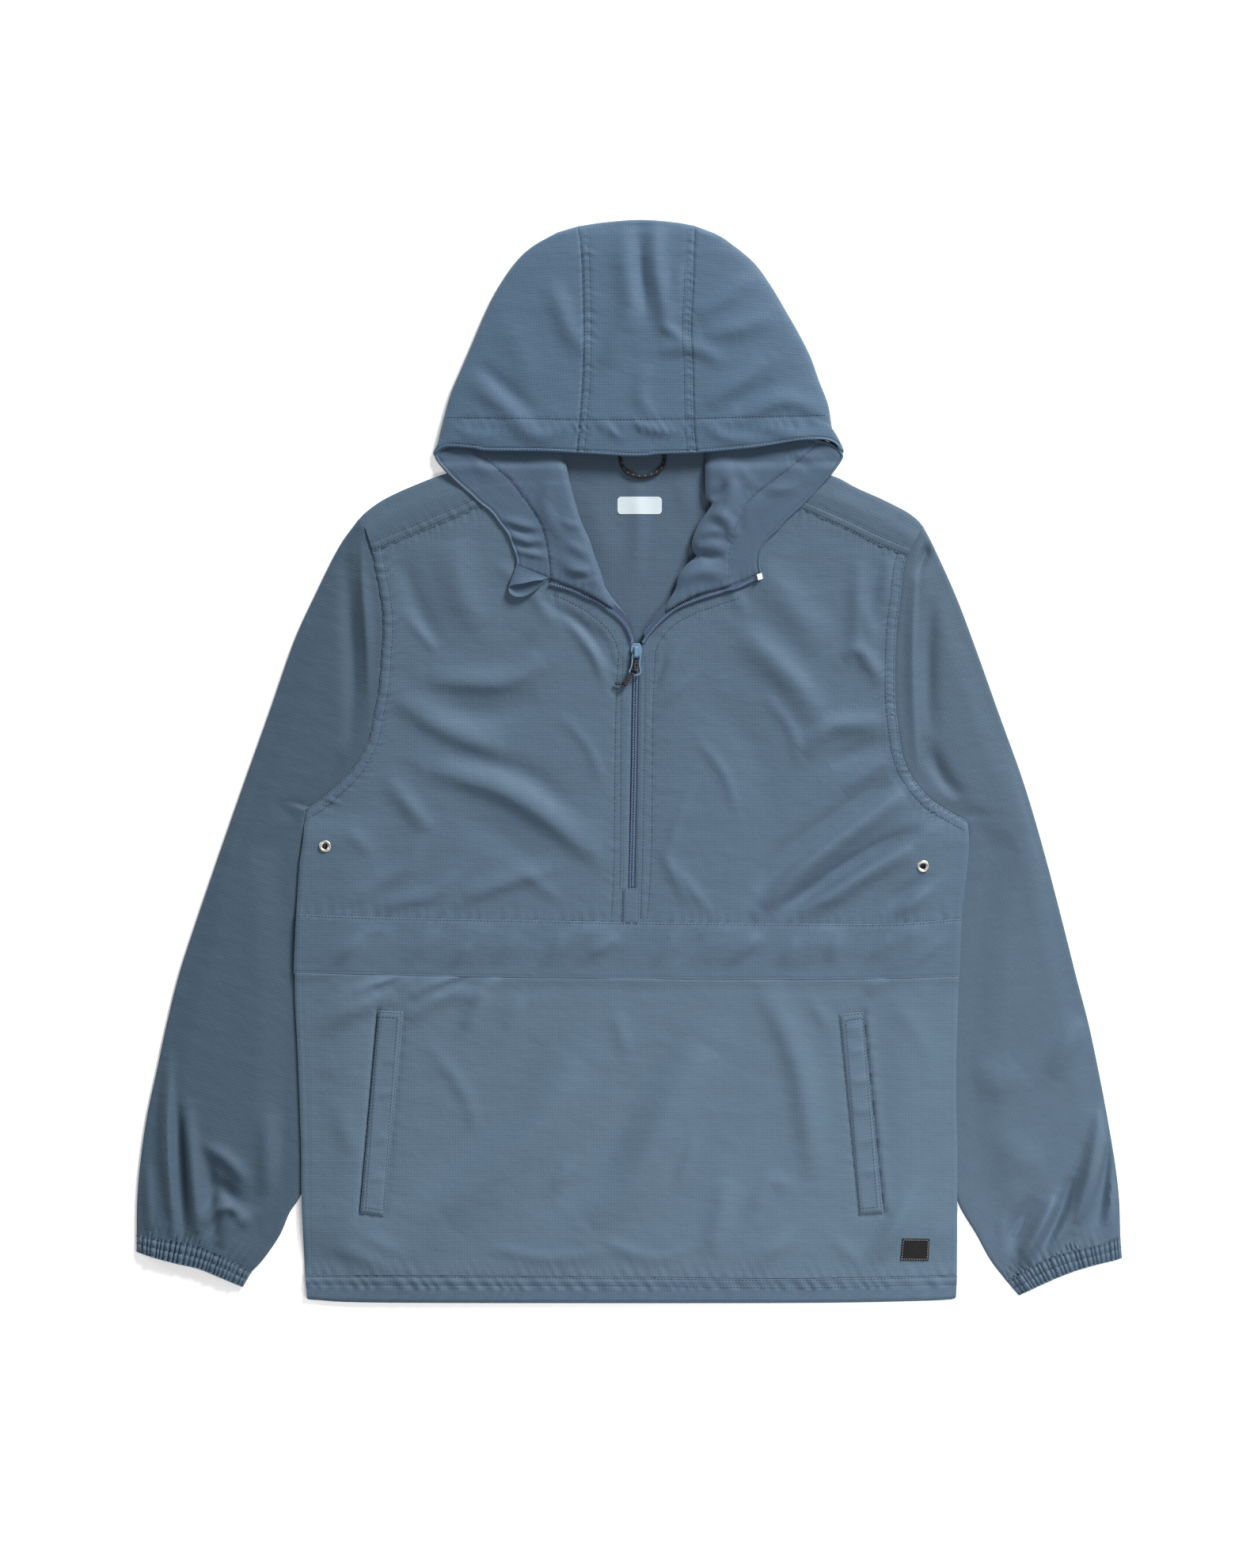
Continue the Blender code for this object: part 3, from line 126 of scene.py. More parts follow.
YOKE_SEAM_LEFT = [(-227.5, 186), (-193, 200), (-169.5, 210), (-145, 220), (-131, 227), (-98, 241)]
YOKE_SEAM_RIGHT = [(245.5, 182), (219, 192.5), (196.5, 203.5), (173.5, 214), (151, 224), (108, 243)]
HEM_EDGE = [
    (-285, -475.5), (-276, -476.5), (-231, -478.6), (-66, -479.2), (152, -479), (248, -477.5), (283, -476),
    (289, -474),
]
HEM_SEAM = [(-287, -454), (-136, -454.5), (4, -455.5), (143, -457), (290, -454)]
FLAP_TOP = [
    (-294.5, -134.5), (-234, -137), (-171, -138.5), (-66, -140.5), (4, -142), (143, -143), (234, -143),
    (293.5, -138.5),
]
FLAP_BOTTOM = [
    (-297, -187), (-213, -189), (-126, -191), (4, -192), (96, -193), (203, -192.5), (292, -190.5),
]
POUCH_TOP = [(-295.5, -149), (4, -151), (293, -149)]
PLACKET_LEFT = [(-1.4, -151), (0.6, -27.5), (2.2, 63.5), (3.0, 98)]
PLACKET_RIGHT = [(4.6, -151), (6.6, -27.5), (8.2, 63.5), (9.6, 100)]
ROLL_LEFT = [
    (3.0, 98), (3, 112), (-2, 128), (-11, 139.5), (-18, 149), (-21, 154), (-26, 169.5), (-31, 182.5),
    (-35, 195.5), (-41.5, 209.5), (-45.5, 221), (-50.5, 238.5), (-54.5, 255.5), (-57.5, 272.5), (-61, 288),
]
ROLL_RIGHT = [
    (9.6, 100), (14.5, 115), (21, 125.5), (28, 134.5), (35, 143), (40.5, 152), (42.5, 161), (46, 168.5),
    (54, 177), (59.5, 180.5), (56, 187), (55.5, 195.5), (59.5, 206), (65, 215.5), (70, 222.5), (73, 228),
    (68, 233), (67, 244.5), (67, 271), (68.5, 288),
]
LAPEL_EDGE_LEFT = [
    (-100, 175), (-101, 181.5), (-104.5, 191), (-108.5, 201), (-115, 209.5), (-123, 220), (-132.5, 227.5),
    (-140.5, 235), (-153.5, 246.5), (-163.5, 257), (-171, 266.5), (-171.5, 272), (-164, 279),
]
LAPEL_EDGE_RIGHT = [
    (116, 169.5), (115.5, 178.5), (117.5, 187.5), (122.5, 195.5), (131, 203.5), (138, 211.5), (147, 220),
    (158, 230.5), (168.5, 242), (179, 254), (187.5, 265.5), (188.8, 272), (180, 281),
]
TAPE_LEFT = [
    (-100, 175), (-68.5, 164), (-55.5, 159), (-42, 154), (-28.5, 147), (-15.5, 138), (-6.5, 131), (0, 121),
    (2.4, 112),
]
TAPE_RIGHT = [(116, 169.5), (88, 158), (60, 150.5), (42, 141.5), (29.5, 132.5), (20, 121), (14, 113.5)]
CHAIN_LEFT = [
    (-70, 156.5), (-51, 151), (-38, 145), (-28.5, 141), (-19.5, 134.5), (-11, 128.5), (-4, 121), (0.4, 112),
    (2.6, 105.5),
]
CHAIN_RIGHT = [
    (113, 161.5), (96, 154), (77.5, 148.5), (60, 143), (42, 135.5), (28, 124.5), (17.5, 113.5), (12, 105.5),
]
SLEEVE_OUTER_LEFT = [
    (-239.9, 214), (-257, 189.5), (-278, 147.5), (-297, 105.5), (-319, 42.5), (-341.5, -20.5),
    (-363.5, -83.5), (-385, -146.5), (-398.5, -188.5), (-409, -230.5), (-418, -272.5), (-427, -314.5),
    (-433, -356.5), (-435.5, -388), (-436, -418),
]
SLEEVE_INNER_LEFT = [
    (-287, -42.3), (-287, -60), (-286.5, -78), (-284, -102), (-281, -140), (-277, -200), (-277, -272),
    (-281.5, -328), (-286.5, -370), (-292, -386), (-300.5, -399), (-309.5, -419.5), (-324, -440.5),
    (-334, -451),
]
SLEEVE_OUTER_RIGHT = [
    (259.9, 208), (269.5, 189.5), (288.5, 147.5), (304.5, 105.5), (327, 42.5), (349.5, -20.5), (368, -83.5),
    (384.5, -146.5), (395, -188.5), (406, -230.5), (415, -272.5), (423, -314.5), (430, -356.5),
    (433.5, -388), (434.5, -420),
]
SLEEVE_INNER_RIGHT = [
    (300, -53.4), (298.5, -68), (297, -84), (293.5, -108), (289, -140), (282, -200), (280, -272),
    (281, -328), (285.5, -370), (290, -388), (295.5, -400), (307.5, -419.5), (319, -440.5), (333, -459),
]
CUFF_SEAM_LEFT = [
    (-436, -418), (-422, -420.5), (-405.5, -423.5), (-386.5, -427), (-370.5, -432.5), (-353, -440),
    (-343.5, -445.5), (-334, -451),
]
CUFF_SEAM_RIGHT = [
    (434.5, -420), (416, -427), (392.5, -432.5), (375, -437.5), (357.5, -445), (346.5, -453), (333, -459),
]
CUFF_END_LEFT = [
    (-436, -434), (-416.5, -440), (-399, -444.5), (-381.5, -448.5), (-364, -455.5), (-342, -465),
]
CUFF_END_RIGHT = [(436, -439.5), (404, -447.5), (381, -455.5), (357.5, -466), (344.5, -472.5)]
HOOD_MOUTH = [
    (-172, 269.5), (-169, 273.6), (-164.5, 276.6), (-157, 277.6), (-137, 276), (-126, 274), (-78.5, 273.5),
    (-46.5, 272), (-4, 269.5), (14, 269.5), (27.5, 271), (58.8, 272), (99.5, 275.5), (120.5, 278),
    (142, 281.5), (163, 283.5), (178.5, 282), (188.5, 273),
]
MOUTH_LEFT = HOOD_MOUTH[7::-1]
MOUTH_RIGHT = [
    (58.8, 272), (99.5, 275.5), (115.5, 277.5), (146, 282.9), (164, 284.6), (176, 283.6), (184, 279.4),
    (189, 272.5),
]
HOOD_SEAM_LEFT = [(-46.5, 272), (-44, 300.5), (-41.5, 335.5), (-40.5, 381.5), (-42, 441.5), (-45, 473.6)]
HOOD_SEAM_RIGHT = [(58.8, 272), (56.5, 300.5), (55.5, 350.5), (54, 381.5), (55.5, 416.5), (58, 473.8)]
HOOD_SIDE_LEFT = [
    (-172, 269.5), (-173.6, 273), (-170, 281), (-167.6, 291), (-164, 305), (-158, 326), (-149, 347),
    (-140, 368), (-126.5, 399.5), (-115.5, 420.5), (-101, 441.5), (-86, 455.5), (-64, 468),
]
HOOD_SIDE_RIGHT = [
    (189, 272.5), (189.8, 275), (187.4, 281), (183.4, 288.6), (179.6, 294), (176, 315.5), (168, 336.5),
    (160.5, 357.5), (150, 378.5), (138, 399.5), (125.5, 420.5), (110, 441.5), (87.5, 460), (76, 467),
]
HOOD_CROWN = [(-45, 473.6), (-20, 477.2), (10.5, 479.2), (40, 477), (58, 473.8)]
POUCH_SIDE_LEFT = [(-287, -453.7)] + SIDE_LEFT[1:5] + [(-295.5, -149.3)]
POUCH_SIDE_RIGHT = [(290, -453.7)] + SIDE_RIGHT[1:5] + [(293, -149.3)]
ZIP_LINE = [(1.5, -111), (3.6, -27.5), (5.2, 63.5), (6.2, 91)]
LOOP_ROUTE = [
    (-7.5, 275), (-7.5, 267.5), (-6.5, 261), (-1.5, 255), (7, 252), (16, 252.4), (24.5, 255.4), (30, 261),
    (31.2, 267.5), (31.2, 275),
]
CASING_SEAM = [(-99.6, 173.6), (-84, 167.4), (-70.6, 162.4)]
print("pit to pit", SIDE_RIGHT[-1][0] - SIDE_LEFT[-1][0], "mm")

# %% [markdown]
# ## Curves and patches
#
# A table has few points, so a smooth curve is run through them. Four such curves round a piece are filled
# with a Coons patch, which blends the opposite borders and so gives a grid that follows all four.

# %% Curve helpers
def smooth(points, steps=12):
    """A dense smooth curve through a table's points."""
    points = np.array(points, dtype=float)
    if len(points) < 3:
        return points
    ends = np.vstack([2 * points[0] - points[1], points, 2 * points[-1] - points[-2]])
    curve = []
    for p0, p1, p2, p3 in zip(ends, ends[1:], ends[2:], ends[3:]):
        for t in np.arange(steps) / steps:
            curve.append(0.5 * (2 * p1 + (p2 - p0) * t + (2 * p0 - 5 * p1 + 4 * p2 - p3) * t ** 2
                                + (3 * p1 - p0 - 3 * p2 + p3) * t ** 3))
    return np.array(curve + [points[-1]])


def run_of(curve):
    """Distance along a curve at each of its points."""
    steps = np.linalg.norm(np.diff(curve, axis=0), axis=1)
    return np.concatenate([[0], np.cumsum(steps)])


def at_shares(curve, shares):
    """A dense curve read at shares of its length."""
    run = run_of(curve)
    at = np.asarray(shares) * run[-1]
    return np.stack([np.interp(at, run, curve[:, axis]) for axis in range(curve.shape[1])], axis=1)


def along(curve, count):
    """A dense curve read at even steps."""
    return at_shares(np.asarray(curve, dtype=float), np.linspace(0, 1, count))


def even(points, count):
    """The smooth curve through a table, read at even steps."""
    return along(smooth(points), count)


def joined(*curves):
    return np.vstack([curves[0]] + [curve[1:] for curve in curves[1:]])


def moved(curve, distance):
    """A plan curve moved to the left of its own direction."""
    way = np.gradient(np.array(curve, dtype=float), axis=0)
    way /= np.linalg.norm(way, axis=1)[:, None]
    return curve + distance * np.stack([-way[:, 1], way[:, 0]], axis=1)


def patch(bottom, top, left, right):
    """Plan points inside four borders: rows run from the bottom curve to the top one."""
    across = (run_of(bottom) / run_of(bottom)[-1] + run_of(top) / run_of(top)[-1]) / 2
    up = (run_of(left) / run_of(left)[-1] + run_of(right) / run_of(right)[-1]) / 2
    u = across[None, :, None]
    v = up[:, None, None]
    ruled = (1 - v) * bottom[None] + v * top[None] + (1 - u) * left[:, None] + u * right[:, None]
    corners = ((1 - u) * (1 - v) * bottom[0] + u * (1 - v) * bottom[-1]
               + (1 - u) * v * top[0] + u * v * top[-1])
    return ruled - corners


def count_for(length, spacing=GRID):
    return max(3, int(round(length / spacing)) + 1)


def xy(plan):
    """The two coordinates of plan points."""
    return plan[:, :, 0], plan[:, :, 1]


def at_height(plan, top):
    """Plan points with their height."""
    return np.dstack([plan, top])


def straight(start, end):
    return np.array([start, end], dtype=float)


# %% [markdown]
# ## Creases, puckers and seams
#
# Woven nylon keeps a soft crease where it was folded, and draws up in short puckers along a row of
# stitches. Both are added to the height of a shell. A crease is a line with a height, a half width and a
# lean, which makes one flank steeper than the other. A pucker row is a wave along a seam that dies out
# sideways; its wavelength wanders, so no two puckers are alike.

# %% Fields of height
def ease(value):
    """A soft step from 0 to 1."""
    value = np.clip(value, 0, 1)
    return value * value * (3 - 2 * value)


def near_line(x, y, line, span):
    """Distance from a line, the side of it and the run along it, for the places within its span."""
    line = np.asarray(line, dtype=float)
    low = line.min(axis=0) - span
    high = line.max(axis=0) + span
    mask = (x > low[0]) & (x < high[0]) & (y > low[1]) & (y < high[1])
    px = x[mask]
    py = y[mask]
    away = np.full(px.shape, np.inf)
    side = np.ones(px.shape)
    run = np.zeros(px.shape)
    start = 0.0
    for (ax, ay), (bx, by) in zip(line, line[1:]):
        sx, sy = bx - ax, by - ay
        size = math.hypot(sx, sy)
        if size == 0:
            continue
        t = np.clip(((px - ax) * sx + (py - ay) * sy) / size ** 2, 0, 1)
        dx = px - ax - t * sx
        dy = py - ay - t * sy
        distance = np.hypot(dx, dy)
        closer = distance < away
        away = np.where(closer, distance, away)
        side = np.where(closer, np.sign(sx * dy - sy * dx), side)
        run = np.where(closer, start + t * size, run)
        start += size
    return mask, away, side, run, start


def creases(x, y, table):
    """What the creases add at each place. Rows: height, half width, line and, if it has one, its lean."""
    total = np.zeros(x.shape)
    for height, width, line, *rest in table:
        lean = rest[0] if rest else 0
        curve = smooth(line, 6)
        mask, away, side, run, size = near_line(x, y, curve, 3 * width)
        flank = width * (1 + lean * side)
        fade = np.sin(math.pi * np.clip(run / size, 0.02, 0.98)) ** 0.6
        total[mask] += height * fade * np.exp(-(away / flank) ** 2)
    return total


KNOT = 0.8                        # waves of a pucker row between two changes of its wavelength


def puckers(x, y, line, height, pitch, span, slant=0.6, sides=0, seed=1):
    """Short ripples across a row of stitches: how high, how long and how far they reach, in mm. sides is 0
    for both sides, 1 or -1 for one."""
    mask, away, side, run, size = near_line(x, y, line, 3 * span)
    random = np.random.default_rng(seed)
    knots = np.arange(0, size + 4 * pitch, pitch * KNOT)
    phase = np.cumsum(random.uniform(0.35, 1.65, len(knots))) * 2 * math.pi * KNOT
    strength = random.uniform(0.25, 1.0, len(knots))
    wave = np.sin(np.interp(run + slant * away, knots, phase)) * np.interp(run, knots, strength)
    near = np.exp(-(away / span) ** 1.5)
    if sides:
        near = near * (side == sides)
    total = np.zeros(x.shape)
    total[mask] = height * wave * near
    return total


def band(x, y, line, width, height, side=1, soft=0.8):
    """A strip beside a seam that is raised by the cloth folded into it."""
    mask, away, which = near_line(x, y, line, width + 4)[:3]
    total = np.zeros(x.shape)
    total[mask] = height * ease((width + soft / 2 - away) / soft) * (which == side)
    return total


def groove(x, y, line, depth, width=1.6):
    """The dip that a seam or a row of stitches pulls into the cloth."""
    mask, away = near_line(x, y, line, 3 * width)[:2]
    total = np.zeros(x.shape)
    total[mask] = -depth * np.exp(-(away / width) ** 2)
    return total


# %% [markdown]
# ## A shell of cloth
#
# A grid of points becomes a closed shell: one skin through the points, one a cloth's thickness behind it
# along the surface's own direction, and a rim along every free edge. The cloth's pattern needs its own
# coordinates, since a sleeve's threads run along the sleeve and not along the page, so each shell gets a UV
# map in metres, turned by its grain.

# %% Shell maker
GARMENT = "garment"
CREASED = math.radians(55)        # faces that meet at more than this stay sharp


def put_in(name, mesh, look=None, body=GARMENT, replaces=()):
    """Make a finished mesh a piece that rides on a body."""
    if look:
        mesh.materials.append(look)
    made = bpy.data.objects.new(name, mesh)
    bpy.context.collection.objects.link(made)
    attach(made, body)
    if replaces:
        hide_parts(*replaces)
    return made


def skin_normals(points, ring):
    """The direction out of a grid at each point, and whether the grid's faces have to be turned round."""
    if ring:
        wrapped = np.concatenate([points[:, -1:], points, points[:, :1]], axis=1)
        across = (wrapped[:, 2:] - wrapped[:, :-2]) / 2
    else:
        across = np.gradient(points, axis=1)
    normals = np.cross(across, np.gradient(points, axis=0))
    normals /= np.maximum(np.linalg.norm(normals, axis=2), 1e-9)[:, :, None]
    if ring:
        outwards = points - points.mean(axis=1, keepdims=True)
        turned = (normals * outwards).sum() < 0
    else:
        turned = normals[:, :, 2].mean() < 0
    return (-normals if turned else normals), turned


def shell(name, points, look, replaces, grain=0.0, ring=False, kept=None, thickness=CLOTH, slot="ripstop"):
    """A closed shell on a grid of points in mm; kept says which of its squares are cloth."""
    normals, turned = skin_normals(points, ring)
    behind = points - normals * thickness
    rows, columns = points.shape[:2]
    wide = columns if ring else columns - 1
    if kept is None:
        kept = np.ones((rows - 1, wide), dtype=bool)
    r, c = np.nonzero(kept)
    after = (c + 1) % columns
    a = r * columns + c
    b = r * columns + after
    d = (r + 1) * columns + c
    e = (r + 1) * columns + after
    count = rows * columns
    front = np.stack([a, b, e, d], axis=1)
    back = np.stack([d, e, b, a], axis=1) + count
    walls = []
    padded = np.zeros((rows + 1, wide + 2), dtype=bool)
    padded[1:-1, 1:-1] = kept
    if ring:
        padded[:, 0] = padded[:, -2]
        padded[:, -1] = padded[:, 1]
    row, col = r + 1, c + 1
    for start, end, open_side in ((a, b, ~padded[row - 1, col]), (b, e, ~padded[row, col + 1]),
                                  (e, d, ~padded[row + 1, col]), (d, a, ~padded[row, col - 1])):
        s, t = start[open_side], end[open_side]
        walls.append(np.stack([t, s, s + count, t + count], axis=1))
    faces = np.concatenate([front, back] + walls)
    if turned:
        faces = faces[:, ::-1]
    used = np.unique(faces)
    index = np.zeros(2 * count, dtype=int)
    index[used] = np.arange(len(used))
    vertices = np.concatenate([points.reshape(-1, 3), behind.reshape(-1, 3)])[used] * MM
    vertices[:, 2] = np.maximum(vertices[:, 2], 0)
    mesh = bpy.data.meshes.new(name)
    faces = index[faces]
    mesh.from_pydata(vertices.tolist(), [], faces.tolist())
    turn = math.radians(grain)
    thread = np.stack([vertices[:, 0] * math.cos(turn) + vertices[:, 1] * math.sin(turn),
                       vertices[:, 1] * math.cos(turn) - vertices[:, 0] * math.sin(turn)], axis=1)
    layer = mesh.uv_layers.new(name="cloth")
    layer.data.foreach_set("uv", thread[faces.ravel()].astype(np.float32).ravel())
    mesh.shade_smooth()
    mesh.set_sharp_from_angle(angle=CREASED)
    print(name, len(faces) * 2, "triangles")
    return put_in(name, mesh, look, replaces=replaces)


def cut_size(points, ring=False):
    """Width, length and area of the flat piece that a grid stands for, in metres."""
    if ring:
        points = np.concatenate([points, points[:, :1]], axis=1)
    across = np.linalg.norm(np.diff(points, axis=1), axis=2)
    up = np.linalg.norm(np.diff(points, axis=0), axis=2)
    sides = np.cross(points[1:, :-1] - points[:-1, :-1], points[:-1, 1:] - points[:-1, :-1])
    others = np.cross(points[1:, :-1] - points[1:, 1:], points[:-1, 1:] - points[1:, 1:])
    area = (np.linalg.norm(sides, axis=2).sum() + np.linalg.norm(others, axis=2).sum()) / 2
    return across.sum(axis=1).max() * MM, up.sum(axis=0).max() * MM, area * MM * MM


def piece(name, points, look, rests_on, node=None, ring=False, held="laid", **settings):
    """A shell in place of a solid. The solid has the shell's name without "_cloth", unless node gives
    another."""
    made = shell(name, points, look, [node or name.replace("_cloth", "")], ring=ring, **settings)
    return made

# %% [markdown]
# ## Where the creases lie
#
# The photo's light comes from the top right. A dark line with a bright line above it or to its right is then
# a ridge between the two, and a bright line with a dark one there is a trough. The tables give each crease
# its height, its half width, the line that it runs along and, where one flank is steeper, its lean.

# %% Creases: height, half width, line, lean
CHEST_CREASES = [
    (2.4, 15, [(-156, 198), (-150, 150), (-128, 116)]), (-1.4, 9, [(-201, 180), (-186, 135), (-166, 102)]),
    (2.6, 10, [(-182, 73), (-140, 69), (-105, 71), (-72, 90)], 0.2),
    (2.6, 11, [(-208, 57), (-168, 30), (-128, 14), (-108, 8)], 0.2),
    (-1.6, 12, [(-168, 53), (-125, 42), (-78, 58)]),
    (3.6, 12, [(-180, -6), (-119, -24), (-78, -47), (-40, -76), (-20, -86)], 0.25),
    (-1.6, 10, [(-165, 6), (-126, -2), (-88, -14), (-50, -44)]),
    (-1.2, 14, [(-152, -45), (-112, -66), (-72, -90)]), (1.8, 8, [(-214, -16), (-196, -38), (-176, -62)]),
    (1.4, 8, [(-244, -122), (-218, -107), (-195, -90), (-180, -62)]),
    (1.3, 7, [(-228, -131), (-195, -123), (-172, -118), (-150, -95)], 0.2),
    (2.0, 8, [(-150, -124), (-107, -107), (-66, -96)], 0.2), (1.0, 8, [(-68, 138), (-90, 106)]),
    (-1.6, 5, [(-70, 138), (-40, 118), (-14, 84)]), (-1.5, 3.5, [(-32, 120), (-16, 96), (-13, 66)]),
    (-1.6, 3.5, [(32, 96), (22, 62), (18, 24)]), (1.0, 6, [(-120, 176), (-90, 152), (-66, 120)]),
    (0.9, 5, [(-196, 128), (-170, 96)]), (0.8, 5, [(-60, 40), (-36, 12), (-22, -22)]),
    (0.8, 6, [(-250, -60), (-226, -84)]), (0.9, 6, [(-96, -96), (-62, -122)]),
    (0.9, 5, [(60, 20), (84, -12), (96, -48)]), (1.0, 6, [(118, 60), (142, 30), (150, 0)]),
    (0.8, 5, [(56, -20), (40, -60), (30, -96)]), (0.9, 6, [(206, 140), (214, 110), (206, 80)]),
    (0.8, 6, [(86, 160), (104, 128)]), (1.0, 4, [(-60, 130), (-36, 104), (-14, 66)]),
    (0.9, 4, [(-52, 118), (-32, 92), (-16, 54)]), (2.4, 16, [(114, 172), (150, 128), (172, 96)]),
    (3.4, 13, [(98, 118), (147, 68), (168, 32)], -0.1),
    (3.0, 9, [(152, 4), (176, 29), (200, 33), (224, 34)]), (-1.6, 8, [(176, -4), (205, 10), (230, 20)]),
    (1.4, 7, [(188, -28), (228, 4)]),
    (6.6, 10, [(116, -134), (146, -100), (182, -70), (216, -46), (246, -26)], -0.2),
    (-3.6, 11, [(110, -119), (135, -88), (184, -54), (219, -25), (234, -16)]),
    (4.6, 8, [(146, -140), (180, -118), (214, -96), (254, -74)], -0.2),
    (-3.0, 6, [(131, -131), (163, -112), (197, -90), (230, -72), (270, -56)]),
    (3.8, 7, [(236, -138), (262, -117), (286, -100)], -0.2),
    (-2.0, 6, [(228, -130), (249, -112), (274, -99)]), (2.0, 6, [(254, -66), (286, -52)]),
    (2.0, 8, [(203, 180), (200, 90)]), (1.6, 6, [(231, 181), (223, 138)]),
    (2.0, 7, [(188, 89), (204, 97), (224, 68)]), (1.1, 5, [(24, -74), (54, -128)]),
    (1.1, 5, [(40, -92), (74, -138)]), (1.0, 5, [(26, 46), (58, 78)]), (0.9, 4, [(24, 70), (50, 106)]),
    (-1.0, 16, [(60, 60), (110, 10), (120, -50)]),
]
POUCH_CREASES = [
    (3.0, 18, [(-40, -262), (-78, -318), (-115, -360), (-164, -408)], 0.1),
    (-1.6, 16, [(-72, -248), (-104, -296), (-142, -336), (-188, -382)]),
    (3.2, 18, [(72, -250), (35, -308), (2, -374), (-38, -412)], 0.1),
    (-1.6, 14, [(38, -248), (4, -302), (-28, -360), (-64, -394)]),
    (2.2, 12, [(116, -198), (137, -238), (151, -280), (165, -374)], 0.1),
    (0.9, 7, [(-50, -355), (-68, -380)]), (2.2, 11, [(-290, -246), (-250, -222), (-205, -204)], 0.2),
    (1.3, 8, [(-290, -280), (-258, -266)]), (1.6, 8, [(-198, -230), (-164, -206), (-138, -204)]),
    (1.4, 7, [(-148, -238), (-126, -202)]), (1.6, 9, [(-288, -402), (-258, -397)]),
    (1.6, 9, [(-280, -422), (-238, -440), (-200, -456)]), (1.5, 10, [(88, -366), (72, -440)]),
    (1.0, 7, [(108, -398), (124, -372), (142, -376)]), (1.4, 8, [(104, -454), (142, -418)]),
    (2.2, 9, [(214, -446), (236, -410), (254, -380)], 0.1), (1.4, 6, [(270, -420), (288, -374)]),
    (-1.3, 7, [(252, -434), (272, -394)]), (1.0, 9, [(-262, -300), (-244, -350)]),
    (1.1, 8, [(236, -214), (262, -250), (276, -300)]), (0.9, 6, [(-120, -430), (-70, -440), (-20, -434)]),
    (1.0, 8, [(-226, -200), (-190, -192)]), (1.5, 5, [(-246, -206), (-222, -194), (-202, -186)]),
    (-1.0, 4, [(-226, -206), (-200, -190)]), (1.6, 6, [(-196, -208), (-172, -196), (-148, -186)]),
    (-1.0, 4, [(-172, -206), (-142, -188)]), (1.3, 6, [(-144, -214), (-126, -200), (-114, -186)]),
    (1.2, 6, [(-282, -212), (-256, -192)]), (1.0, 6, [(208, -206), (226, -190)]),
    (1.0, 6, [(258, -210), (276, -192)]), (0.7, 7, [(-180, -250), (-150, -286), (-132, -330)]),
    (0.7, 7, [(-12, -220), (-2, -262)]), (0.6, 6, [(60, -330), (44, -372)]),
    (0.7, 7, [(-236, -420), (-200, -436)]), (0.8, 6, [(-30, -420), (20, -440), (60, -430)]),
    (0.7, 6, [(180, -420), (204, -446)]), (0.7, 6, [(160, -210), (178, -240)]),
    (0.7, 7, [(-96, -206), (-110, -240)]),
]
BAND_CREASES = [
    (1.3, 7, [(84, -186), (116, -152)], 0.1), (0.9, 6, [(-36, -174), (-8, -154)]),
    (0.7, 8, [(-200, -186), (-170, -146)]), (0.7, 6, [(176, -186), (186, -150)]),
    (0.6, 7, [(-120, -180), (-96, -150)]), (0.8, 5, [(-262, -184), (-236, -152)]),
    (-0.5, 5, [(-246, -184), (-220, -150)]), (0.6, 4, [(-160, -186), (-140, -160)]),
    (0.7, 5, [(-78, -186), (-56, -150)]), (-0.5, 5, [(-58, -184), (-34, -156)]),
    (0.6, 4, [(18, -186), (42, -154)]), (-0.5, 5, [(40, -184), (66, -152)]),
    (0.7, 5, [(128, -186), (150, -156)]), (0.8, 5, [(206, -186), (232, -152)]),
    (-0.6, 5, [(226, -186), (250, -154)]), (0.8, 5, [(250, -186), (276, -156)]),
    (0.7, 14, [(-252, -196), (-214, -140)]), (0.6, 15, [(-166, -196), (-120, -140)]),
    (0.8, 17, [(-66, -196), (-24, -140)]), (0.6, 15, [(52, -196), (100, -140)]),
    (0.8, 16, [(140, -196), (184, -140)]), (0.6, 12, [(222, -196), (258, -140)]),
]
HOOD_CREASES = [
    (2.8, 8, [(22, 477), (23, 440), (29, 405), (33, 374)], 0.1),
    (2.2, 10, [(-4, 477), (-4, 440), (1, 405), (3, 376)]), (-1.8, 6, [(10, 470), (10, 430), (15, 392)]),
    (1.8, 9, [(2, 400), (-24, 348)], 0.1), (1.2, 6, [(47, 438), (38, 406)]),
    (1.2, 5, [(28, 386), (50, 370)]), (1.6, 7, [(24, 362), (56, 365), (82, 352)], 0.1),
    (1.8, 9, [(58, 392), (84, 408), (114, 435)]), (1.8, 9, [(64, 376), (96, 382), (132, 394)], 0.1),
    (2.2, 9, [(66, 314), (96, 334), (122, 356)], 0.1), (2.2, 8, [(100, 302), (137, 318), (180, 304)], 0.2),
    (-1.4, 7, [(92, 312), (128, 338)]), (1.9, 9, [(-70, 424), (-54, 382), (-36, 358)]),
    (-1.5, 7, [(-134, 352), (-108, 328), (-82, 306)]),
    (2.0, 9, [(-146, 344), (-120, 320), (-84, 288)], 0.1), (1.4, 7, [(-104, 294), (-78, 287), (-54, 296)]),
    (1.4, 5, [(0, 300), (20, 293), (42, 290)]), (1.0, 4, [(-26, 300), (-6, 284)]),
    (1.0, 5, [(64, 300), (84, 286), (112, 284)]), (1.2, 6, [(118, 296), (150, 287), (176, 290)]),
    (1.2, 6, [(-166, 300), (-140, 288), (-112, 286)]), (1.2, 7, [(16, 352), (10, 322), (24, 300)]),
    (0.9, 12, [(-118, 398), (-96, 360), (-90, 330)]),
]
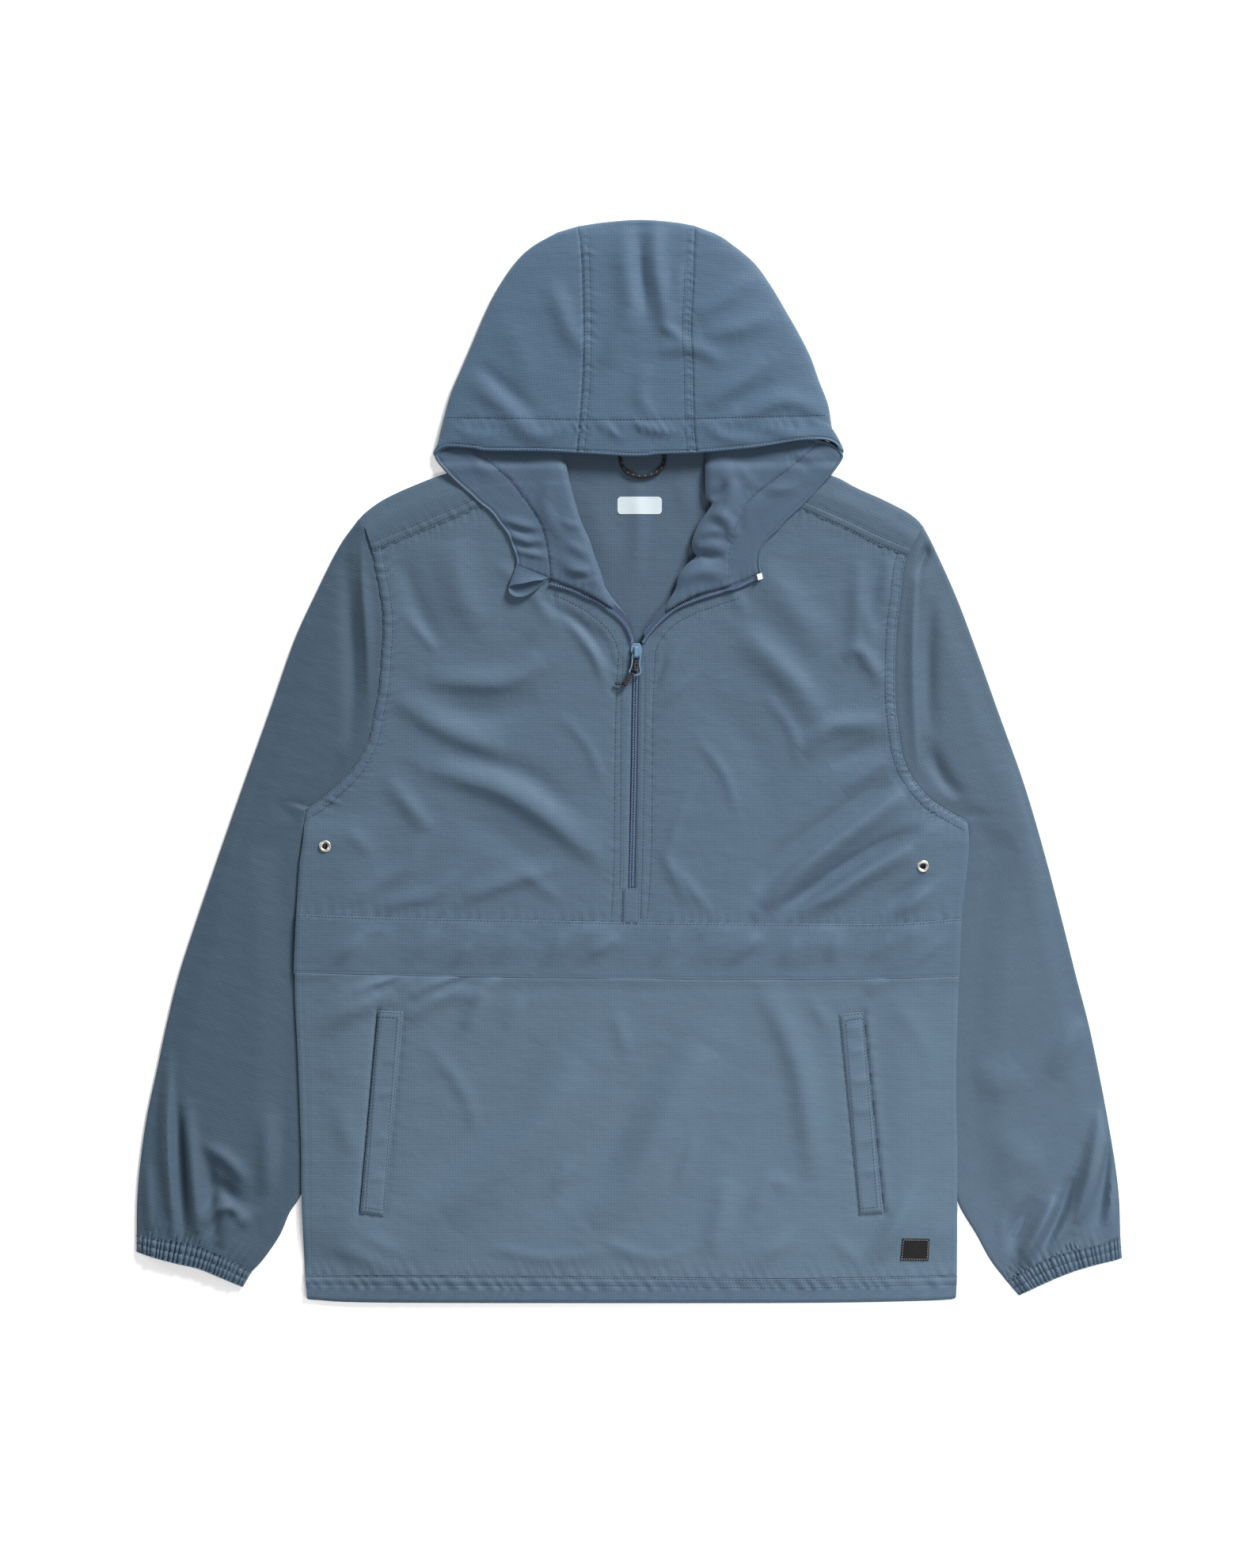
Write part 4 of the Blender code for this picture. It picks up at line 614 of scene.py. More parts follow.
SLEEVE_CREASES = [
    (2.6, 5, [(-408, -262), (-408, -340), (-402, -419)]), (-1.6, 5, [(-401, -300), (-394, -419)]),
    (2.4, 5.5, [(-391, -306), (-386, -360), (-381, -421)]), (-1.6, 6, [(-372, -350), (-366, -425)]),
    (2.4, 6, [(-378, -412), (-366, -398), (-352, -394), (-340, -408)], 0.2),
    (1.6, 6, [(-364, -430), (-350, -410), (-332, -402)]), (1.8, 9, [(-320, -310), (-320, -386)]),
    (-2.0, 7, [(-368, -372), (-356, -380), (-346, -398)]),
    (1.8, 6, [(-376, -340), (-356, -352), (-338, -372)]), (1.2, 5, [(-428, -350), (-424, -418)]),
    (1.0, 5, [(-318, -430), (-302, -404)]),
    (2.0, 6, [(-236, 206), (-235, 150), (-231, 98), (-229, 30)], 0.4),
    (-1.8, 8, [(-250, 186), (-246, 120), (-243, 60), (-246, 10)]),
    (0.8, 10, [(-330, 20), (-352, -60), (-372, -150)]),
    (0.9, 7, [(-336, -404), (-310, -392), (-300, -378)]), (4.6, 7, [(419, -306), (408, -360), (394, -412)]),
    (-1.6, 5, [(428, -322), (412, -414)]), (2.4, 5, [(432, -345), (423, -414)]),
    (4.4, 7, [(378, -384), (364, -410), (346, -442)], 0.1),
    (-2.8, 6, [(394, -366), (380, -400), (366, -432)]), (1.6, 5, [(390, -396), (378, -420), (368, -434)]),
    (-2.2, 8, [(360, -384), (344, -412), (332, -440)]), (1.2, 15, [(306, -262), (326, -284), (346, -270)]),
    (1.2, 15, [(330, -330), (348, -352), (368, -350)]), (1.2, 6, [(330, -404), (322, -440)]),
    (1.0, 5, [(312, -400), (306, -418)]),
    (1.9, 6, [(256, 204), (251, 150), (250, 90), (252, 20), (256, -20)], -0.4),
    (-1.6, 8, [(268, 150), (264, 90), (266, 20)]), (-2.0, 5, [(266, 192), (258, 178), (250, 160)]),
    (1.8, 10, [(404, -228), (388, -250), (372, -280)]), (-2.2, 8, [(264, 14), (276, -14), (294, -34)]),
    (-1.6, 7, [(-250, 6), (-262, -14), (-278, -32)]), (0.8, 10, [(330, 10), (352, -70), (368, -150)]),
]
LAPEL_CREASES = [
    (1.2, 6, [(-160, 266), (-136, 262), (-118, 252)]), (1.0, 5, [(-146, 278), (-130, 262)]),
    (1.5, 4, [(-112, 214), (-94, 208), (-80, 206)], 0.3), (-0.9, 3, [(-108, 207), (-96, 202), (-82, 200)]),
    (1.6, 4, [(-106, 200), (-90, 194), (-76, 196)], 0.3), (-0.9, 3, [(-104, 193), (-90, 188), (-76, 189)]),
    (1.3, 4, [(-102, 187), (-86, 183), (-72, 180)], 0.3), (0.9, 4, [(-60, 214), (-50, 208), (-42, 212)]),
    (1.1, 4, [(-58, 170), (-44, 168), (-34, 172)]), (-0.8, 3, [(-52, 163), (-38, 162), (-28, 166)]),
    (1.4, 7, [(-70, 250), (-74, 222), (-60, 196)]), (1.2, 6, [(-64, 180), (-44, 168), (-26, 158)]),
    (1.2, 5, [(-56, 192), (-44, 186), (-36, 180)]), (1.2, 6, [(176, 266), (150, 268), (128, 262)]),
    (2.0, 8, [(84, 264), (90, 234), (78, 206)]), (2.6, 6, [(72, 222), (86, 212), (94, 196)]),
    (-2.2, 4, [(70, 230), (80, 238), (86, 248)]), (2.2, 5, [(62, 198), (72, 203), (84, 202)]),
    (-2.0, 4, [(60, 185), (72, 180), (84, 182)]), (1.0, 5, [(96, 262), (104, 250), (112, 244)]),
    (-0.8, 4, [(140, 270), (154, 262), (162, 256)]), (2.0, 6, [(56, 186), (72, 191), (84, 186)]),
    (1.8, 6, [(46, 160), (62, 167), (84, 165)]), (1.0, 6, [(118, 236), (106, 222), (100, 204)]),
    (1.0, 5, [(150, 246), (136, 240), (122, 240)]),
]
print(sum(map(len, (CHEST_CREASES, POUCH_CREASES, BAND_CREASES, HOOD_CREASES, SLEEVE_CREASES,
                    LAPEL_CREASES))), "creases")

# %% [markdown]
# ## How high each layer lies
#
# The garment is a stack: sleeves on the table, the back's edges on the sleeves, the fronts and the pouch on
# the back, then the flap, the welts and the turned-out lapels. Each layer's height is the one below it plus
# a little air, so the shells never cut each other.

# %% Heights of the layers, in mm, for arrays of places
CHEST_FOLDS = 1.6                 # what each table's heights are multiplied by
POUCH_FOLDS = 2.0
BAND_FOLDS = 2.9
HOOD_FOLDS = 1.5
SLEEVE_FOLDS = 2.3
LAPEL_FOLDS = 1.4
SLEEVE_INSIDE = 74                # how far in from the side edges a sleeve still lies below,
INWARDS = 60                      # and how far in the chest and the pouch take to reach their full height
HOOD_RISE = ([272, 300, 400, 450, 466, 474], [12.0, 13.0, 11.5, 9.0, 7.2, 5.2])      # y, height


def side_distance(x, y):
    """How far a place lies inside the body's side edge."""
    left, right = (np.interp(y, [p[1] for p in side], [p[0] for p in side])
                   for side in (SIDE_LEFT, SIDE_RIGHT))
    return np.where(x < 0, x - left, right - x)


def raised(x, y, reach=0.0):
    """The body's side edges rise over the sleeves that they lie on. Upper layers rise a little further in."""
    shoulder = ease((LIFT_TOP + reach - y) / 32)
    hem = ease((y - LIFT_BOTTOM + reach) / 38)
    return BODY_LIFT * shoulder * hem * ease((SLEEVE_INSIDE + reach - side_distance(x, y)) / 46)


def over_back(x, y, air, inside):
    """The height of a piece that lies on the back with air below it, and close at its sides."""
    return raised(x, y, 8) + 1 + LAYER + np.maximum(SIDE_AIR, SIDE_AIR + (air - SIDE_AIR) * inside)


def front_height(x, y):
    """The chest: held down along the zip and the band's seam, loose in between."""
    inside = np.maximum(ease(side_distance(x, y) / INWARDS), 0.75 * ease((y + 60) / 60))
    loose = ease((abs(x - 4) - 12) / 24)
    off_seam = ease((y + 149) / 30)
    folds = (CHEST_FOLDS * creases(x, y, CHEST_CREASES) * loose * (0.3 + 0.7 * off_seam)
             * (0.35 + 0.65 * inside))
    return over_back(x, y, PLACKET_AIR + (CHEST_AIR - PLACKET_AIR) * loose + folds, inside)


def pouch_height(x, y):
    """The pouch: held down under the band and along the hem."""
    inside = ease(side_distance(x, y) / INWARDS)
    off_band = ease((-188 - y) / 26)
    off_hem = ease((y + 456) / 30)
    folds = POUCH_FOLDS * creases(x, y, POUCH_CREASES) * ease((-184 - y) / 14)
    folds *= (0.3 + 0.7 * off_hem) * (0.35 + 0.65 * inside)
    return over_back(x, y, PLACKET_AIR + (CHEST_AIR - PLACKET_AIR) * off_band * off_hem + folds, inside)


def yoke_height(x, y):
    """A yoke comes down on the back at the shoulder."""
    left, right = (np.interp(x, [p[0] for p in side], [p[1] for p in side])
                   for side in (SHOULDER_LEFT, SHOULDER_RIGHT[::-1]))
    edge = np.where(x < 0, left, right)
    low = 1 + LAYER + SIDE_AIR
    return low + (front_height(x, y) - low) * ease((edge - y) / 22)


def flap_height(x, y):
    """The flap's lower edge lies close on the pouch, so it casts hardly any shadow."""
    under = np.maximum(front_height(x, np.maximum(y, -147)), pouch_height(x, np.minimum(y, -153)))
    close = ease((-160 - y) / 28)
    folds = BAND_FOLDS * creases(x, y, BAND_CREASES) * ease((-140 - y) / 12) * (1 - close)
    return np.maximum(under + LAYER + 0.2 - 0.8 * close + folds, under + CLOTH + 0.15)


def hem_height(x, y):
    return 1 + LAYER + (pouch_height(x, y) - 1 - LAYER) * ease((y + 490) / 45) + 1.0 * ease((-455 - y) / 3)


def hood_height(x, y):
    return np.interp(y, *HOOD_RISE) + HOOD_FOLDS * creases(x, y, HOOD_CREASES)


print("the chest lies", round(float(front_height(np.array([100.0]), np.array([60.0]))[0]), 1), "mm high")

# %% [markdown]
# ## Materials
#
# The cloth is a plain weave with a heavier thread every 2.6 mm each way, which shows as a faint square grid.
# The grid is drawn from the piece's own UV map. It darkens the cloth a little and raises it a little. Four
# noises vary the dye, fleck it, crumple the surface and draw it into faint streaks. The body's panels, the
# sleeves, the hood and the inside of the cloth each get their own tint of the one material, set to how bright
# each piece looks. So the tints hold painted shade and light as well as the cloth's colour: the left sleeve's
# darker tint is painted shade from the body beside it, and the tints that are darker towards the top and
# lighter on the pouch paint in part of the fall of the light.

# %% Node helpers
RIB_PITCH = 0.0026
RIB_HALF = RIB_PITCH * 0.22       # half the width of a heavier thread
RIB_SHADE = 0.1                   # how much darker it is


def linear(value):
    value = value / 255
    return value / 12.92 if value <= 0.04045 else ((value + 0.055) / 1.055) ** 2.4


def colour(red, green, blue):
    return (linear(red), linear(green), linear(blue), 1)


class Tree:
    """A node tree, with a short call to add a node and to set or link its inputs."""

    def __init__(self, tree):
        self.tree = tree

    def add(self, kind, inputs=None, **settings):
        node = self.tree.nodes.new(kind)
        for key, value in settings.items():
            setattr(node, key, value)
        for key, value in (inputs or {}).items():
            self.put(node.inputs[key], value)
        return node

    def put(self, socket, value):
        if isinstance(value, bpy.types.NodeSocket):
            self.tree.links.new(value, socket)
        else:
            socket.default_value = value


class Nodes(Tree):
    """A material's node tree, with short calls for what the looks below need."""

    def __init__(self, name):
        self.material = bpy.data.materials.new(name)
        self.material.use_nodes = True
        super().__init__(self.material.node_tree)
        self.shader = self.tree.nodes["Principled BSDF"]

    def math(self, operation, *values):
        return self.add("ShaderNodeMath", dict(enumerate(values)), operation=operation).outputs[0]

    def noise(self, place, scale, detail=3.0, rough=0.5):
        return self.add("ShaderNodeTexNoise", {"Vector": place, "Scale": scale, "Detail": detail,
                                               "Roughness": rough}).outputs["Fac"]

    def spread(self, value, low, high, new_low, new_high):
        return self.add("ShaderNodeMapRange", {"Value": value, "From Min": low, "From Max": high,
                                               "To Min": new_low, "To Max": new_high}).outputs[0]

    def bump(self, height, distance, strength=1.0, under=None):
        inputs = {"Height": height, "Distance": distance, "Strength": strength}
        if under is not None:
            inputs["Normal"] = under
        return self.add("ShaderNodeBump", inputs).outputs[0]

    def shade(self, base, factor):
        """A colour made darker or lighter by a factor."""
        return self.add("ShaderNodeVectorMath", {0: base, "Scale": factor}, operation="SCALE").outputs[0]


# %% Ripstop cloth
def ripstop(name, red, green, blue):
    """The cloth in one tint. Its UV map is in metres, so sizes and bump heights here are too."""
    n = Nodes(name)
    uv = n.add("ShaderNodeUVMap", uv_map="cloth").outputs[0]
    split = n.add("ShaderNodeSeparateXYZ", {0: uv})
    ribs = []
    for axis in (0, 1):
        cell = n.math("PINGPONG", split.outputs[axis], RIB_PITCH / 2)
        ribs.append(n.spread(cell, 0.0, RIB_HALF, 1.0, 0.0))
    grid = n.math("MAXIMUM", ribs[0], ribs[1])
    dye = n.noise(uv, 14, 4, 0.6)
    fleck = n.noise(uv, 900, 2, 0.7)
    tone = n.math("ADD", n.spread(dye, 0.3, 0.7, 0.975, 1.02), n.spread(fleck, 0.3, 0.7, -0.05, 0.05))
    tone = n.math("SUBTRACT", tone, n.math("MULTIPLY", grid, RIB_SHADE))
    n.put(n.shader.inputs["Base Color"], n.shade(colour(red, green, blue)[:3], tone))
    crumple = n.noise(uv, 70, 4, 0.55)
    n.put(n.shader.inputs["Roughness"], n.spread(crumple, 0.3, 0.7, 0.62, 0.74))
    pulled = n.add("ShaderNodeMapping", {"Vector": uv, "Rotation": (0, 0, 0.9), "Scale": (1.0, 2.6, 1.0)})
    drawn = n.noise(pulled.outputs[0], 22, 3, 0.5)
    soft = n.bump(crumple, 0.0014, 0.4, n.bump(drawn, 0.004, 0.22))
    weave = n.bump(fleck, 0.0001, 0.5, soft)
    n.put(n.shader.inputs["Normal"], n.bump(grid, 0.00012, 0.6, weave))
    n.shader.inputs["Specular IOR Level"].default_value = 0.35
    n.shader.inputs["Sheen Weight"].default_value = 0.12
    n.shader.inputs["Sheen Roughness"].default_value = 0.4
    return n.material


# Tints per piece, partly painted shade and light: darker towards the top, lighter on the pouch.
BODY_CLOTH = ripstop("ripstop_body", 75, 96, 115)
POUCH_CLOTH = ripstop("ripstop_pouch", 79, 100, 118)
YOKE_CLOTH = ripstop("ripstop_yoke", 70, 91, 109)
# The left sleeve's darker tint is painted shade, cast by the body beside it.
SHADED_SLEEVE_CLOTH = ripstop("ripstop_sleeve_left", 62, 82, 99)
SLEEVE_CLOTH_RIGHT = ripstop("ripstop_sleeve_right", 72, 92, 110)
HOOD_CLOTH = ripstop("ripstop_hood", 72, 96, 118)
LAPEL_CLOTH = ripstop("ripstop_lapel", 68, 89, 110)
INNER_CLOTH = ripstop("ripstop_inside", 70, 90, 109)
CUFF_CLOTH = ripstop("ripstop_cuff", 73, 94, 112)
print("nine tints of ripstop")


# %% [markdown]
# ### Zip, cords, metal and trim
#
# The zip is a shade bluer than the cloth. Its tape is a close weave and its coil is smooth plastic. The
# tape is darker than the cloth, and beside the closed coil that dark tone is partly painted shade. The
# slider is painted a paler blue. The eyelets are bare metal, and the two cords are braided from dark yarn
# with a pale fleck every few millimetres. The cords' colour is darkened between the strands as painted
# shade and lightened a little on their crowns as painted light.

# %% Plain finishes with a fine grain
def finish(name, rgb, roughness, metallic=0.0, grain=600, depth=0.00006, vary=0.06):
    """A colour with a fine grain: its scale, its depth in metres and how much it varies the colour."""
    n = Nodes(name)
    place = n.add("ShaderNodeTexCoord").outputs["Object"]
    fine = n.noise(place, grain, 3, 0.6)
    broad = n.noise(place, 60, 2, 0.5)
    tone = n.math("ADD", n.spread(broad, 0.3, 0.7, 1 - vary, 1 + vary), n.spread(fine, 0.3, 0.7, -vary, vary))
    n.put(n.shader.inputs["Base Color"], n.shade(colour(*rgb)[:3], tone))
    n.put(n.shader.inputs["Roughness"], n.spread(fine, 0.3, 0.7, roughness - 0.06, roughness + 0.06))
    n.put(n.shader.inputs["Normal"], n.bump(fine, depth, 0.5))
    n.shader.inputs["Metallic"].default_value = metallic
    return n.material


# The tape's dark tone is partly painted shade in the gaps beside the closed coil.
TAPE = finish("zip_tape_cloth", (60, 77, 100), 0.85, grain=1400, depth=0.0001, vary=0.08)
COIL = finish("zip_coil_plastic", (90, 112, 142), 0.42, grain=300, depth=0.00002, vary=0.03)
THREAD = finish("thread", (48, 63, 82), 0.7, grain=1500, depth=0.00004, vary=0.1)
PAINT = finish("slider_paint", (104, 133, 158), 0.34, grain=900, depth=0.00002, vary=0.04)
NICKEL = finish("eyelet_nickel", (214, 207, 198), 0.45, 1.0, grain=500, depth=0.00002, vary=0.03)
STOP = finish("end_stop_plastic", (228, 230, 232), 0.35, grain=500, depth=0.00002, vary=0.02)
PATCH = finish("patch_cloth", (6, 6, 8), 0.9, grain=1600, depth=0.0001, vary=0.15)
PATCH_THREAD = finish("patch_thread", (128, 131, 136), 0.7, grain=1500, depth=0.00004, vary=0.1)
PRINT = finish("neck_print", (196, 208, 214), 0.6, grain=1200, depth=0.00002, vary=0.03)
FLOOR = finish("floor", (250, 250, 250), 0.9, grain=40, depth=0.0, vary=0.0)
FLOOR_SHADER = FLOOR.node_tree.nodes["Principled BSDF"]
FLOOR_SHADER.inputs["Emission Color"].default_value = (1, 1, 1, 1)
FLOOR_SHADER.inputs["Emission Strength"].default_value = 0.25      # a light table for the white ground


# %% Braided cord with pale flecks
def braid(name, dark, pale, pitch, share):
    """The UV map runs round the cord in u and along it in v, in cord lengths."""
    n = Nodes(name)
    uv = n.add("ShaderNodeUVMap", uv_map="cord").outputs[0]
    split = n.add("ShaderNodeSeparateXYZ", {0: uv})
    length = n.math("MULTIPLY", split.outputs[1], 2 * math.pi / pitch * 3)
    round_it = n.math("MULTIPLY", split.outputs[0], 2 * math.pi * 2)
    yarn = n.math("MAXIMUM", n.math("SINE", n.math("ADD", length, round_it)),
                  n.math("SINE", n.math("SUBTRACT", length, round_it)))
    along = n.math("PINGPONG", split.outputs[1], pitch / 2)
    across = n.math("PINGPONG", n.math("ADD", split.outputs[0], 0.1), 0.25)
    fleck = n.math("MULTIPLY", n.math("LESS_THAN", along, pitch * share),
                   n.math("GREATER_THAN", across, 0.12))
    mix = n.add("ShaderNodeMix", data_type="RGBA")
    n.put(mix.inputs["Factor"], fleck)
    n.put(mix.inputs[6], colour(*dark))
    n.put(mix.inputs[7], colour(*pale))
    # The yarn's relief also darkens the colour between the strands as painted shade and lightens it a little
    # on their crowns as painted light.
    n.put(n.shader.inputs["Base Color"], n.shade(mix.outputs[2], n.spread(yarn, -0.5, 1, 0.5, 1.15)))
    n.put(n.shader.inputs["Normal"], n.bump(yarn, 0.0003, 0.8))
    n.shader.inputs["Roughness"].default_value = 0.8
    return n.material


LOOP_CORD = braid("hang_loop_cord", (27, 27, 30), (112, 100, 92), 0.0055, 0.1)
PULL_CORD = braid("pull_cord", (34, 29, 28), (98, 86, 78), 0.0030, 0.14)
print(len(bpy.data.materials), "materials")

# %% [markdown]
# ## The back and its hem
#
# The back is one piece, from the hem seam to the neck seam. Nearly all of it is hidden, but its inside shows
# in the open neck, so it gets the darker tint of the cloth's inside, which is partly painted shade, a few
# creases of its own and closer points there.

# %% Back and back hem
NECK_CREASES = [
    (1.3, 7, [(6, 250), (8, 205), (4, 160)]), (-1.0, 10, [(34, 252), (30, 205), (22, 160)]),
    (1.3, 12, [(-36, 240), (-28, 205), (-14, 170)]), (1.0, 8, [(50, 256), (46, 236), (58, 222)]),
]
NECK_EDGE = [(-100, 265), (-82, 270), (-60, 275), (4, 277), (62, 276), (88, 270.5), (106, 265.5)]


def back_height(x, y):
    in_neck = ease((y - 120) / 40) * ease((262 - y) / 30)
    return raised(x, y) + 1 + np.maximum(-0.2, creases(x, y, NECK_CREASES)) * in_neck


arm_left = joined(smooth(ARMHOLE_LEFT), smooth(YOKE_END_LEFT))
arm_right = joined(smooth(ARMHOLE_RIGHT), smooth(YOKE_END_RIGHT))
shoulders = joined(smooth(SHOULDER_LEFT), smooth(NECK_EDGE), smooth(SHOULDER_RIGHT)[::-1])
side_left = joined(smooth(SIDE_LEFT), arm_left)
side_right = joined(smooth(SIDE_RIGHT), arm_right)
steps = np.linspace(0, 1, 90)
columns = steps + 0.6 / (2 * math.pi) * np.sin(2 * math.pi * steps)      # closer in the middle
rows = np.linspace(0, 1, 100) ** 0.75                                    # and towards the neck
back_plan = patch(at_shares(smooth(HEM_SEAM), columns), at_shares(shoulders, columns),
                  at_shares(side_left, rows), at_shares(side_right, rows))
piece("back_cloth", at_height(back_plan, back_height(*xy(back_plan))), INNER_CLOTH, (), "back_panel",
      thickness=1.0)


def hem_plan(columns, rows, over=-0.3):
    """The hem strip's plan; over says how far its upper border is moved up from the seam."""
    lower = even(HEM_EDGE, columns)
    upper = moved(even(HEM_SEAM, columns), over)
    return patch(lower, upper, along(straight(lower[0], upper[0]), rows),
                 along(straight(lower[-1], upper[-1]), rows))


plan = hem_plan(120, 6)
piece("hem_back_cloth", at_height(plan, np.full(plan.shape[:2], 1.0)), INNER_CLOTH, (), thickness=1.0)

# %% [markdown]
# ## Folds and free edges
#
# A pressed tube turns round at its fold in a half circle about a millimetre across. A free edge is hemmed,
# so it is rounded over too. Both are drawn as a quarter circle in the height near the line.

# %% Rounded edges
ROLL = np.array([0.0, 0.35, 0.9, 1.7, 2.7, 4.0])      # steps in from a fold, in mm


def round_fold(gap, top, edge=EDGE):
    """Height of a layer at a distance from the fold that it turns at."""
    share = np.clip(gap / ROLL[-1], 0, 1)
    return edge + (top - edge) * np.sqrt(1 - (1 - share) ** 2)


BEAD = np.array([0.0, 0.45, 0.9, 1.4, 2.0, 2.7, 3.5, 4.6])      # close steps beside a free edge, in mm


def close_first(length, count):
    """Shares of a length that begin with the close steps of a free edge."""
    return np.concatenate([BEAD / length, np.linspace(6 / length, 1, count)])


def away_from(x, y, line, span=8.0):
    """Distance from a dense line, and 99 beyond its span."""
    result = np.full(x.shape, 99.0)
    mask, away = near_line(x, y, line, span)[:2]
    result[mask] = away
    return result


def turned_down(x, y, z, line, drop, radius):
    """Round a shell's edge over along a line."""
    share = np.clip(away_from(x, y, line, radius + 3) / radius, 0, 1)
    return z - drop * (1 - np.sqrt(1 - (1 - share) ** 2))


# %% [markdown]
# ## Sleeves
#
# A sleeve is a tube pressed flat: an upper layer, a fold along its outer edge, a layer on the table, and a
# second fold from the underarm down. Its rows run square to the arm, and the last ones bend to the cuff's
# seam. The body lies on its inner edge, so it stays low there and rises to full height further out.

# %% Sleeves
SLEEVE_GRAIN = 17                 # degrees by which the arm's threads are turned from the body's


def sleeve(side, armhole, outer, inner, seam, sign, look):
    """Each row starts at a point of the near line, which is the armhole and then the inner fold, and ends
    at the far line, the outer fold. Only the rows on the inner fold are closed to a tube."""
    arm = moved(along(armhole[::-1], 100), -sign * 0.5)
    near = joined(arm, even(inner, count_for(run_of(smooth(inner))[-1])))
    near[0] += (near[1] - near[0]) * 0.2
    closed_from = len(arm) - 1
    outline = smooth(outer)
    slope = np.array([sign * 0.3, -1.0])      # down the arm
    far = np.array([[np.interp(0, (outline - place) @ slope, outline[:, axis]) for axis in (0, 1)]
                    for place in near])
    far[-1] = outer[-1]
    widths = np.linalg.norm(far - near, axis=1)
    middle = count_for(widths.max()) - 8
    turns = ROLL[None] * np.minimum(1.0, widths / 14)[:, None]      # a narrow row turns more sharply
    share = np.linspace(0, 1, middle + 2)[1:-1]
    inside = turns[:, -1:] + (widths[:, None] - 2 * turns[:, -1:]) * share
    from_near = np.hstack([turns, inside, widths[:, None] - turns[:, ::-1]])
    low = 1.5 * turns[:, -1:] + (widths[:, None] - 3 * turns[:, -1:]) * np.linspace(1, 0, 12)
    from_near_low = np.hstack([widths[:, None] - turns[:, 1:], low, turns[:, :0:-1]])
    ends = smooth(seam)[::-1]
    runs = run_of(ends) / run_of(ends)[-1]

    def placed(distance):
        """Places at distances in from the near line, the last rows bent to the cuff's seam."""
        shares = distance / widths[:, None]
        x = near[:, :1] + (far[:, :1] - near[:, :1]) * shares
        y = near[:, 1:] + (far[:, 1:] - near[:, 1:]) * shares
        target_x = np.interp(shares, runs, ends[:, 0])
        target_y = np.interp(shares, runs, ends[:, 1])
        weight = ease(1 - abs(y - target_y) / 70)
        return (x + (target_x - near[-1, 0] - (far[-1, 0] - near[-1, 0]) * shares) * weight,
                y + (target_y - near[-1, 1] - (far[-1, 1] - near[-1, 1]) * shares) * weight)

    x, y = placed(from_near)
    from_far = widths[:, None] - from_near
    # the body lies on the sleeve from the underarm to the hem, and the sleeve stays low there
    beneath = ease((LIFT_TOP - 2 - y) / 30) * ease((y - LIFT_BOTTOM + 2) / 40)
    under_arm = ease((LIFT_TOP + 18 - y) / 30)
    near_rise = np.maximum(1 - under_arm, ease((from_near - 22 * beneath) / 34))
    rise = np.minimum(ease(from_far / 26), near_rise)
    soft = ease(from_far / 9)
    free = np.where(y > -40, 1.0, ease((from_near - 12) / 20))
    # creases and puckers: those of the cuff's gathers, then those of the armhole
    seed = 5 if sign < 0 else 8
    z = SLEEVE_FLAT + SLEEVE_RISE * rise + SLEEVE_FOLDS * creases(x, y, SLEEVE_CREASES) * soft * free
    z += puckers(x, y, ends, 1.3, 4.6, 14, slant=0.1, seed=seed) * soft
    z += puckers(x, y, armhole, 0.4, 5.5, 4.5, slant=0.3, seed=seed + 1) * soft
    # at the armhole the sleeve meets the chest, and its folds turn round to the lower layer
    open_rows = (np.arange(len(near)) < closed_from)[:, None]
    seam_height = front_height(x, y) - 0.75
    met = seam_height + (z - seam_height) * ease(from_near / 26) - 0.5 * np.exp(-(from_near / 2.0) ** 2)
    z = np.where(open_rows, met, z)
    z = round_fold(from_far, z)
    closing = ease((np.arange(len(near)) - closed_from) / 5)[:, None]
    z = z + (round_fold(from_near, z) - z) * closing
    upper = np.dstack([x, y, z])
    x, y = placed(from_near_low)
    z = round_fold(widths[:, None] - from_near_low, 0.0)
    z = np.where((from_near_low < widths[:, None] / 2) & ~open_rows, round_fold(from_near_low, 0.0), z)
    points = np.concatenate([upper, np.dstack([x, y, z])], axis=1)
    kept = np.ones((points.shape[0] - 1, points.shape[1]), dtype=bool)
    kept[:closed_from, -1] = False
    piece("sleeve_" + side + "_cloth", points, look, (), ring=True, kept=kept, grain=sign * SLEEVE_GRAIN)


# The left sleeve takes the darker tint, which is painted shade from the body.
sleeve("left", arm_left, SLEEVE_OUTER_LEFT, SLEEVE_INNER_LEFT, CUFF_SEAM_LEFT, -1, SHADED_SLEEVE_CLOTH)
sleeve("right", arm_right, SLEEVE_OUTER_RIGHT, SLEEVE_INNER_RIGHT, CUFF_SEAM_RIGHT, 1, SLEEVE_CLOTH_RIGHT)

# %% [markdown]
# ## Cuffs
#
# An elastic runs inside each cuff and gathers it, so its face is a row of soft ribs. They are not even: each
# has its own width and height, and the rows of stitches pull them down where they cross.

# %% Cuffs
GATHERS = 25                      # ribs across a cuff
CUFF_STITCHES = (0.1, 0.5, 0.9)   # where the rows of stitches lie, in shares of its height
CUFF_COLUMNS = 200
CUFF_GRAIN = 20


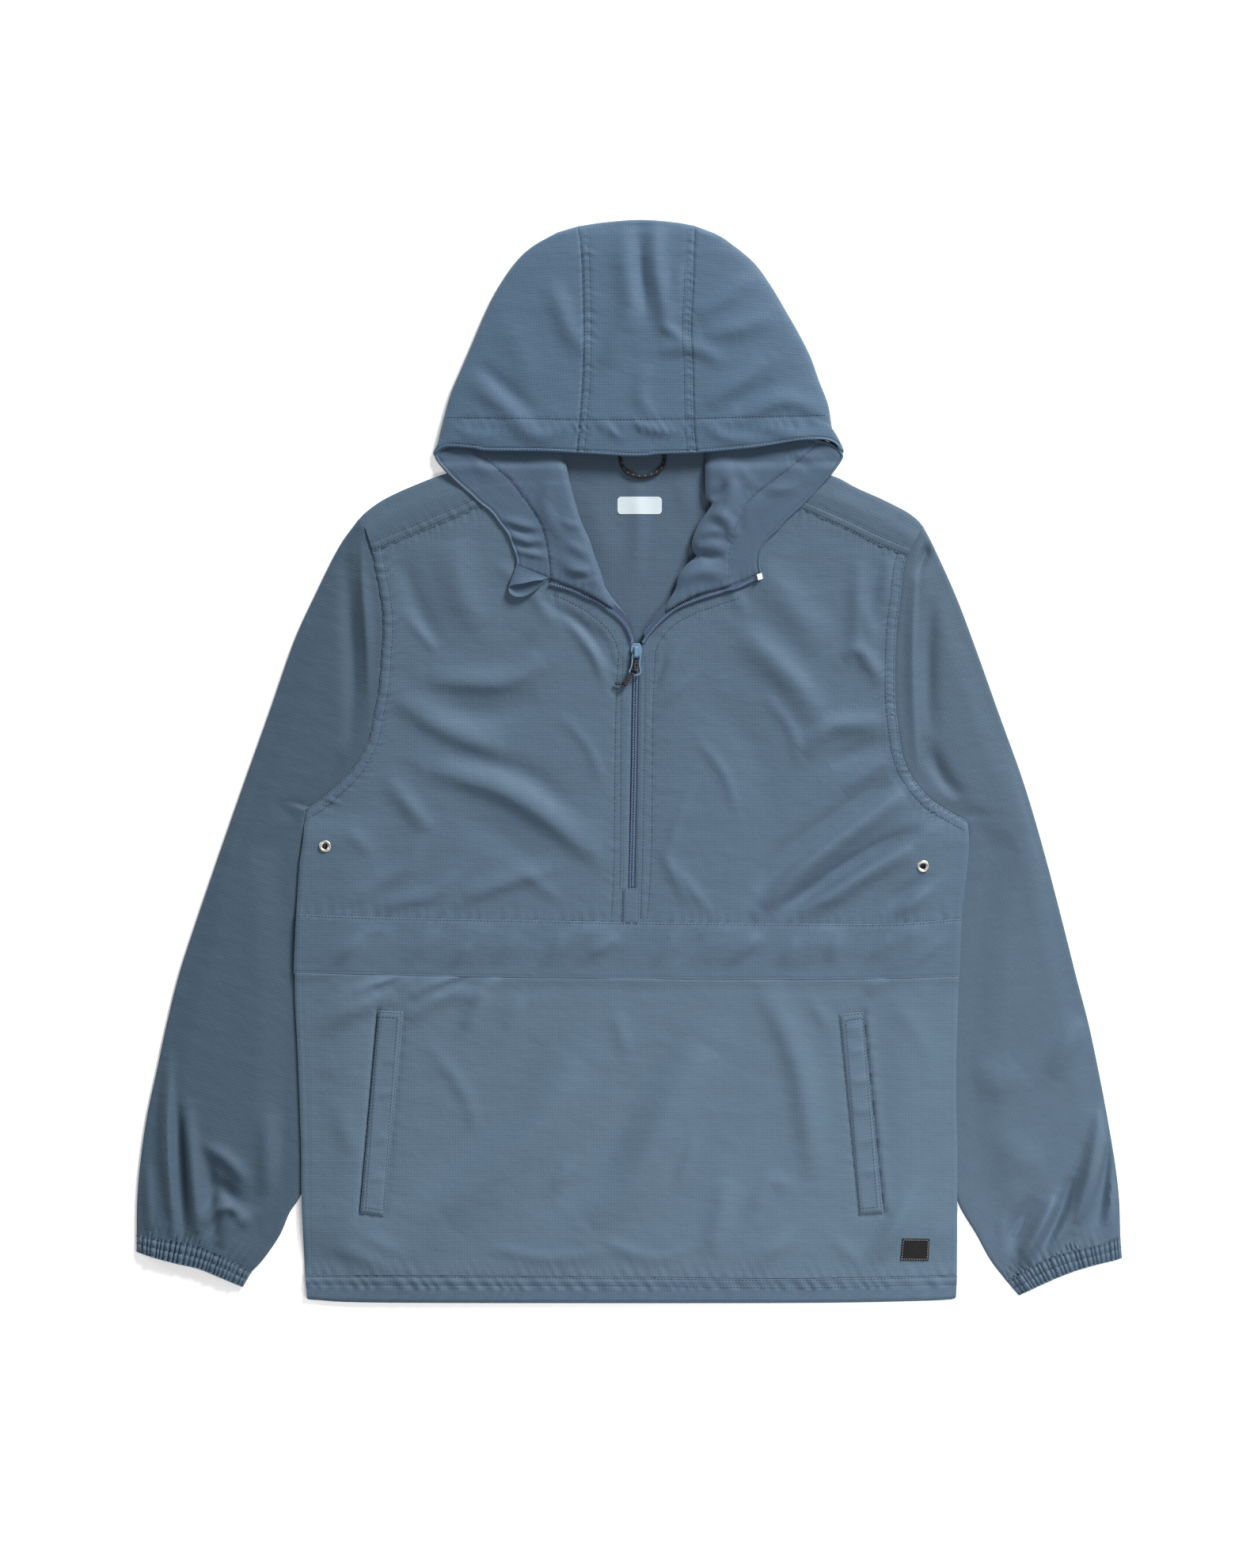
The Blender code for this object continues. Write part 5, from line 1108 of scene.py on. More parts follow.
def cuff(side, seam, end, sign, seed):
    """A flat tube with ribs of uneven width. Its grid has a row for each step from the seam to the end."""
    upper = even(seam, CUFF_COLUMNS)[::-1]
    lower = even(end, CUFF_COLUMNS)[::-1]
    random = np.random.default_rng(seed)
    edges = np.cumsum(random.uniform(0.6, 1.4, GATHERS))
    edges = np.concatenate([[0], edges / edges[-1]])
    swell = random.uniform(0.6, 1.3, GATHERS)
    shares = np.linspace(0, 1, CUFF_COLUMNS)
    which = np.clip(np.searchsorted(edges, shares, side="right") - 1, 0, GATHERS - 1)
    inside = (shares - edges[which]) / (edges[which + 1] - edges[which])
    rib = np.sin(math.pi * inside) ** 0.6 * swell[which]
    body = 2.6 + 3.0 * ease(np.minimum(shares, 1 - shares) / 0.14)      # low at both sides
    grid = []
    for step in np.concatenate([[0.0, 0.02, 0.06], np.linspace(0.12, 0.88, 9), [0.94, 0.98, 1.0]]):
        line = upper + (lower - upper) * step
        pull = 1 - 0.45 * math.exp(-(min(abs(step - row) for row in CUFF_STITCHES) / 0.06) ** 2)
        tuck = 0.5 * math.exp(-(step / 0.04) ** 2) + 0.7 * math.exp(-((1 - step) / 0.04) ** 2)
        z = body - 1.0 + 2.8 * rib * pull - tuck - 0.35 * (1 - pull)
        width = np.linalg.norm(line[-1] - line[0])
        z = round_fold(shares * width, round_fold((1 - shares) * width, z))
        back = np.linspace(1, 0, 34)[1:-1]
        low = np.stack([np.interp(back, shares, line[:, 0]), np.interp(back, shares, line[:, 1]),
                        round_fold(np.minimum(back, 1 - back) * width, 0.0)], axis=1)
        grid.append(np.vstack([np.column_stack([line, z]), low]))
    points = np.array(grid)
    made = shell("cuff_" + side + "_cloth", points, CUFF_CLOTH, ["cuff_" + side], grain=sign * CUFF_GRAIN,
                 ring=True)
    width, length, area = cut_size(points, True)


cuff("left", CUFF_SEAM_LEFT, CUFF_END_LEFT, -1, 3)
cuff("right", CUFF_SEAM_RIGHT, CUFF_END_RIGHT, 1, 4)

# %% [markdown]
# ## Fronts, yokes and pouch
#
# The two chest fronts, the shoulder yokes and the pouch lie on the back with air between. Their creases are
# the photo's, and every seam adds its own: a groove along the stitches, a raised strip where the seam
# allowance is folded in, and short puckers across it.

# %% Seams of the fronts
ROW_PLACKET_LO = [(-9.1, 97), (-11.9, 37.5), (-13.3, -83.7), (-15.4, -135.5)]
ROW_PLACKET_LI = [(-5.6, 92), (-7, 37.5), (-7.7, -83.7), (-8.4, -111.7)]
ROW_PLACKET_RI = [(14, 92), (14, 43), (12.6, -51.5), (10.5, -137.5)]
ROW_PLACKET_RO = [(23.1, 97), (21, 37.5), (19.6, -83.7), (16.1, -137.5)]
LEFT_TURN = [(-9.1, 97), (-14, 110), (-24, 122), (-38, 133), (-52, 141), (-66, 147)]
RIGHT_TURN = [(23.1, 97), (28, 108), (40, 121), (58, 131), (78, 138), (96, 144)]
ARMHOLE_ROWS = (1.2, 8.4)         # how far in from the armhole its two rows of stitches lie
EYELET_ROOM = 4.0                 # half the opening that is left in the cloth below an eyelet
EYELET_LEFT = (-269, -75)
EYELET_RIGHT = (259.5, -92.5)


def chest_seams(x, y):
    """Grooves, raised strips and puckers along the seams of the chest."""
    total = np.zeros(x.shape)
    for line, sign, seed in ((arm_left, -1, 11), (arm_right, 1, 12)):
        total += band(x, y, line, ARMHOLE_ROWS[1], 0.4, side=sign)
        for distance in ARMHOLE_ROWS:
            total += groove(x, y, moved(line, sign * distance), 0.3, 1.0)
        total += puckers(x, y, moved(line, sign * 6), 0.85, 5.2, 8.5, slant=0.5 * sign, seed=seed)
    for line, seed in ((ROW_PLACKET_LO, 13), (ROW_PLACKET_RO, 14)):
        total += groove(x, y, smooth(line), 0.3, 1.1)
        total += puckers(x, y, smooth(line), 0.6, 7.5, 8, slant=0.8, seed=seed)
    for line, seed in ((LEFT_TURN, 18), (RIGHT_TURN, 19)):
        total += groove(x, y, smooth(line), 0.3, 1.1)
        total += puckers(x, y, smooth(line), 0.5, 6.5, 6, slant=0.5, seed=seed)
    for line in (ROW_PLACKET_LI, ROW_PLACKET_RI):
        total += groove(x, y, smooth(line), 0.25, 1.0)
    for line, side, seed in ((YOKE_SEAM_LEFT, -1, 15), (YOKE_SEAM_RIGHT, 1, 16)):
        total += puckers(x, y, smooth(line), 0.5, 7, 7, slant=0.3, sides=side, seed=seed)
    return total + puckers(x, y, smooth(FLAP_TOP), 0.5, 9, 9, slant=0.2, seed=17)


def front(side, side_line, armhole, yoke_seam, placket, roll, hole):
    """A chest front from its side edge to the zip and the neck, with an opening for its eyelet."""
    low = placket[0][1]
    start = (np.interp(low + 2, [p[1] for p in side_line], [p[0] for p in side_line]), low + 2)
    body_side = smooth([start] + [p for p in side_line if p[1] > low + 4])
    outer = joined(body_side, smooth(armhole))
    neck = [p for p in roll if p[1] < 250]
    inner = joined(smooth(placket), smooth(neck))
    top_curve = joined(smooth(yoke_seam), straight(yoke_seam[-1], neck[-1]))
    rows = count_for(max(run_of(outer)[-1], run_of(inner)[-1]))
    columns = count_for(abs(start[0] - placket[0][0]))
    plan = patch(along(straight(outer[0], inner[0]), columns), along(top_curve, columns),
                 along(outer, rows), along(inner, rows))
    x, y = xy(plan)
    z = front_height(x, y) + chest_seams(x, y)
    z = turned_down(x, y, z, inner, 0.7, 2.0)
    z = turned_down(x, y, z, body_side, 1.4, 2.6)
    z -= 0.7 * np.exp(-(away_from(x, y, smooth(armhole)) / 1.5) ** 2)
    points = at_height(plan, z)
    middle = (points[:-1, :-1, :2] + points[1:, 1:, :2]) / 2
    kept = np.hypot(middle[:, :, 0] - hole[0], middle[:, :, 1] - hole[1]) > EYELET_ROOM
    piece("front_" + side + "_cloth", points, BODY_CLOTH, ["back_cloth"], kept=kept)


front("left", SIDE_LEFT, ARMHOLE_LEFT, YOKE_SEAM_LEFT, PLACKET_LEFT, ROLL_LEFT, EYELET_LEFT)
front("right", SIDE_RIGHT, ARMHOLE_RIGHT, YOKE_SEAM_RIGHT, PLACKET_RIGHT, ROLL_RIGHT, EYELET_RIGHT)


# %% Yokes
YOKE_GRAIN = 24


def yoke(side, seam, shoulder, end, neck_point, sign):
    """A strip over the shoulder, raised on the front's allowance along its seam."""
    low = moved(smooth(seam), -sign * 0.8)
    high = smooth(shoulder)
    rows = 24
    columns = count_for(run_of(high)[-1])
    start = along(np.array([low[0], end[1], high[0]], dtype=float), rows)
    stop = along(np.array([low[-1], neck_point, high[-1]], dtype=float), rows)
    plan = patch(along(low, columns), along(high, columns), start, stop)
    x, y = xy(plan)
    z = yoke_height(x, y) + 0.5 + band(x, y, low, 8.0, 0.4, side=sign)
    z += groove(x, y, moved(low, sign * 2.0), 0.4, 1.2) + groove(x, y, moved(low, sign * 8.0), 0.5, 1.3)
    z += puckers(x, y, low, 0.9, 6, 9, slant=0.3, seed=21 + sign) * ease(away_from(x, y, low) / 3)
    z = turned_down(x, y, z, low, 0.3, 1.4)
    z = z - (z - 1.6) * 0.7 * (1 - np.sqrt(np.clip(away_from(x, y, high) / 4.0, 0, 1)))
    piece("yoke_" + side + "_cloth", at_height(plan, z), YOKE_CLOTH, ["back_cloth"], grain=sign * YOKE_GRAIN)


yoke("left", YOKE_SEAM_LEFT, SHOULDER_LEFT, YOKE_END_LEFT, (-98.5, 253), 1)
yoke("right", YOKE_SEAM_RIGHT, SHOULDER_RIGHT, YOKE_END_RIGHT, (107, 254), -1)

# %% Pouch
LIP = 1.3                         # how far the pouch swells up against the flap's lower edge
WELT_LIP = 1.5                    # and against the right welt's outer side
SWELL = 7                         # how far such a swelling reaches
SIDE_ROW = 5.5                    # how far in from the sides a row of stitches dents the pouch
WELT_LEFT = [(-238, -399), (-217, -402), (-199.5, -221), (-222, -220)]
WELT_RIGHT = [(203.5, -400.5), (224.5, -399), (206.5, -221), (185.5, -223.5)]
low, high = moved(smooth(HEM_SEAM), -0.6), moved(smooth(POUCH_TOP), -0.3)
columns = count_for(580)
rows = np.concatenate([np.linspace(0, 0.842, 108), np.linspace(0.846, 0.889, 27),      # close at the flap
                       np.linspace(0.91, 1, 5)])
plan = patch(along(low, columns), along(high, columns), at_shares(smooth(POUCH_SIDE_LEFT), rows),
             at_shares(smooth(POUCH_SIDE_RIGHT), rows))
x, y = xy(plan)
z = pouch_height(x, y) + puckers(x, y, low, 0.6, 9, 12, slant=0.5, seed=31)
flap_edge = smooth(FLAP_BOTTOM)
below = np.interp(x, flap_edge[:, 0], flap_edge[:, 1]) - y
z += LIP * ease((below + 0.5) / 1.0) * np.exp(-(np.maximum(below, 0) / SWELL) ** 2)
z = turned_down(x, y, z, low, 0.6, 2.5)
for line, sign in ((POUCH_SIDE_LEFT, -1), (POUCH_SIDE_RIGHT, 1)):
    z += groove(x, y, moved(smooth(line), sign * SIDE_ROW), 0.5, 1.6)
    z = turned_down(x, y, z, smooth(line), 1.4, 2.6)
(foot_x, foot_y), (head_x, head_y) = WELT_RIGHT[1:3]
past_welt = x - np.interp(y, [foot_y, head_y], [foot_x, head_x])
beside_welt = ease((past_welt + 0.6) / 2.4) * np.exp(-(np.maximum(past_welt, 0) / SWELL) ** 2)
z += WELT_LIP * beside_welt * ease((y - foot_y) / 10) * ease((head_y - y) / 10)
for corners, opening, seed in ((WELT_LEFT, (0, 3), 32), (WELT_RIGHT, (1, 2), 33)):
    loop = np.array(corners + corners[:1], dtype=float)
    z += puckers(x, y, along(loop, 120), 0.4, 8, 8, slant=0.3, seed=seed) + groove(x, y, loop, 0.4, 2.5)
    z += groove(x, y, straight(corners[opening[0]], corners[opening[1]]), 1.2, 2.2)
piece("pouch_cloth", at_height(plan, z), POUCH_CLOTH, ["back_cloth"], "pouch_panel")

# %% Flap
low, high = smooth(FLAP_BOTTOM), smooth(FLAP_TOP)
columns, rows = count_for(592), close_first(53, 22)
plan = patch(along(low, columns), along(high, columns), at_shares(straight(low[0], high[0]), rows),
             at_shares(straight(low[-1], high[-1]), rows))
x, y = xy(plan)
z = flap_height(x, y) + puckers(x, y, high, 0.55, 8, 9, slant=0.5, seed=35)
z += groove(x, y, moved(high, -1.4), 0.3, 1.0)
z = turned_down(x, y, z, high, 0.8, 1.6)
z += groove(x, y, moved(low, 1.6), 0.25, 0.9)
z = turned_down(x, y, z, low, 0.45, 1.2)
for line in (straight(low[0], high[0]), straight(low[-1], high[-1])):
    z = turned_down(x, y, z, line, 1.2, 2.4)
piece("flap_cloth", at_height(plan, z), BODY_CLOTH, ["front_left_cloth", "front_right_cloth", "pouch_cloth"],
      "pocket_flap")

# %% Front hem
plan = hem_plan(count_for(580, 2.0), 16)
x, y = xy(plan)
z = hem_height(x, y) + puckers(x, y, smooth([(-290, -466), (0, -468), (290, -466)]), 0.95, 12, 11,
                               slant=0.8, seed=36)
for line in ([(-290, -455.6), (0, -457.5), (290, -456.5)], [(-290, -461.6), (0, -463.4), (290, -462.4)]):
    z += groove(x, y, smooth(line), 0.45, 1.2)
z -= (z - 1.6) * 0.85 * (1 - np.sqrt(np.clip(away_from(x, y, smooth(HEM_EDGE)) / 3.0, 0, 1)))
piece("hem_front_cloth", at_height(plan, z), BODY_CLOTH, ["hem_back_cloth"])

# %% [markdown]
# ## Welts and the box below the zip
#
# Small pieces sewn flat on the front. Each is a low pillow: full in the middle and pulled down along the
# stitches round its edge. The welts carry a few short cross folds, more on the viewer's right one.

# %% Small sewn pieces
WELT_CREASES = [
    (0.9, 4, [(-206, -290), (-222, -296)]), (0.8, 4, [(-212, -330), (-226, -336)]),
    (0.7, 4, [(-204, -262), (-218, -266)]), (0.7, 4, [(-216, -366), (-230, -370)]),
    (1.1, 4, [(194, -258), (208, -254)]), (1.2, 4, [(196, -284), (212, -280)]),
    (1.1, 4, [(198, -310), (216, -306)]), (0.9, 4, [(202, -338), (218, -332)]),
    (0.8, 4, [(206, -364), (222, -360)]), (0.9, 4, [(192, -238), (204, -234)]),
]


def pillow(name, corners, under, above, puff, look, rests_on, spacing=1.5, **settings):
    """A four-cornered piece at a height above the one under it, full between its stitched edges."""
    a, b, c, d = [np.array(corner, dtype=float) for corner in corners]
    columns = max(5, count_for(np.linalg.norm(b - a), spacing))
    rows = max(5, count_for(np.linalg.norm(d - a), spacing))
    plan = patch(along(straight(a, b), columns), along(straight(d, c), columns),
                 along(straight(a, d), rows), along(straight(b, c), rows))
    x, y = xy(plan)
    edge = away_from(x, y, np.array([a, b, c, d, a]), 60)
    z = under(x, y) + above + puff * ease(edge / 4) - 0.45 * (1 - ease(edge / 1.0))
    z += creases(x, y, WELT_CREASES) * ease(edge / 2.5)
    piece(name, at_height(plan, z), look, rests_on, thickness=0.4, **settings)


ZIP_BOX = [(-6.5, -143.5), (8.8, -143.5), (9.8, -112), (-5.6, -112)]
pillow("welt_left_cloth", WELT_LEFT, pouch_height, 0.9, 0.8, POUCH_CLOTH, ["pouch_cloth"], grain=-5)
pillow("welt_right_cloth", WELT_RIGHT, pouch_height, 0.75, 0.8, POUCH_CLOTH, ["pouch_cloth"], grain=5)
pillow("zip_box_cloth", ZIP_BOX, front_height, 0.9, 0.25, BODY_CLOTH,
       ["front_left_cloth", "front_right_cloth"])

# %% [markdown]
# ## Lapels
#
# Below the mouth, the hood's two fronts are turned out over the chest, so their inner face is up. Each is
# full along the line where it rolls over. The hood's hem goes on down its outer edge as a band that stands
# a little higher than the rest, with a crisp inner edge.

# %% Lapels
CASING_LINES = {
    "left": [(-140, 281), (-136.9, 276), (-107.1, 251), (-88.9, 227.9), (-76.3, 206.9), (-70.7, 181),
             (-69.3, 165.6)],
    "right": [(172, 286), (167.9, 282.5), (144.2, 261.5), (110.6, 235.6), (100.1, 220.2), (89.6, 191.5),
              (87.5, 160.7)],
}
LAPEL_REACH = 2.6                 # how far a lapel's lower edge reaches past the tape's line
LAPEL_GRAIN = 38


def lapel(side, edge, roll, tape, tip, far_corner, sign):
    """A turned-out front of the hood, from the tape up to the mouth and from its free edge to its roll."""
    low = moved(smooth([p for p in tape if abs(p[0]) > abs(tip[0]) + 3] + [tip]), sign * LAPEL_REACH)
    outer_side = smooth(list(edge) + [far_corner])
    inner_side = smooth([tip] + [p for p in roll if p[1] > tip[1] + 6])
    outer_side[0], inner_side[0] = low[0], low[-1]
    rows = count_for(max(run_of(outer_side)[-1], run_of(inner_side)[-1]), 1.8)
    width = run_of(low)[-1]
    columns = close_first(width, count_for(width, 1.9))
    plan = patch(at_shares(low, columns), at_shares(straight(far_corner, roll[-1]), columns),
                 along(outer_side, rows), along(inner_side, rows))
    x, y = xy(plan)
    roll_away = away_from(x, y, inner_side, 60)
    under = np.maximum(1 + 4.4 * ease((271 - y) / 14), yoke_height(x, y))
    full = 1.8 * np.exp(-((roll_away - 12) / 16) ** 2) * ease(roll_away / 6)
    z = under + 1.7 + full + LAPEL_FOLDS * creases(x, y, LAPEL_CREASES) * ease(roll_away / 5)
    ridge = smooth(CASING_LINES[side])
    mask, away, which = near_line(x, y, ridge, 60)[:3]
    step = np.zeros(x.shape)
    step[mask] = np.where(which == -sign, ease(away / 1.0) * 0.6, -0.5 * np.exp(-(away / 1.6) ** 2))
    z += step + puckers(x, y, ridge, 0.5, 6.5, 7, seed=41, sides=-sign)
    z = turned_down(x, y, z, inner_side, 1.6, 3.5)
    z += groove(x, y, moved(outer_side, sign * 2.8), 0.6, 0.9)
    z += groove(x, y, moved(outer_side, sign * 1.2), -0.5, 0.9)
    z = turned_down(x, y, z, outer_side, 1.2, 1.4)
    z = turned_down(x, y, z, low, 0.6, 2.0) + puckers(x, y, low, 0.6, 6, 7, slant=0.3, seed=43)
    piece("lapel_" + side + "_cloth", at_height(plan, z), LAPEL_CLOTH,
          ["front_" + side + "_cloth", "yoke_" + side + "_cloth", "back_cloth"], held="folded",
          grain=sign * LAPEL_GRAIN)


lapel("left", LAPEL_EDGE_LEFT, ROLL_LEFT, TAPE_LEFT, (-13, 137.5), (-146, 286), -1)
lapel("right", LAPEL_EDGE_RIGHT, ROLL_RIGHT, TAPE_RIGHT, (30, 133.5), (160, 287), 1)

# %% [markdown]
# ## The hood
#
# The hood lies flat on its back: two side panels and a strip between them. Each is folded back on itself,
# the sides along the hood's outline and the strip at the crown, and the lower layer rests on the table.

# %% Hood
HOOD_ROWS = (1.4, 7.0)            # how far out from the centre strip's seams two rows of stitches lie
HOOD_BASE = EDGE + 1.4            # a panel's height where it turns


def hood_seams(x, y):
    """The centre strip's seams and the row of stitches above the mouth."""
    total = np.zeros(x.shape)
    for line, sign, seed in ((HOOD_SEAM_LEFT, -1, 51), (HOOD_SEAM_RIGHT, 1, 52)):
        curve = smooth(line)
        total += groove(x, y, curve, 0.5, 1.5)
        total += groove(x, y, moved(curve, sign * HOOD_ROWS[1]), 0.35, 1.1)
        total += puckers(x, y, moved(curve, sign * 4), 0.7, 6.0, 6, slant=0.5, seed=seed)
    total += groove(x, y, smooth([(-150, 303), (0, 301), (166, 305)]), 0.45, 1.3)
    total += puckers(x, y, smooth([(-150, 294), (0, 290), (166, 296)]), 0.6, 9, 12, slant=0.6, seed=53)
    return total


def mouth_edge(x, y, z):
    """The hood's free edge is a thin bead with a row of stitches beside it."""
    curve = smooth(HOOD_MOUTH)
    z = z + groove(x, y, moved(curve, 2.8), 0.6, 0.8) + groove(x, y, moved(curve, 1.2), -0.5, 0.9)
    return turned_down(x, y, z, curve, 1.2, 1.4)


def folded_panel(name, near, far, mouth, crown, top, columns, grain, rests_on, low_columns=12,
                 closed=True):
    """A panel from near to far, its upper layer turning at far and coming back below. A closed one also
    turns at its crown end."""
    size = max(run_of(near)[-1], run_of(far)[-1])
    rows = close_first(size, count_for(size, 2.2)) * (1 - 5 / size)
    rows = np.concatenate([rows, 1 - ROLL[::-1] / size])
    plan = patch(along(mouth, columns), along(crown, columns), at_shares(near, rows), at_shares(far, rows))
    reach = np.linalg.norm(plan - plan[:, -1:], axis=2)
    steps = (reach > ROLL[-1] * 1.1).sum(axis=1).min()
    width = reach[:, 0]
    shares = np.array([close_first(one, steps) for one in width]) * (1 - 5 / width)[:, None]
    shares = np.hstack([shares, 1 - ROLL[::-1][None] / width[:, None]])
    back = np.hstack([1 - ROLL[1:][None] / width[:, None],
                      np.linspace(1, 0, low_columns)[None] * (1 - 6 / width)[:, None]])
    place = np.linspace(0, 1, columns)

    def read(values):
        return np.array([[np.interp(row, place, line[:, axis]) for axis in (0, 1)]
                         for row, line in zip(values, plan)]).transpose(0, 2, 1)

    upper, lower = read(shares), read(back)
    x, y = xy(upper)
    from_far = (1 - shares) * width[:, None]
    z = mouth_edge(x, y, top(x, y, shares) + hood_seams(x, y) * ease(from_far / 10))
    if closed:
        z = round_fold(away_from(x, y, crown), z)
    upper = at_height(upper, round_fold(from_far, z))
    z = round_fold((1 - back) * width[:, None], 0.0)
    if closed:
        z = np.maximum(z, round_fold(away_from(*xy(lower), crown), 0.0))
    points = np.concatenate([upper, at_height(lower, z)], axis=1)
    piece(name, points, HOOD_CLOTH, rests_on, held="folded", grain=grain)


def side_top(x, y, shares):
    """A hood side sinks from the seam to the fold at its outline."""
    z = HOOD_BASE + (hood_height(x, y) - EDGE - 1.4) * (1 - np.clip(shares, 0, 1) ** 3) ** 0.6
    return z - 0.35 * np.exp(-(np.minimum(away_from(x, y, smooth(HOOD_SEAM_LEFT)),
                                          away_from(x, y, smooth(HOOD_SEAM_RIGHT))) / 1.2) ** 2)


def centre_top(x, y, shares):
    return np.maximum(HOOD_BASE, hood_height(x, y))


for side, seam, outline, mouth, sign in (("left", HOOD_SEAM_LEFT, HOOD_SIDE_LEFT, MOUTH_LEFT, -1),
                                        ("right", HOOD_SEAM_RIGHT, HOOD_SIDE_RIGHT, MOUTH_RIGHT, 1)):
    folded_panel("hood_" + side + "_cloth", moved(smooth(seam), sign * 0.5), smooth(outline), smooth(mouth),
                 straight(seam[-1], outline[-1]), side_top, 60, -4 * sign, ["lapel_" + side + "_cloth"])
folded_panel("hood_centre_cloth", smooth([p for p in HOOD_MOUTH if -47 < p[0] < 60]), smooth(HOOD_CROWN),
             smooth(HOOD_SEAM_LEFT), smooth(HOOD_SEAM_RIGHT), centre_top, 104, 0, ["back_cloth"],
             low_columns=24, closed=False)

# %% [markdown]
# ## Open zip ends and tapes
#
# The zip's two open ends curve away under the lapels. Each is a woven tape with its half of the coil on it.
# The tape is a narrow shell that lies on the chest, and the closed stretch of tape lies under both fronts.

# %% Tapes
def tape(side, line, chain, sign):
    """The open tape, from the lapel's lower edge to just past the coil."""
    middle = smooth(chain)
    outer = along(moved(middle, sign * 2.3), 90)
    inner = along(moved(smooth(line), sign * -1.5), 90)
    plan = np.array([outer + (inner - outer) * share for share in np.linspace(0, 1, 9)])
    x, y = xy(plan)
    z = front_height(x, y) + 1.0 + groove(x, y, moved(middle, -sign * 2.6), 0.2, 0.7)
    piece("zip_tape_" + side + "_cloth", at_height(plan, z), TAPE, ["front_" + side + "_cloth"],
          thickness=0.4, slot="zip_tape_cloth")


tape("left", TAPE_LEFT[1:], CHAIN_LEFT, -1)
tape("right", TAPE_RIGHT, CHAIN_RIGHT, 1)

TAPE_HEIGHT = 3.6                 # the closed tape's upper face
middle = even([(1, -139)] + ZIP_LINE, 60)
plan = np.array([moved(middle, distance) for distance in np.linspace(-11, 11, 12)])
piece("zip_tape_cloth_closed", at_height(plan, np.full(plan.shape[:2], TAPE_HEIGHT)), TAPE, ["back_cloth"],
      "zip_tape", slot="zip_tape_cloth")

# %% [markdown]
# ## Rows of stitches and zip teeth
#
# A garment has thousands of stitches, all alike, so they are a job for Geometry Nodes. The tree takes a
# curve, reads it at an even pitch, puts one small rounded body on each point, turned along the curve, and
# makes the copies real. The same tree serves the zip: a coil's tooth is a longer body set across its line.

# %% A tree that sets small bodies along curves
def row_tree():
    """A curve becomes small bodies at an even pitch, each turned along it, tilted and then made real."""
    t = Tree(bpy.data.node_groups.new("bodies_along_curves", "GeometryNodeTree"))
    face = t.tree.interface
    for label, kind in (("Geometry", "Geometry"), ("Pitch", "Float"), ("Along", "Float"),
                        ("Across", "Float"), ("Height", "Float"), ("Sides", "Int"), ("Uneven", "Float"),
                        ("Material", "Material")):
        face.new_socket(label, in_out="INPUT", socket_type="NodeSocket" + kind)
    face.new_socket("Geometry", in_out="OUTPUT", socket_type="NodeSocketGeometry")
    given = t.add("NodeGroupInput").outputs
    even_points = t.add("GeometryNodeResampleCurve", mode="LENGTH")
    t.put(even_points.inputs["Curve"], given["Geometry"])
    t.put(even_points.inputs["Length"], given["Pitch"])
    ball = t.add("GeometryNodeMeshUVSphere", {"Rings": 5, "Radius": 0.5, "Segments": given["Sides"]})
    soft = t.add("GeometryNodeSetShadeSmooth", {"Geometry": ball.outputs["Mesh"]})
    tangent = t.add("GeometryNodeInputTangent").outputs[0]
    turned = t.add("FunctionNodeAlignRotationToVector", {"Vector": tangent}, axis="X", pivot_axis="AUTO")
    less = t.add("ShaderNodeMath", {0: given["Uneven"], 1: -1}, operation="MULTIPLY").outputs[0]
    wander = t.add("FunctionNodeRandomValue", {"Seed": 7}, data_type="FLOAT")
    t.put(wander.inputs[2], less)
    t.put(wander.inputs[3], given["Uneven"])
    tilt = t.add("GeometryNodeInputCurveTilt").outputs[0]
    turn = t.add("ShaderNodeMath", {0: tilt, 1: wander.outputs[1]}, operation="ADD").outputs[0]
    flat = t.add("ShaderNodeCombineXYZ", {"Z": turn}).outputs[0]
    spin = t.add("FunctionNodeEulerToRotation", {0: flat})
    both = t.add("FunctionNodeRotateRotation", {"Rotation": turned.outputs[0], "Rotate By": spin.outputs[0]},
                 rotation_space="LOCAL")
    size = t.add("ShaderNodeCombineXYZ", {"X": given["Along"], "Y": given["Across"], "Z": given["Height"]})
    copies = t.add("GeometryNodeInstanceOnPoints", {
        "Points": even_points.outputs["Curve"], "Instance": soft.outputs["Geometry"],
        "Rotation": both.outputs["Rotation"], "Scale": size.outputs[0]})
    real = t.add("GeometryNodeRealizeInstances", {"Geometry": copies.outputs["Instances"]})
    look = t.add("GeometryNodeSetMaterial", {"Geometry": real.outputs["Geometry"],
                                             "Material": given["Material"]})
    t.add("NodeGroupOutput", {"Geometry": look.outputs["Geometry"]})
    return t.tree


ROW_TREE = row_tree()
print("node tree with", len(ROW_TREE.nodes), "nodes")

# %% Run the tree and keep a plain mesh
SURFACES = {}


def top_of(name, x, y):
    """The height of a finished shell at a place, or None beside it."""
    if name not in SURFACES:
        shape = bmesh.new()
        shape.from_mesh(bpy.data.objects[name].data)
        SURFACES[name] = BVHTree.FromBMesh(shape)
        shape.free()
    hit = SURFACES[name].ray_cast(Vector((x * MM, y * MM, 0.1)), Vector((0, 0, -1)))[0]
    return None if hit is None else hit.z


def drop(line, names, above=0.15, step=1.2):
    """A plan line laid on the named shells: runs of points in mm, broken where nothing lies below."""
    line = np.asarray(line, dtype=float)
    count = max(3, int(run_of(line)[-1] / step) + 1)
    runs = [[]]
    for x, y in along(line, count):
        tops = [top for top in (top_of(name, x, y) for name in names) if top is not None]
        if tops:
            runs[-1].append((x, y, max(tops) / MM + above))
        else:
            runs.append([])
    return [run for run in runs if len(run) > 2]


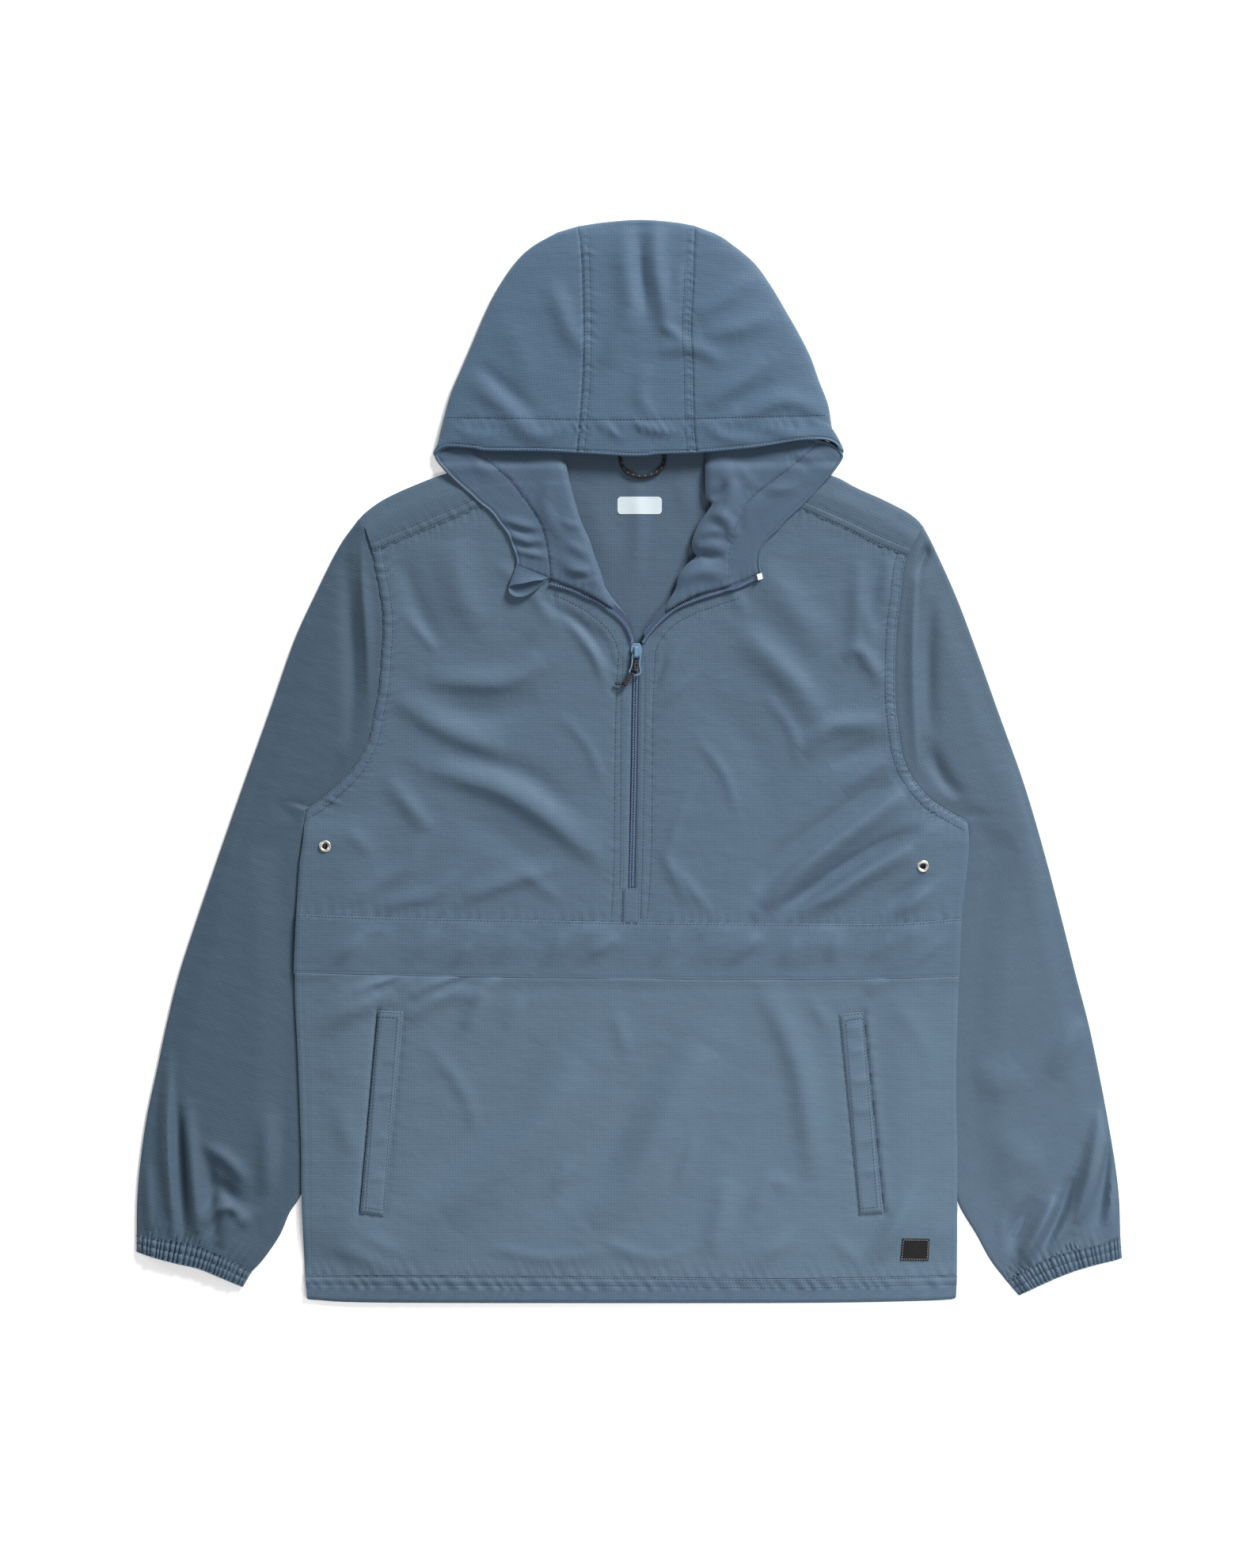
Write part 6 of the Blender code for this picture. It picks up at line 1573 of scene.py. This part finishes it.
def bodies(name, runs, settings, replaces=(), turns=None):
    """Set bodies along the runs with the tree, and keep the result as one plain mesh. A run's turn is kept
    as the tilt of its points, which the tree reads."""
    data = bpy.data.curves.new(name, "CURVE")
    data.dimensions = "3D"
    for run, turn in zip(runs, turns or [0.0] * len(runs)):
        spline = data.splines.new("POLY")
        spline.points.add(len(run) - 1)
        for target, point in zip(spline.points, run):
            target.co = (point[0] * MM, point[1] * MM, point[2] * MM, 1)
            target.tilt = turn
    source = bpy.data.objects.new(name + "_rows", data)
    bpy.context.collection.objects.link(source)
    grow = source.modifiers.new("rows", "NODES")
    grow.node_group = ROW_TREE
    for socket in ROW_TREE.interface.items_tree:
        if socket.in_out == "INPUT" and socket.name in settings:
            grow[socket.identifier] = settings[socket.name]
    scene_now = bpy.context.evaluated_depsgraph_get()
    mesh = bpy.data.meshes.new_from_object(source.evaluated_get(scene_now))
    mesh.name = name
    bpy.data.objects.remove(source, do_unlink=True)
    print(name, sum(len(p.vertices) - 2 for p in mesh.polygons), "triangles")
    put_in(name, mesh, replaces=replaces)


# %% [markdown]
# ### Where the stitches run
#
# Each row is a line in plan that is dropped onto the shells below it. Most seams have two rows: one in the
# seam allowance's edge and one close to the seam. A stitch is 2.3 mm long at a pitch of 3 mm.

# %% Stitch rows
YOKE_ROW = 7.2                    # how far in from its seam a yoke's second row lies


def loop_inside(corners, inset):
    """A closed row inside a four-cornered piece."""
    corners = np.array(corners, dtype=float)
    middle = corners.mean(axis=0)
    away = corners - middle
    size = np.abs(away).max(axis=0)
    ring = middle + away * (1 - inset / size)
    return np.vstack([ring, ring[:1]])


FRONTS = ["front_left_cloth", "front_right_cloth"]
body_rows = []
for line, sign in ((arm_left, -1), (arm_right, 1)):
    for distance in ARMHOLE_ROWS:
        body_rows += drop(moved(line, sign * distance), FRONTS)
for line in (ROW_PLACKET_LO, LEFT_TURN, ROW_PLACKET_LI, ROW_PLACKET_RI, ROW_PLACKET_RO, RIGHT_TURN):
    body_rows += drop(smooth(line), FRONTS)
for line, sign in ((YOKE_SEAM_LEFT, 1), (YOKE_SEAM_RIGHT, -1)):
    for distance in (ARMHOLE_ROWS[0], YOKE_ROW):
        body_rows += drop(moved(smooth(line), sign * distance), ["yoke_left_cloth", "yoke_right_cloth"])
body_rows += drop(moved(smooth(FLAP_TOP), -1.6), ["flap_cloth"])
for shift in (-1.6, -8.0):
    body_rows += drop(moved(smooth(HEM_SEAM), shift), ["hem_front_cloth"])
for corners, name in ((WELT_LEFT, "welt_left_cloth"), (WELT_RIGHT, "welt_right_cloth")):
    for inset in (1.5, 5.5):
        body_rows += drop(loop_inside(corners, inset), [name])
body_rows += drop(loop_inside(ZIP_BOX, 1.2), ["zip_box_cloth"])
STITCH = {"Pitch": 0.0030, "Along": 0.0023, "Across": 0.0006, "Height": 0.0005, "Sides": 6, "Uneven": 0.08,
          "Material": THREAD}
bodies("stitches_body", body_rows, STITCH)

hood_rows = []
HOOD_SHELLS = ["hood_left_cloth", "hood_right_cloth", "hood_centre_cloth"]
for line, sign in ((HOOD_SEAM_LEFT, -1), (HOOD_SEAM_RIGHT, 1)):
    for distance in HOOD_ROWS:
        hood_rows += drop(moved(smooth(line), sign * distance)[:-8], HOOD_SHELLS)
hood_rows += drop(smooth([(-160, 304), (0, 302), (172, 306)]), HOOD_SHELLS)
hood_rows += drop(moved(smooth(HOOD_MOUTH[2:-2]), 2.0), HOOD_SHELLS)
for side, line in CASING_LINES.items():
    hood_rows += drop(smooth(line), ["lapel_" + side + "_cloth"])
for side, line, distance in (("left", LAPEL_EDGE_LEFT, 1.8), ("right", LAPEL_EDGE_RIGHT, -1.8),
                             ("left", TAPE_LEFT, -1.6), ("right", TAPE_RIGHT, 1.6)):
    hood_rows += drop(moved(smooth(line), distance), ["lapel_" + side + "_cloth"])
bodies("stitches_hood", hood_rows, STITCH)

arm_rows = []
for side, seam, end in (("left", CUFF_SEAM_LEFT, CUFF_END_LEFT),
                        ("right", CUFF_SEAM_RIGHT, CUFF_END_RIGHT)):
    first, last = even(seam, 60), even(end, 60)
    for share in CUFF_STITCHES:
        arm_rows += drop(first + (last - first) * share, ["cuff_" + side + "_cloth"])
bodies("stitches_cuffs", arm_rows, STITCH)

# %% [markdown]
# ### Zip teeth
#
# A coil zip's teeth are turns of one plastic wire. Closed, the two coils mesh in a row of chevrons, so its
# two rows lie half a pitch apart and lean against each other. Each open end has one row.

# %% Coil
PITCH = 1.5
COIL_APART = 1.05                 # how far each closed coil lies from the zip's line
COIL_HEIGHT = 4.75
OPEN_HEIGHT = 1.9                 # height of an open coil above the chest
CURVE_STEPS = 139
TOOTH = {"Pitch": PITCH * MM, "Along": 0.001, "Height": 0.0013, "Sides": 8, "Uneven": 0.02,
         "Material": COIL}


def lifted(line, height, cut=0.0):
    """A plan line with one height, or a height by place; cut shortens its start."""
    curve = along(line, CURVE_STEPS + 1)
    z = height(curve[:, 0], curve[:, 1]) if callable(height) else np.full(len(curve), height)
    start = int(round(cut / (run_of(line)[-1] / CURVE_STEPS)))
    return [tuple(point) for point in np.column_stack([curve, z])[start:]]


def open_coil(side, chain):
    row = lifted(smooth(chain), lambda x, y: front_height(x, y) + OPEN_HEIGHT)
    bodies("zip_teeth_" + side, [row], {**TOOTH, "Across": 0.0034},
           replaces=["zip_coil_" + side], turns=[0.18])


middle = even(ZIP_LINE, 300)
closed_rows = [lifted(moved(middle, COIL_APART), COIL_HEIGHT),
               lifted(moved(middle, -COIL_APART), COIL_HEIGHT, PITCH / 2 + 0.75)]
bodies("zip_teeth_closed", closed_rows, {**TOOTH, "Across": 0.0026},
       replaces=["zip_coil"], turns=[-0.5, 0.5])
open_coil("left", CHAIN_LEFT)
open_coil("right", CHAIN_RIGHT)

# %% [markdown]
# ## Cords
#
# The hanger loop and the zip's pull cord are round braids. A tube is swept along each route, with a UV map
# that runs round it and along it, so the braid's flecks sit on the cord wherever it bends. A knot is the
# same cord wound round the strand.

# %% Tubes
CORD_SIDES = 14
CAP = [(0.42, 0.9), (0.75, 0.66)]


def ring_faces(rows, sides, closed=False):
    """Squares between rings of points; a closed set joins the last ring to the first."""
    faces = []
    for row in range(rows if closed else rows - 1):
        first, second = row * sides, (row + 1) % rows * sides
        for column in range(sides):
            after = (column + 1) % sides
            faces.append((first + column, first + after, second + after, second + column))
    return faces


def mesh_in_mm(name, points, faces):
    mesh = bpy.data.meshes.new(name)
    mesh.from_pydata((np.array(points) * MM).tolist(), [], faces)
    return mesh


def sweep(name, route, radius, look, body=GARMENT, step=0.8, replaces=()):
    """A round tube through a route in mm, with rounded ends."""
    curve = smooth(route, 16)
    run = run_of(curve)
    at = np.linspace(0, run[-1], max(8, int(run[-1] / step)))
    path = np.stack([np.interp(at, run, curve[:, axis]) for axis in range(3)], axis=1)
    way = np.gradient(path, axis=0)
    way /= np.linalg.norm(way, axis=1)[:, None]
    side = np.cross(way[0], (0.3, 0.2, 1.0))
    rings = []
    for centre, ahead, place in zip(path, way, at):
        side = side - ahead * (side @ ahead)
        side /= np.linalg.norm(side)
        rings.append((centre, side, np.cross(ahead, side), 1.0, place))

    def cap(ring, ahead, rounds):
        centre, one, other, _, place = ring
        return [(centre + ahead * radius * out, one, other, size, place + radius * out)
                for out, size in rounds]

    rings = (cap(rings[0], way[0], [(-out, size) for out, size in reversed(CAP)]) + rings
             + cap(rings[-1], way[-1], CAP))
    points = [centre + (one * math.cos(turn) + other * math.sin(turn)) * radius * size
              for centre, one, other, size, place in rings
              for turn in np.arange(CORD_SIDES) * 2 * math.pi / CORD_SIDES]
    uvs = []
    for low, high in zip(rings, rings[1:]):
        v0, v1 = low[4] * MM, high[4] * MM
        for column in range(CORD_SIDES):
            u0, u1 = column / CORD_SIDES, (column + 1) / CORD_SIDES
            uvs += [(u0, v0), (u1, v0), (u1, v1), (u0, v1)]
    faces = ring_faces(len(rings), CORD_SIDES)
    for ring, columns in ((0, range(CORD_SIDES)[::-1]), (len(rings) - 1, range(CORD_SIDES))):
        faces.append(tuple(ring * CORD_SIDES + column for column in columns))
        uvs += [(column / CORD_SIDES, rings[ring][4] * MM) for column in columns]
    mesh = mesh_in_mm(name, points, faces)
    layer = mesh.uv_layers.new(name="cord")
    for corner, uv in zip(layer.data, uvs):
        corner.uv = uv
    mesh.shade_smooth()
    print(name, round(run[-1], 1), "mm long,", len(faces) * 2, "triangles")
    return put_in(name, mesh, look, body, replaces), path * MM, run[-1] * MM


def knot_route(place, way, major, rise, turns=1.35, steps=30):
    """A few turns of cord round a strand."""
    axis = np.array(way, dtype=float) / np.linalg.norm(way)
    one = np.cross(axis, (0.2, 0.1, 1.0))
    one /= np.linalg.norm(one)
    other = np.cross(axis, one)
    route = []
    for step in range(steps + 1):
        share = step / steps
        turn = 2 * math.pi * turns * share
        route.append(np.array(place) + (one * math.cos(turn) + other * math.sin(turn)) * major
                     + axis * rise * (share - 0.5))
    return route


# %% Hang loop and pull cord
LOOP_HEIGHT = 2.85
loop, loop_path, loop_length = sweep("hang_loop_cord", [(x, y, LOOP_HEIGHT) for x, y in LOOP_ROUTE], 1.45,
                                     LOOP_CORD, replaces=["hang_loop"])
PULL_ROUTE = [
    (-12, 68.6, 7.2), (-8, 68.2, 7.6), (-3.8, 69, 8.4), (-0.6, 72.4, 9.6), (2, 76.2, 10.3),
    (4.4, 80.4, 10.3), (4.9, 84.4, 9.3), (5.0, 87.0, 8.6), (5.5, 88.3, 8.3), (6.2, 88.7, 8.3),
    (6.9, 88.3, 8.3), (7.4, 87.0, 8.6), (7.4, 83.6, 9.3),
]
PULL_BODY = "pull_tab"
pull, pull_path, pull_length = sweep("pull_cord", PULL_ROUTE[::-1], 1.0, PULL_CORD, PULL_BODY, 0.5,
                                     ["zip_pull_cord"])
for name, place, way, major, rise, node in (
        ("pull_knot", (4.4, 80.4, 10.3), (1.2, 4, -0.4), 1.75, 2.4, "zip_pull_knot"),
        ("pull_end_knot", (-3.8, 69, 8.4), (3.6, 2.1, 1.0), 1.7, 2.2, "zip_pull_end_knot")):
    (sweep(name, knot_route(place, way, major, rise), 0.85, PULL_CORD, PULL_BODY, 0.5,
                       [node])[0])

# %% [markdown]
# ## Metal, plastic and trim
#
# The slider, its tab and the end stop keep the part's own solids and only get a material. The eyelets are
# turned from a profile, like a real rolled eyelet: a round shoulder, a flat crown and a barrel that goes
# down through the cloth.

# %% Eyelets
EYELET_PROFILE = [
    (5.25, 0.0), (5.27, 0.3), (5.05, 0.62), (4.6, 0.82), (4.1, 0.84), (3.6, 0.7), (3.15, 0.35),
    (2.85, -0.1), (2.75, -1.2), (2.55, -1.2), (2.6, -0.1), (2.9, 0.2), (4.0, 0.2),
]


EYELET_SIDES = 48


def eyelet(name, place, node):
    """A profile turned round a place, resting on the highest cloth around it."""
    round_it = [(place[0] + 5 * math.cos(turn), place[1] + 5 * math.sin(turn))
                for turn in np.linspace(0, 2 * math.pi, 25)]
    base = max(point[2] for run in drop(round_it, FRONTS, 0.1) for point in run)
    points = [(place[0] + radius * math.cos(turn), place[1] + radius * math.sin(turn), base + rise)
              for radius, rise in EYELET_PROFILE
              for turn in np.arange(EYELET_SIDES) * 2 * math.pi / EYELET_SIDES]
    mesh = mesh_in_mm(name, points, ring_faces(len(EYELET_PROFILE), EYELET_SIDES, closed=True))
    mesh.shade_smooth()
    put_in(name, mesh, NICKEL, replaces=[node])
    shape = bmesh.new()
    shape.from_mesh(mesh)
    bmesh.ops.recalc_face_normals(shape, faces=shape.faces)
    shape.to_mesh(mesh)
    shape.free()


eyelet("eyelet_ring_left", EYELET_LEFT, "eyelet_left")
eyelet("eyelet_ring_right", EYELET_RIGHT, "eyelet_right")

# %% Patch, print and the nodes that stay
HEM_PATCH = [(239.5, -441), (264.5, -441.5), (265.5, -422), (241, -421.5)]
pillow("hem_patch_cloth", HEM_PATCH, pouch_height, 0.9, 0.15, PATCH, ["pouch_cloth"], spacing=1.0,
       slot="patch_cloth")
bodies("stitches_patch", drop(loop_inside(HEM_PATCH, 1.3), ["hem_patch_cloth"]),
       {**STITCH, "Pitch": 0.0022, "Along": 0.0018, "Material": PATCH_THREAD})

PRINT_MIDDLE = (9.1, 226.5)
PRINT_HALF = (19.6, 7.7)
CORNER = 3.2
PRINT_ABOVE = 0.3                 # the print's face above the cloth
PRINT_THICK = 0.4


def print_block():
    """A thin plate with round corners, laid on the inside back."""
    outline = []
    for cx, cy, start in ((1, 1, 0), (-1, 1, 90), (-1, -1, 180), (1, -1, 270)):
        for step in range(9):
            turn = math.radians(start + step * 11.25)
            outline.append((PRINT_MIDDLE[0] + cx * (PRINT_HALF[0] - CORNER) + CORNER * math.cos(turn),
                            PRINT_MIDDLE[1] + cy * (PRINT_HALF[1] - CORNER) + CORNER * math.sin(turn)))
    outline = along(np.array(outline + outline[:1]), 97)[:-1]
    shares = np.linspace(1, 0.06, 16)
    count = len(outline)
    tops = [(x, y, top_of("back_cloth", x, y) / MM + PRINT_ABOVE)
            for share in shares for x, y in PRINT_MIDDLE + (outline - PRINT_MIDDLE) * share]
    faces = ring_faces(len(shares), count)
    last = (len(shares) - 1) * count
    faces.append(tuple(range(last, last + count)))
    low = len(shares) * count
    faces += [(low + c, low + (c + 1) % count, (c + 1) % count, c) for c in range(count)]
    faces.append(tuple(range(low + count - 1, low - 1, -1)))
    under = [(x, y, z - PRINT_THICK) for x, y, z in tops[:count]]
    put_in("neck_print", mesh_in_mm("neck_print", tops + under, faces), PRINT)


print_block()
for node, look in (("zip_slider", PAINT), ("zip_pull_tab", PAINT), ("zip_end_stop", STOP)):
    bpy.data.objects[node].material_slots[0].material = look

# %% [markdown]
# ## The casing's open end
#
# The hood's hem is a casing, and at the left lapel's lower corner its end is open. The upper layer stops
# short, and the lower one goes on to a lip that curls up, so one sees a little way into the tube.

# %% Casing end
UPPER_LIP = [(-107, 153.8), (-102.4, 156), (-93.3, 157.3), (-84, 159.4), (-74.3, 160.5)]
LOWER_LIP = [
    (-107, 153.8), (-106.6, 150.5), (-104.6, 147.4), (-99.4, 145.1), (-93, 145.6), (-87.2, 148.2),
    (-80, 153.6), (-74.3, 160.5),
]
LIP_POINTS = 26
seam, upper_lip, lower_lip = (even(line, LIP_POINTS) for line in (CASING_SEAM, UPPER_LIP, LOWER_LIP))
bulge = np.sin(math.pi * np.linspace(0, 1, LIP_POINTS)) ** 0.6
rest = float(front_height(lower_lip[:, 0], lower_lip[:, 1]).max()) + 0.2
rows = []
for share in [0, 0.15, 0.3, 0.45, 0.6, 0.7, 0.78, 0.84, 0.88, 0.91, 0.94, 0.97, 1.0]:
    above = seam + (upper_lip - seam) * share
    below = seam + (lower_lip - seam) * share
    curl = 2.6 * ease((share - 0.84) / 0.16) + 0.5
    high = np.column_stack([above, rest + 1.0 + (0.8 + 3.4 * share ** 2) * bulge])
    low = np.column_stack([below, rest + 1.0 + (curl - 1.2) * bulge])
    rows.append(np.vstack([high, low[::-1][1:-1]]))
piece("casing_end_cloth", np.array(rows), LAPEL_CLOTH, ["front_left_cloth"], ring=True, held="folded")

# %% [markdown]
# ## Floor and light
#
# The white ground is a wide floor just below the cloth. One large lamp stands at the top right, low enough to
# show every fold. A weak one at the left fills the dark flanks, and a small one hangs over the hem.

# %% Stage and light
FLOOR_Z = -0.0006
HALF = 20                         # half the floor's side, in m
floor_mesh = bpy.data.meshes.new("floor")
floor_mesh.from_pydata([(x * HALF, y * HALF, FLOOR_Z) for x, y in ((-1, -1), (1, -1), (1, 1), (-1, 1))], [],
                       [(0, 1, 2, 3)])
floor_mesh.materials.append(FLOOR)
floor = bpy.data.objects.new("floor", floor_mesh)
bpy.context.collection.objects.link(floor)


def area(name, place, target, size, power):
    light = bpy.data.lights.new(name, "AREA")
    light.shape = "DISK"
    light.size = size
    light.energy = power
    lamp = bpy.data.objects.new(name, light)
    lamp.location = place
    lamp.rotation_euler = (Vector(target) - Vector(place)).to_track_quat("-Z", "Y").to_euler()
    bpy.context.collection.objects.link(lamp)


area("key", place=(2.9, 4.3, 2.45), target=(0, 0, 0), size=1.8, power=560)
area("low", place=(-2.9, 1.3, 0.6), target=(0, 0, 0), size=0.9, power=36)
area("near", place=(0.4, -0.8, 1.0), target=(0.2, -0.5, 0), size=0.8, power=9)
world = bpy.data.worlds.new("world")
world.use_nodes = True
sky = world.node_tree.nodes["Background"].inputs
sky["Color"].default_value = (1, 1, 1, 1)
sky["Strength"].default_value = 0.17
bpy.context.scene.world = world
bpy.context.scene.view_settings.view_transform = "Standard"
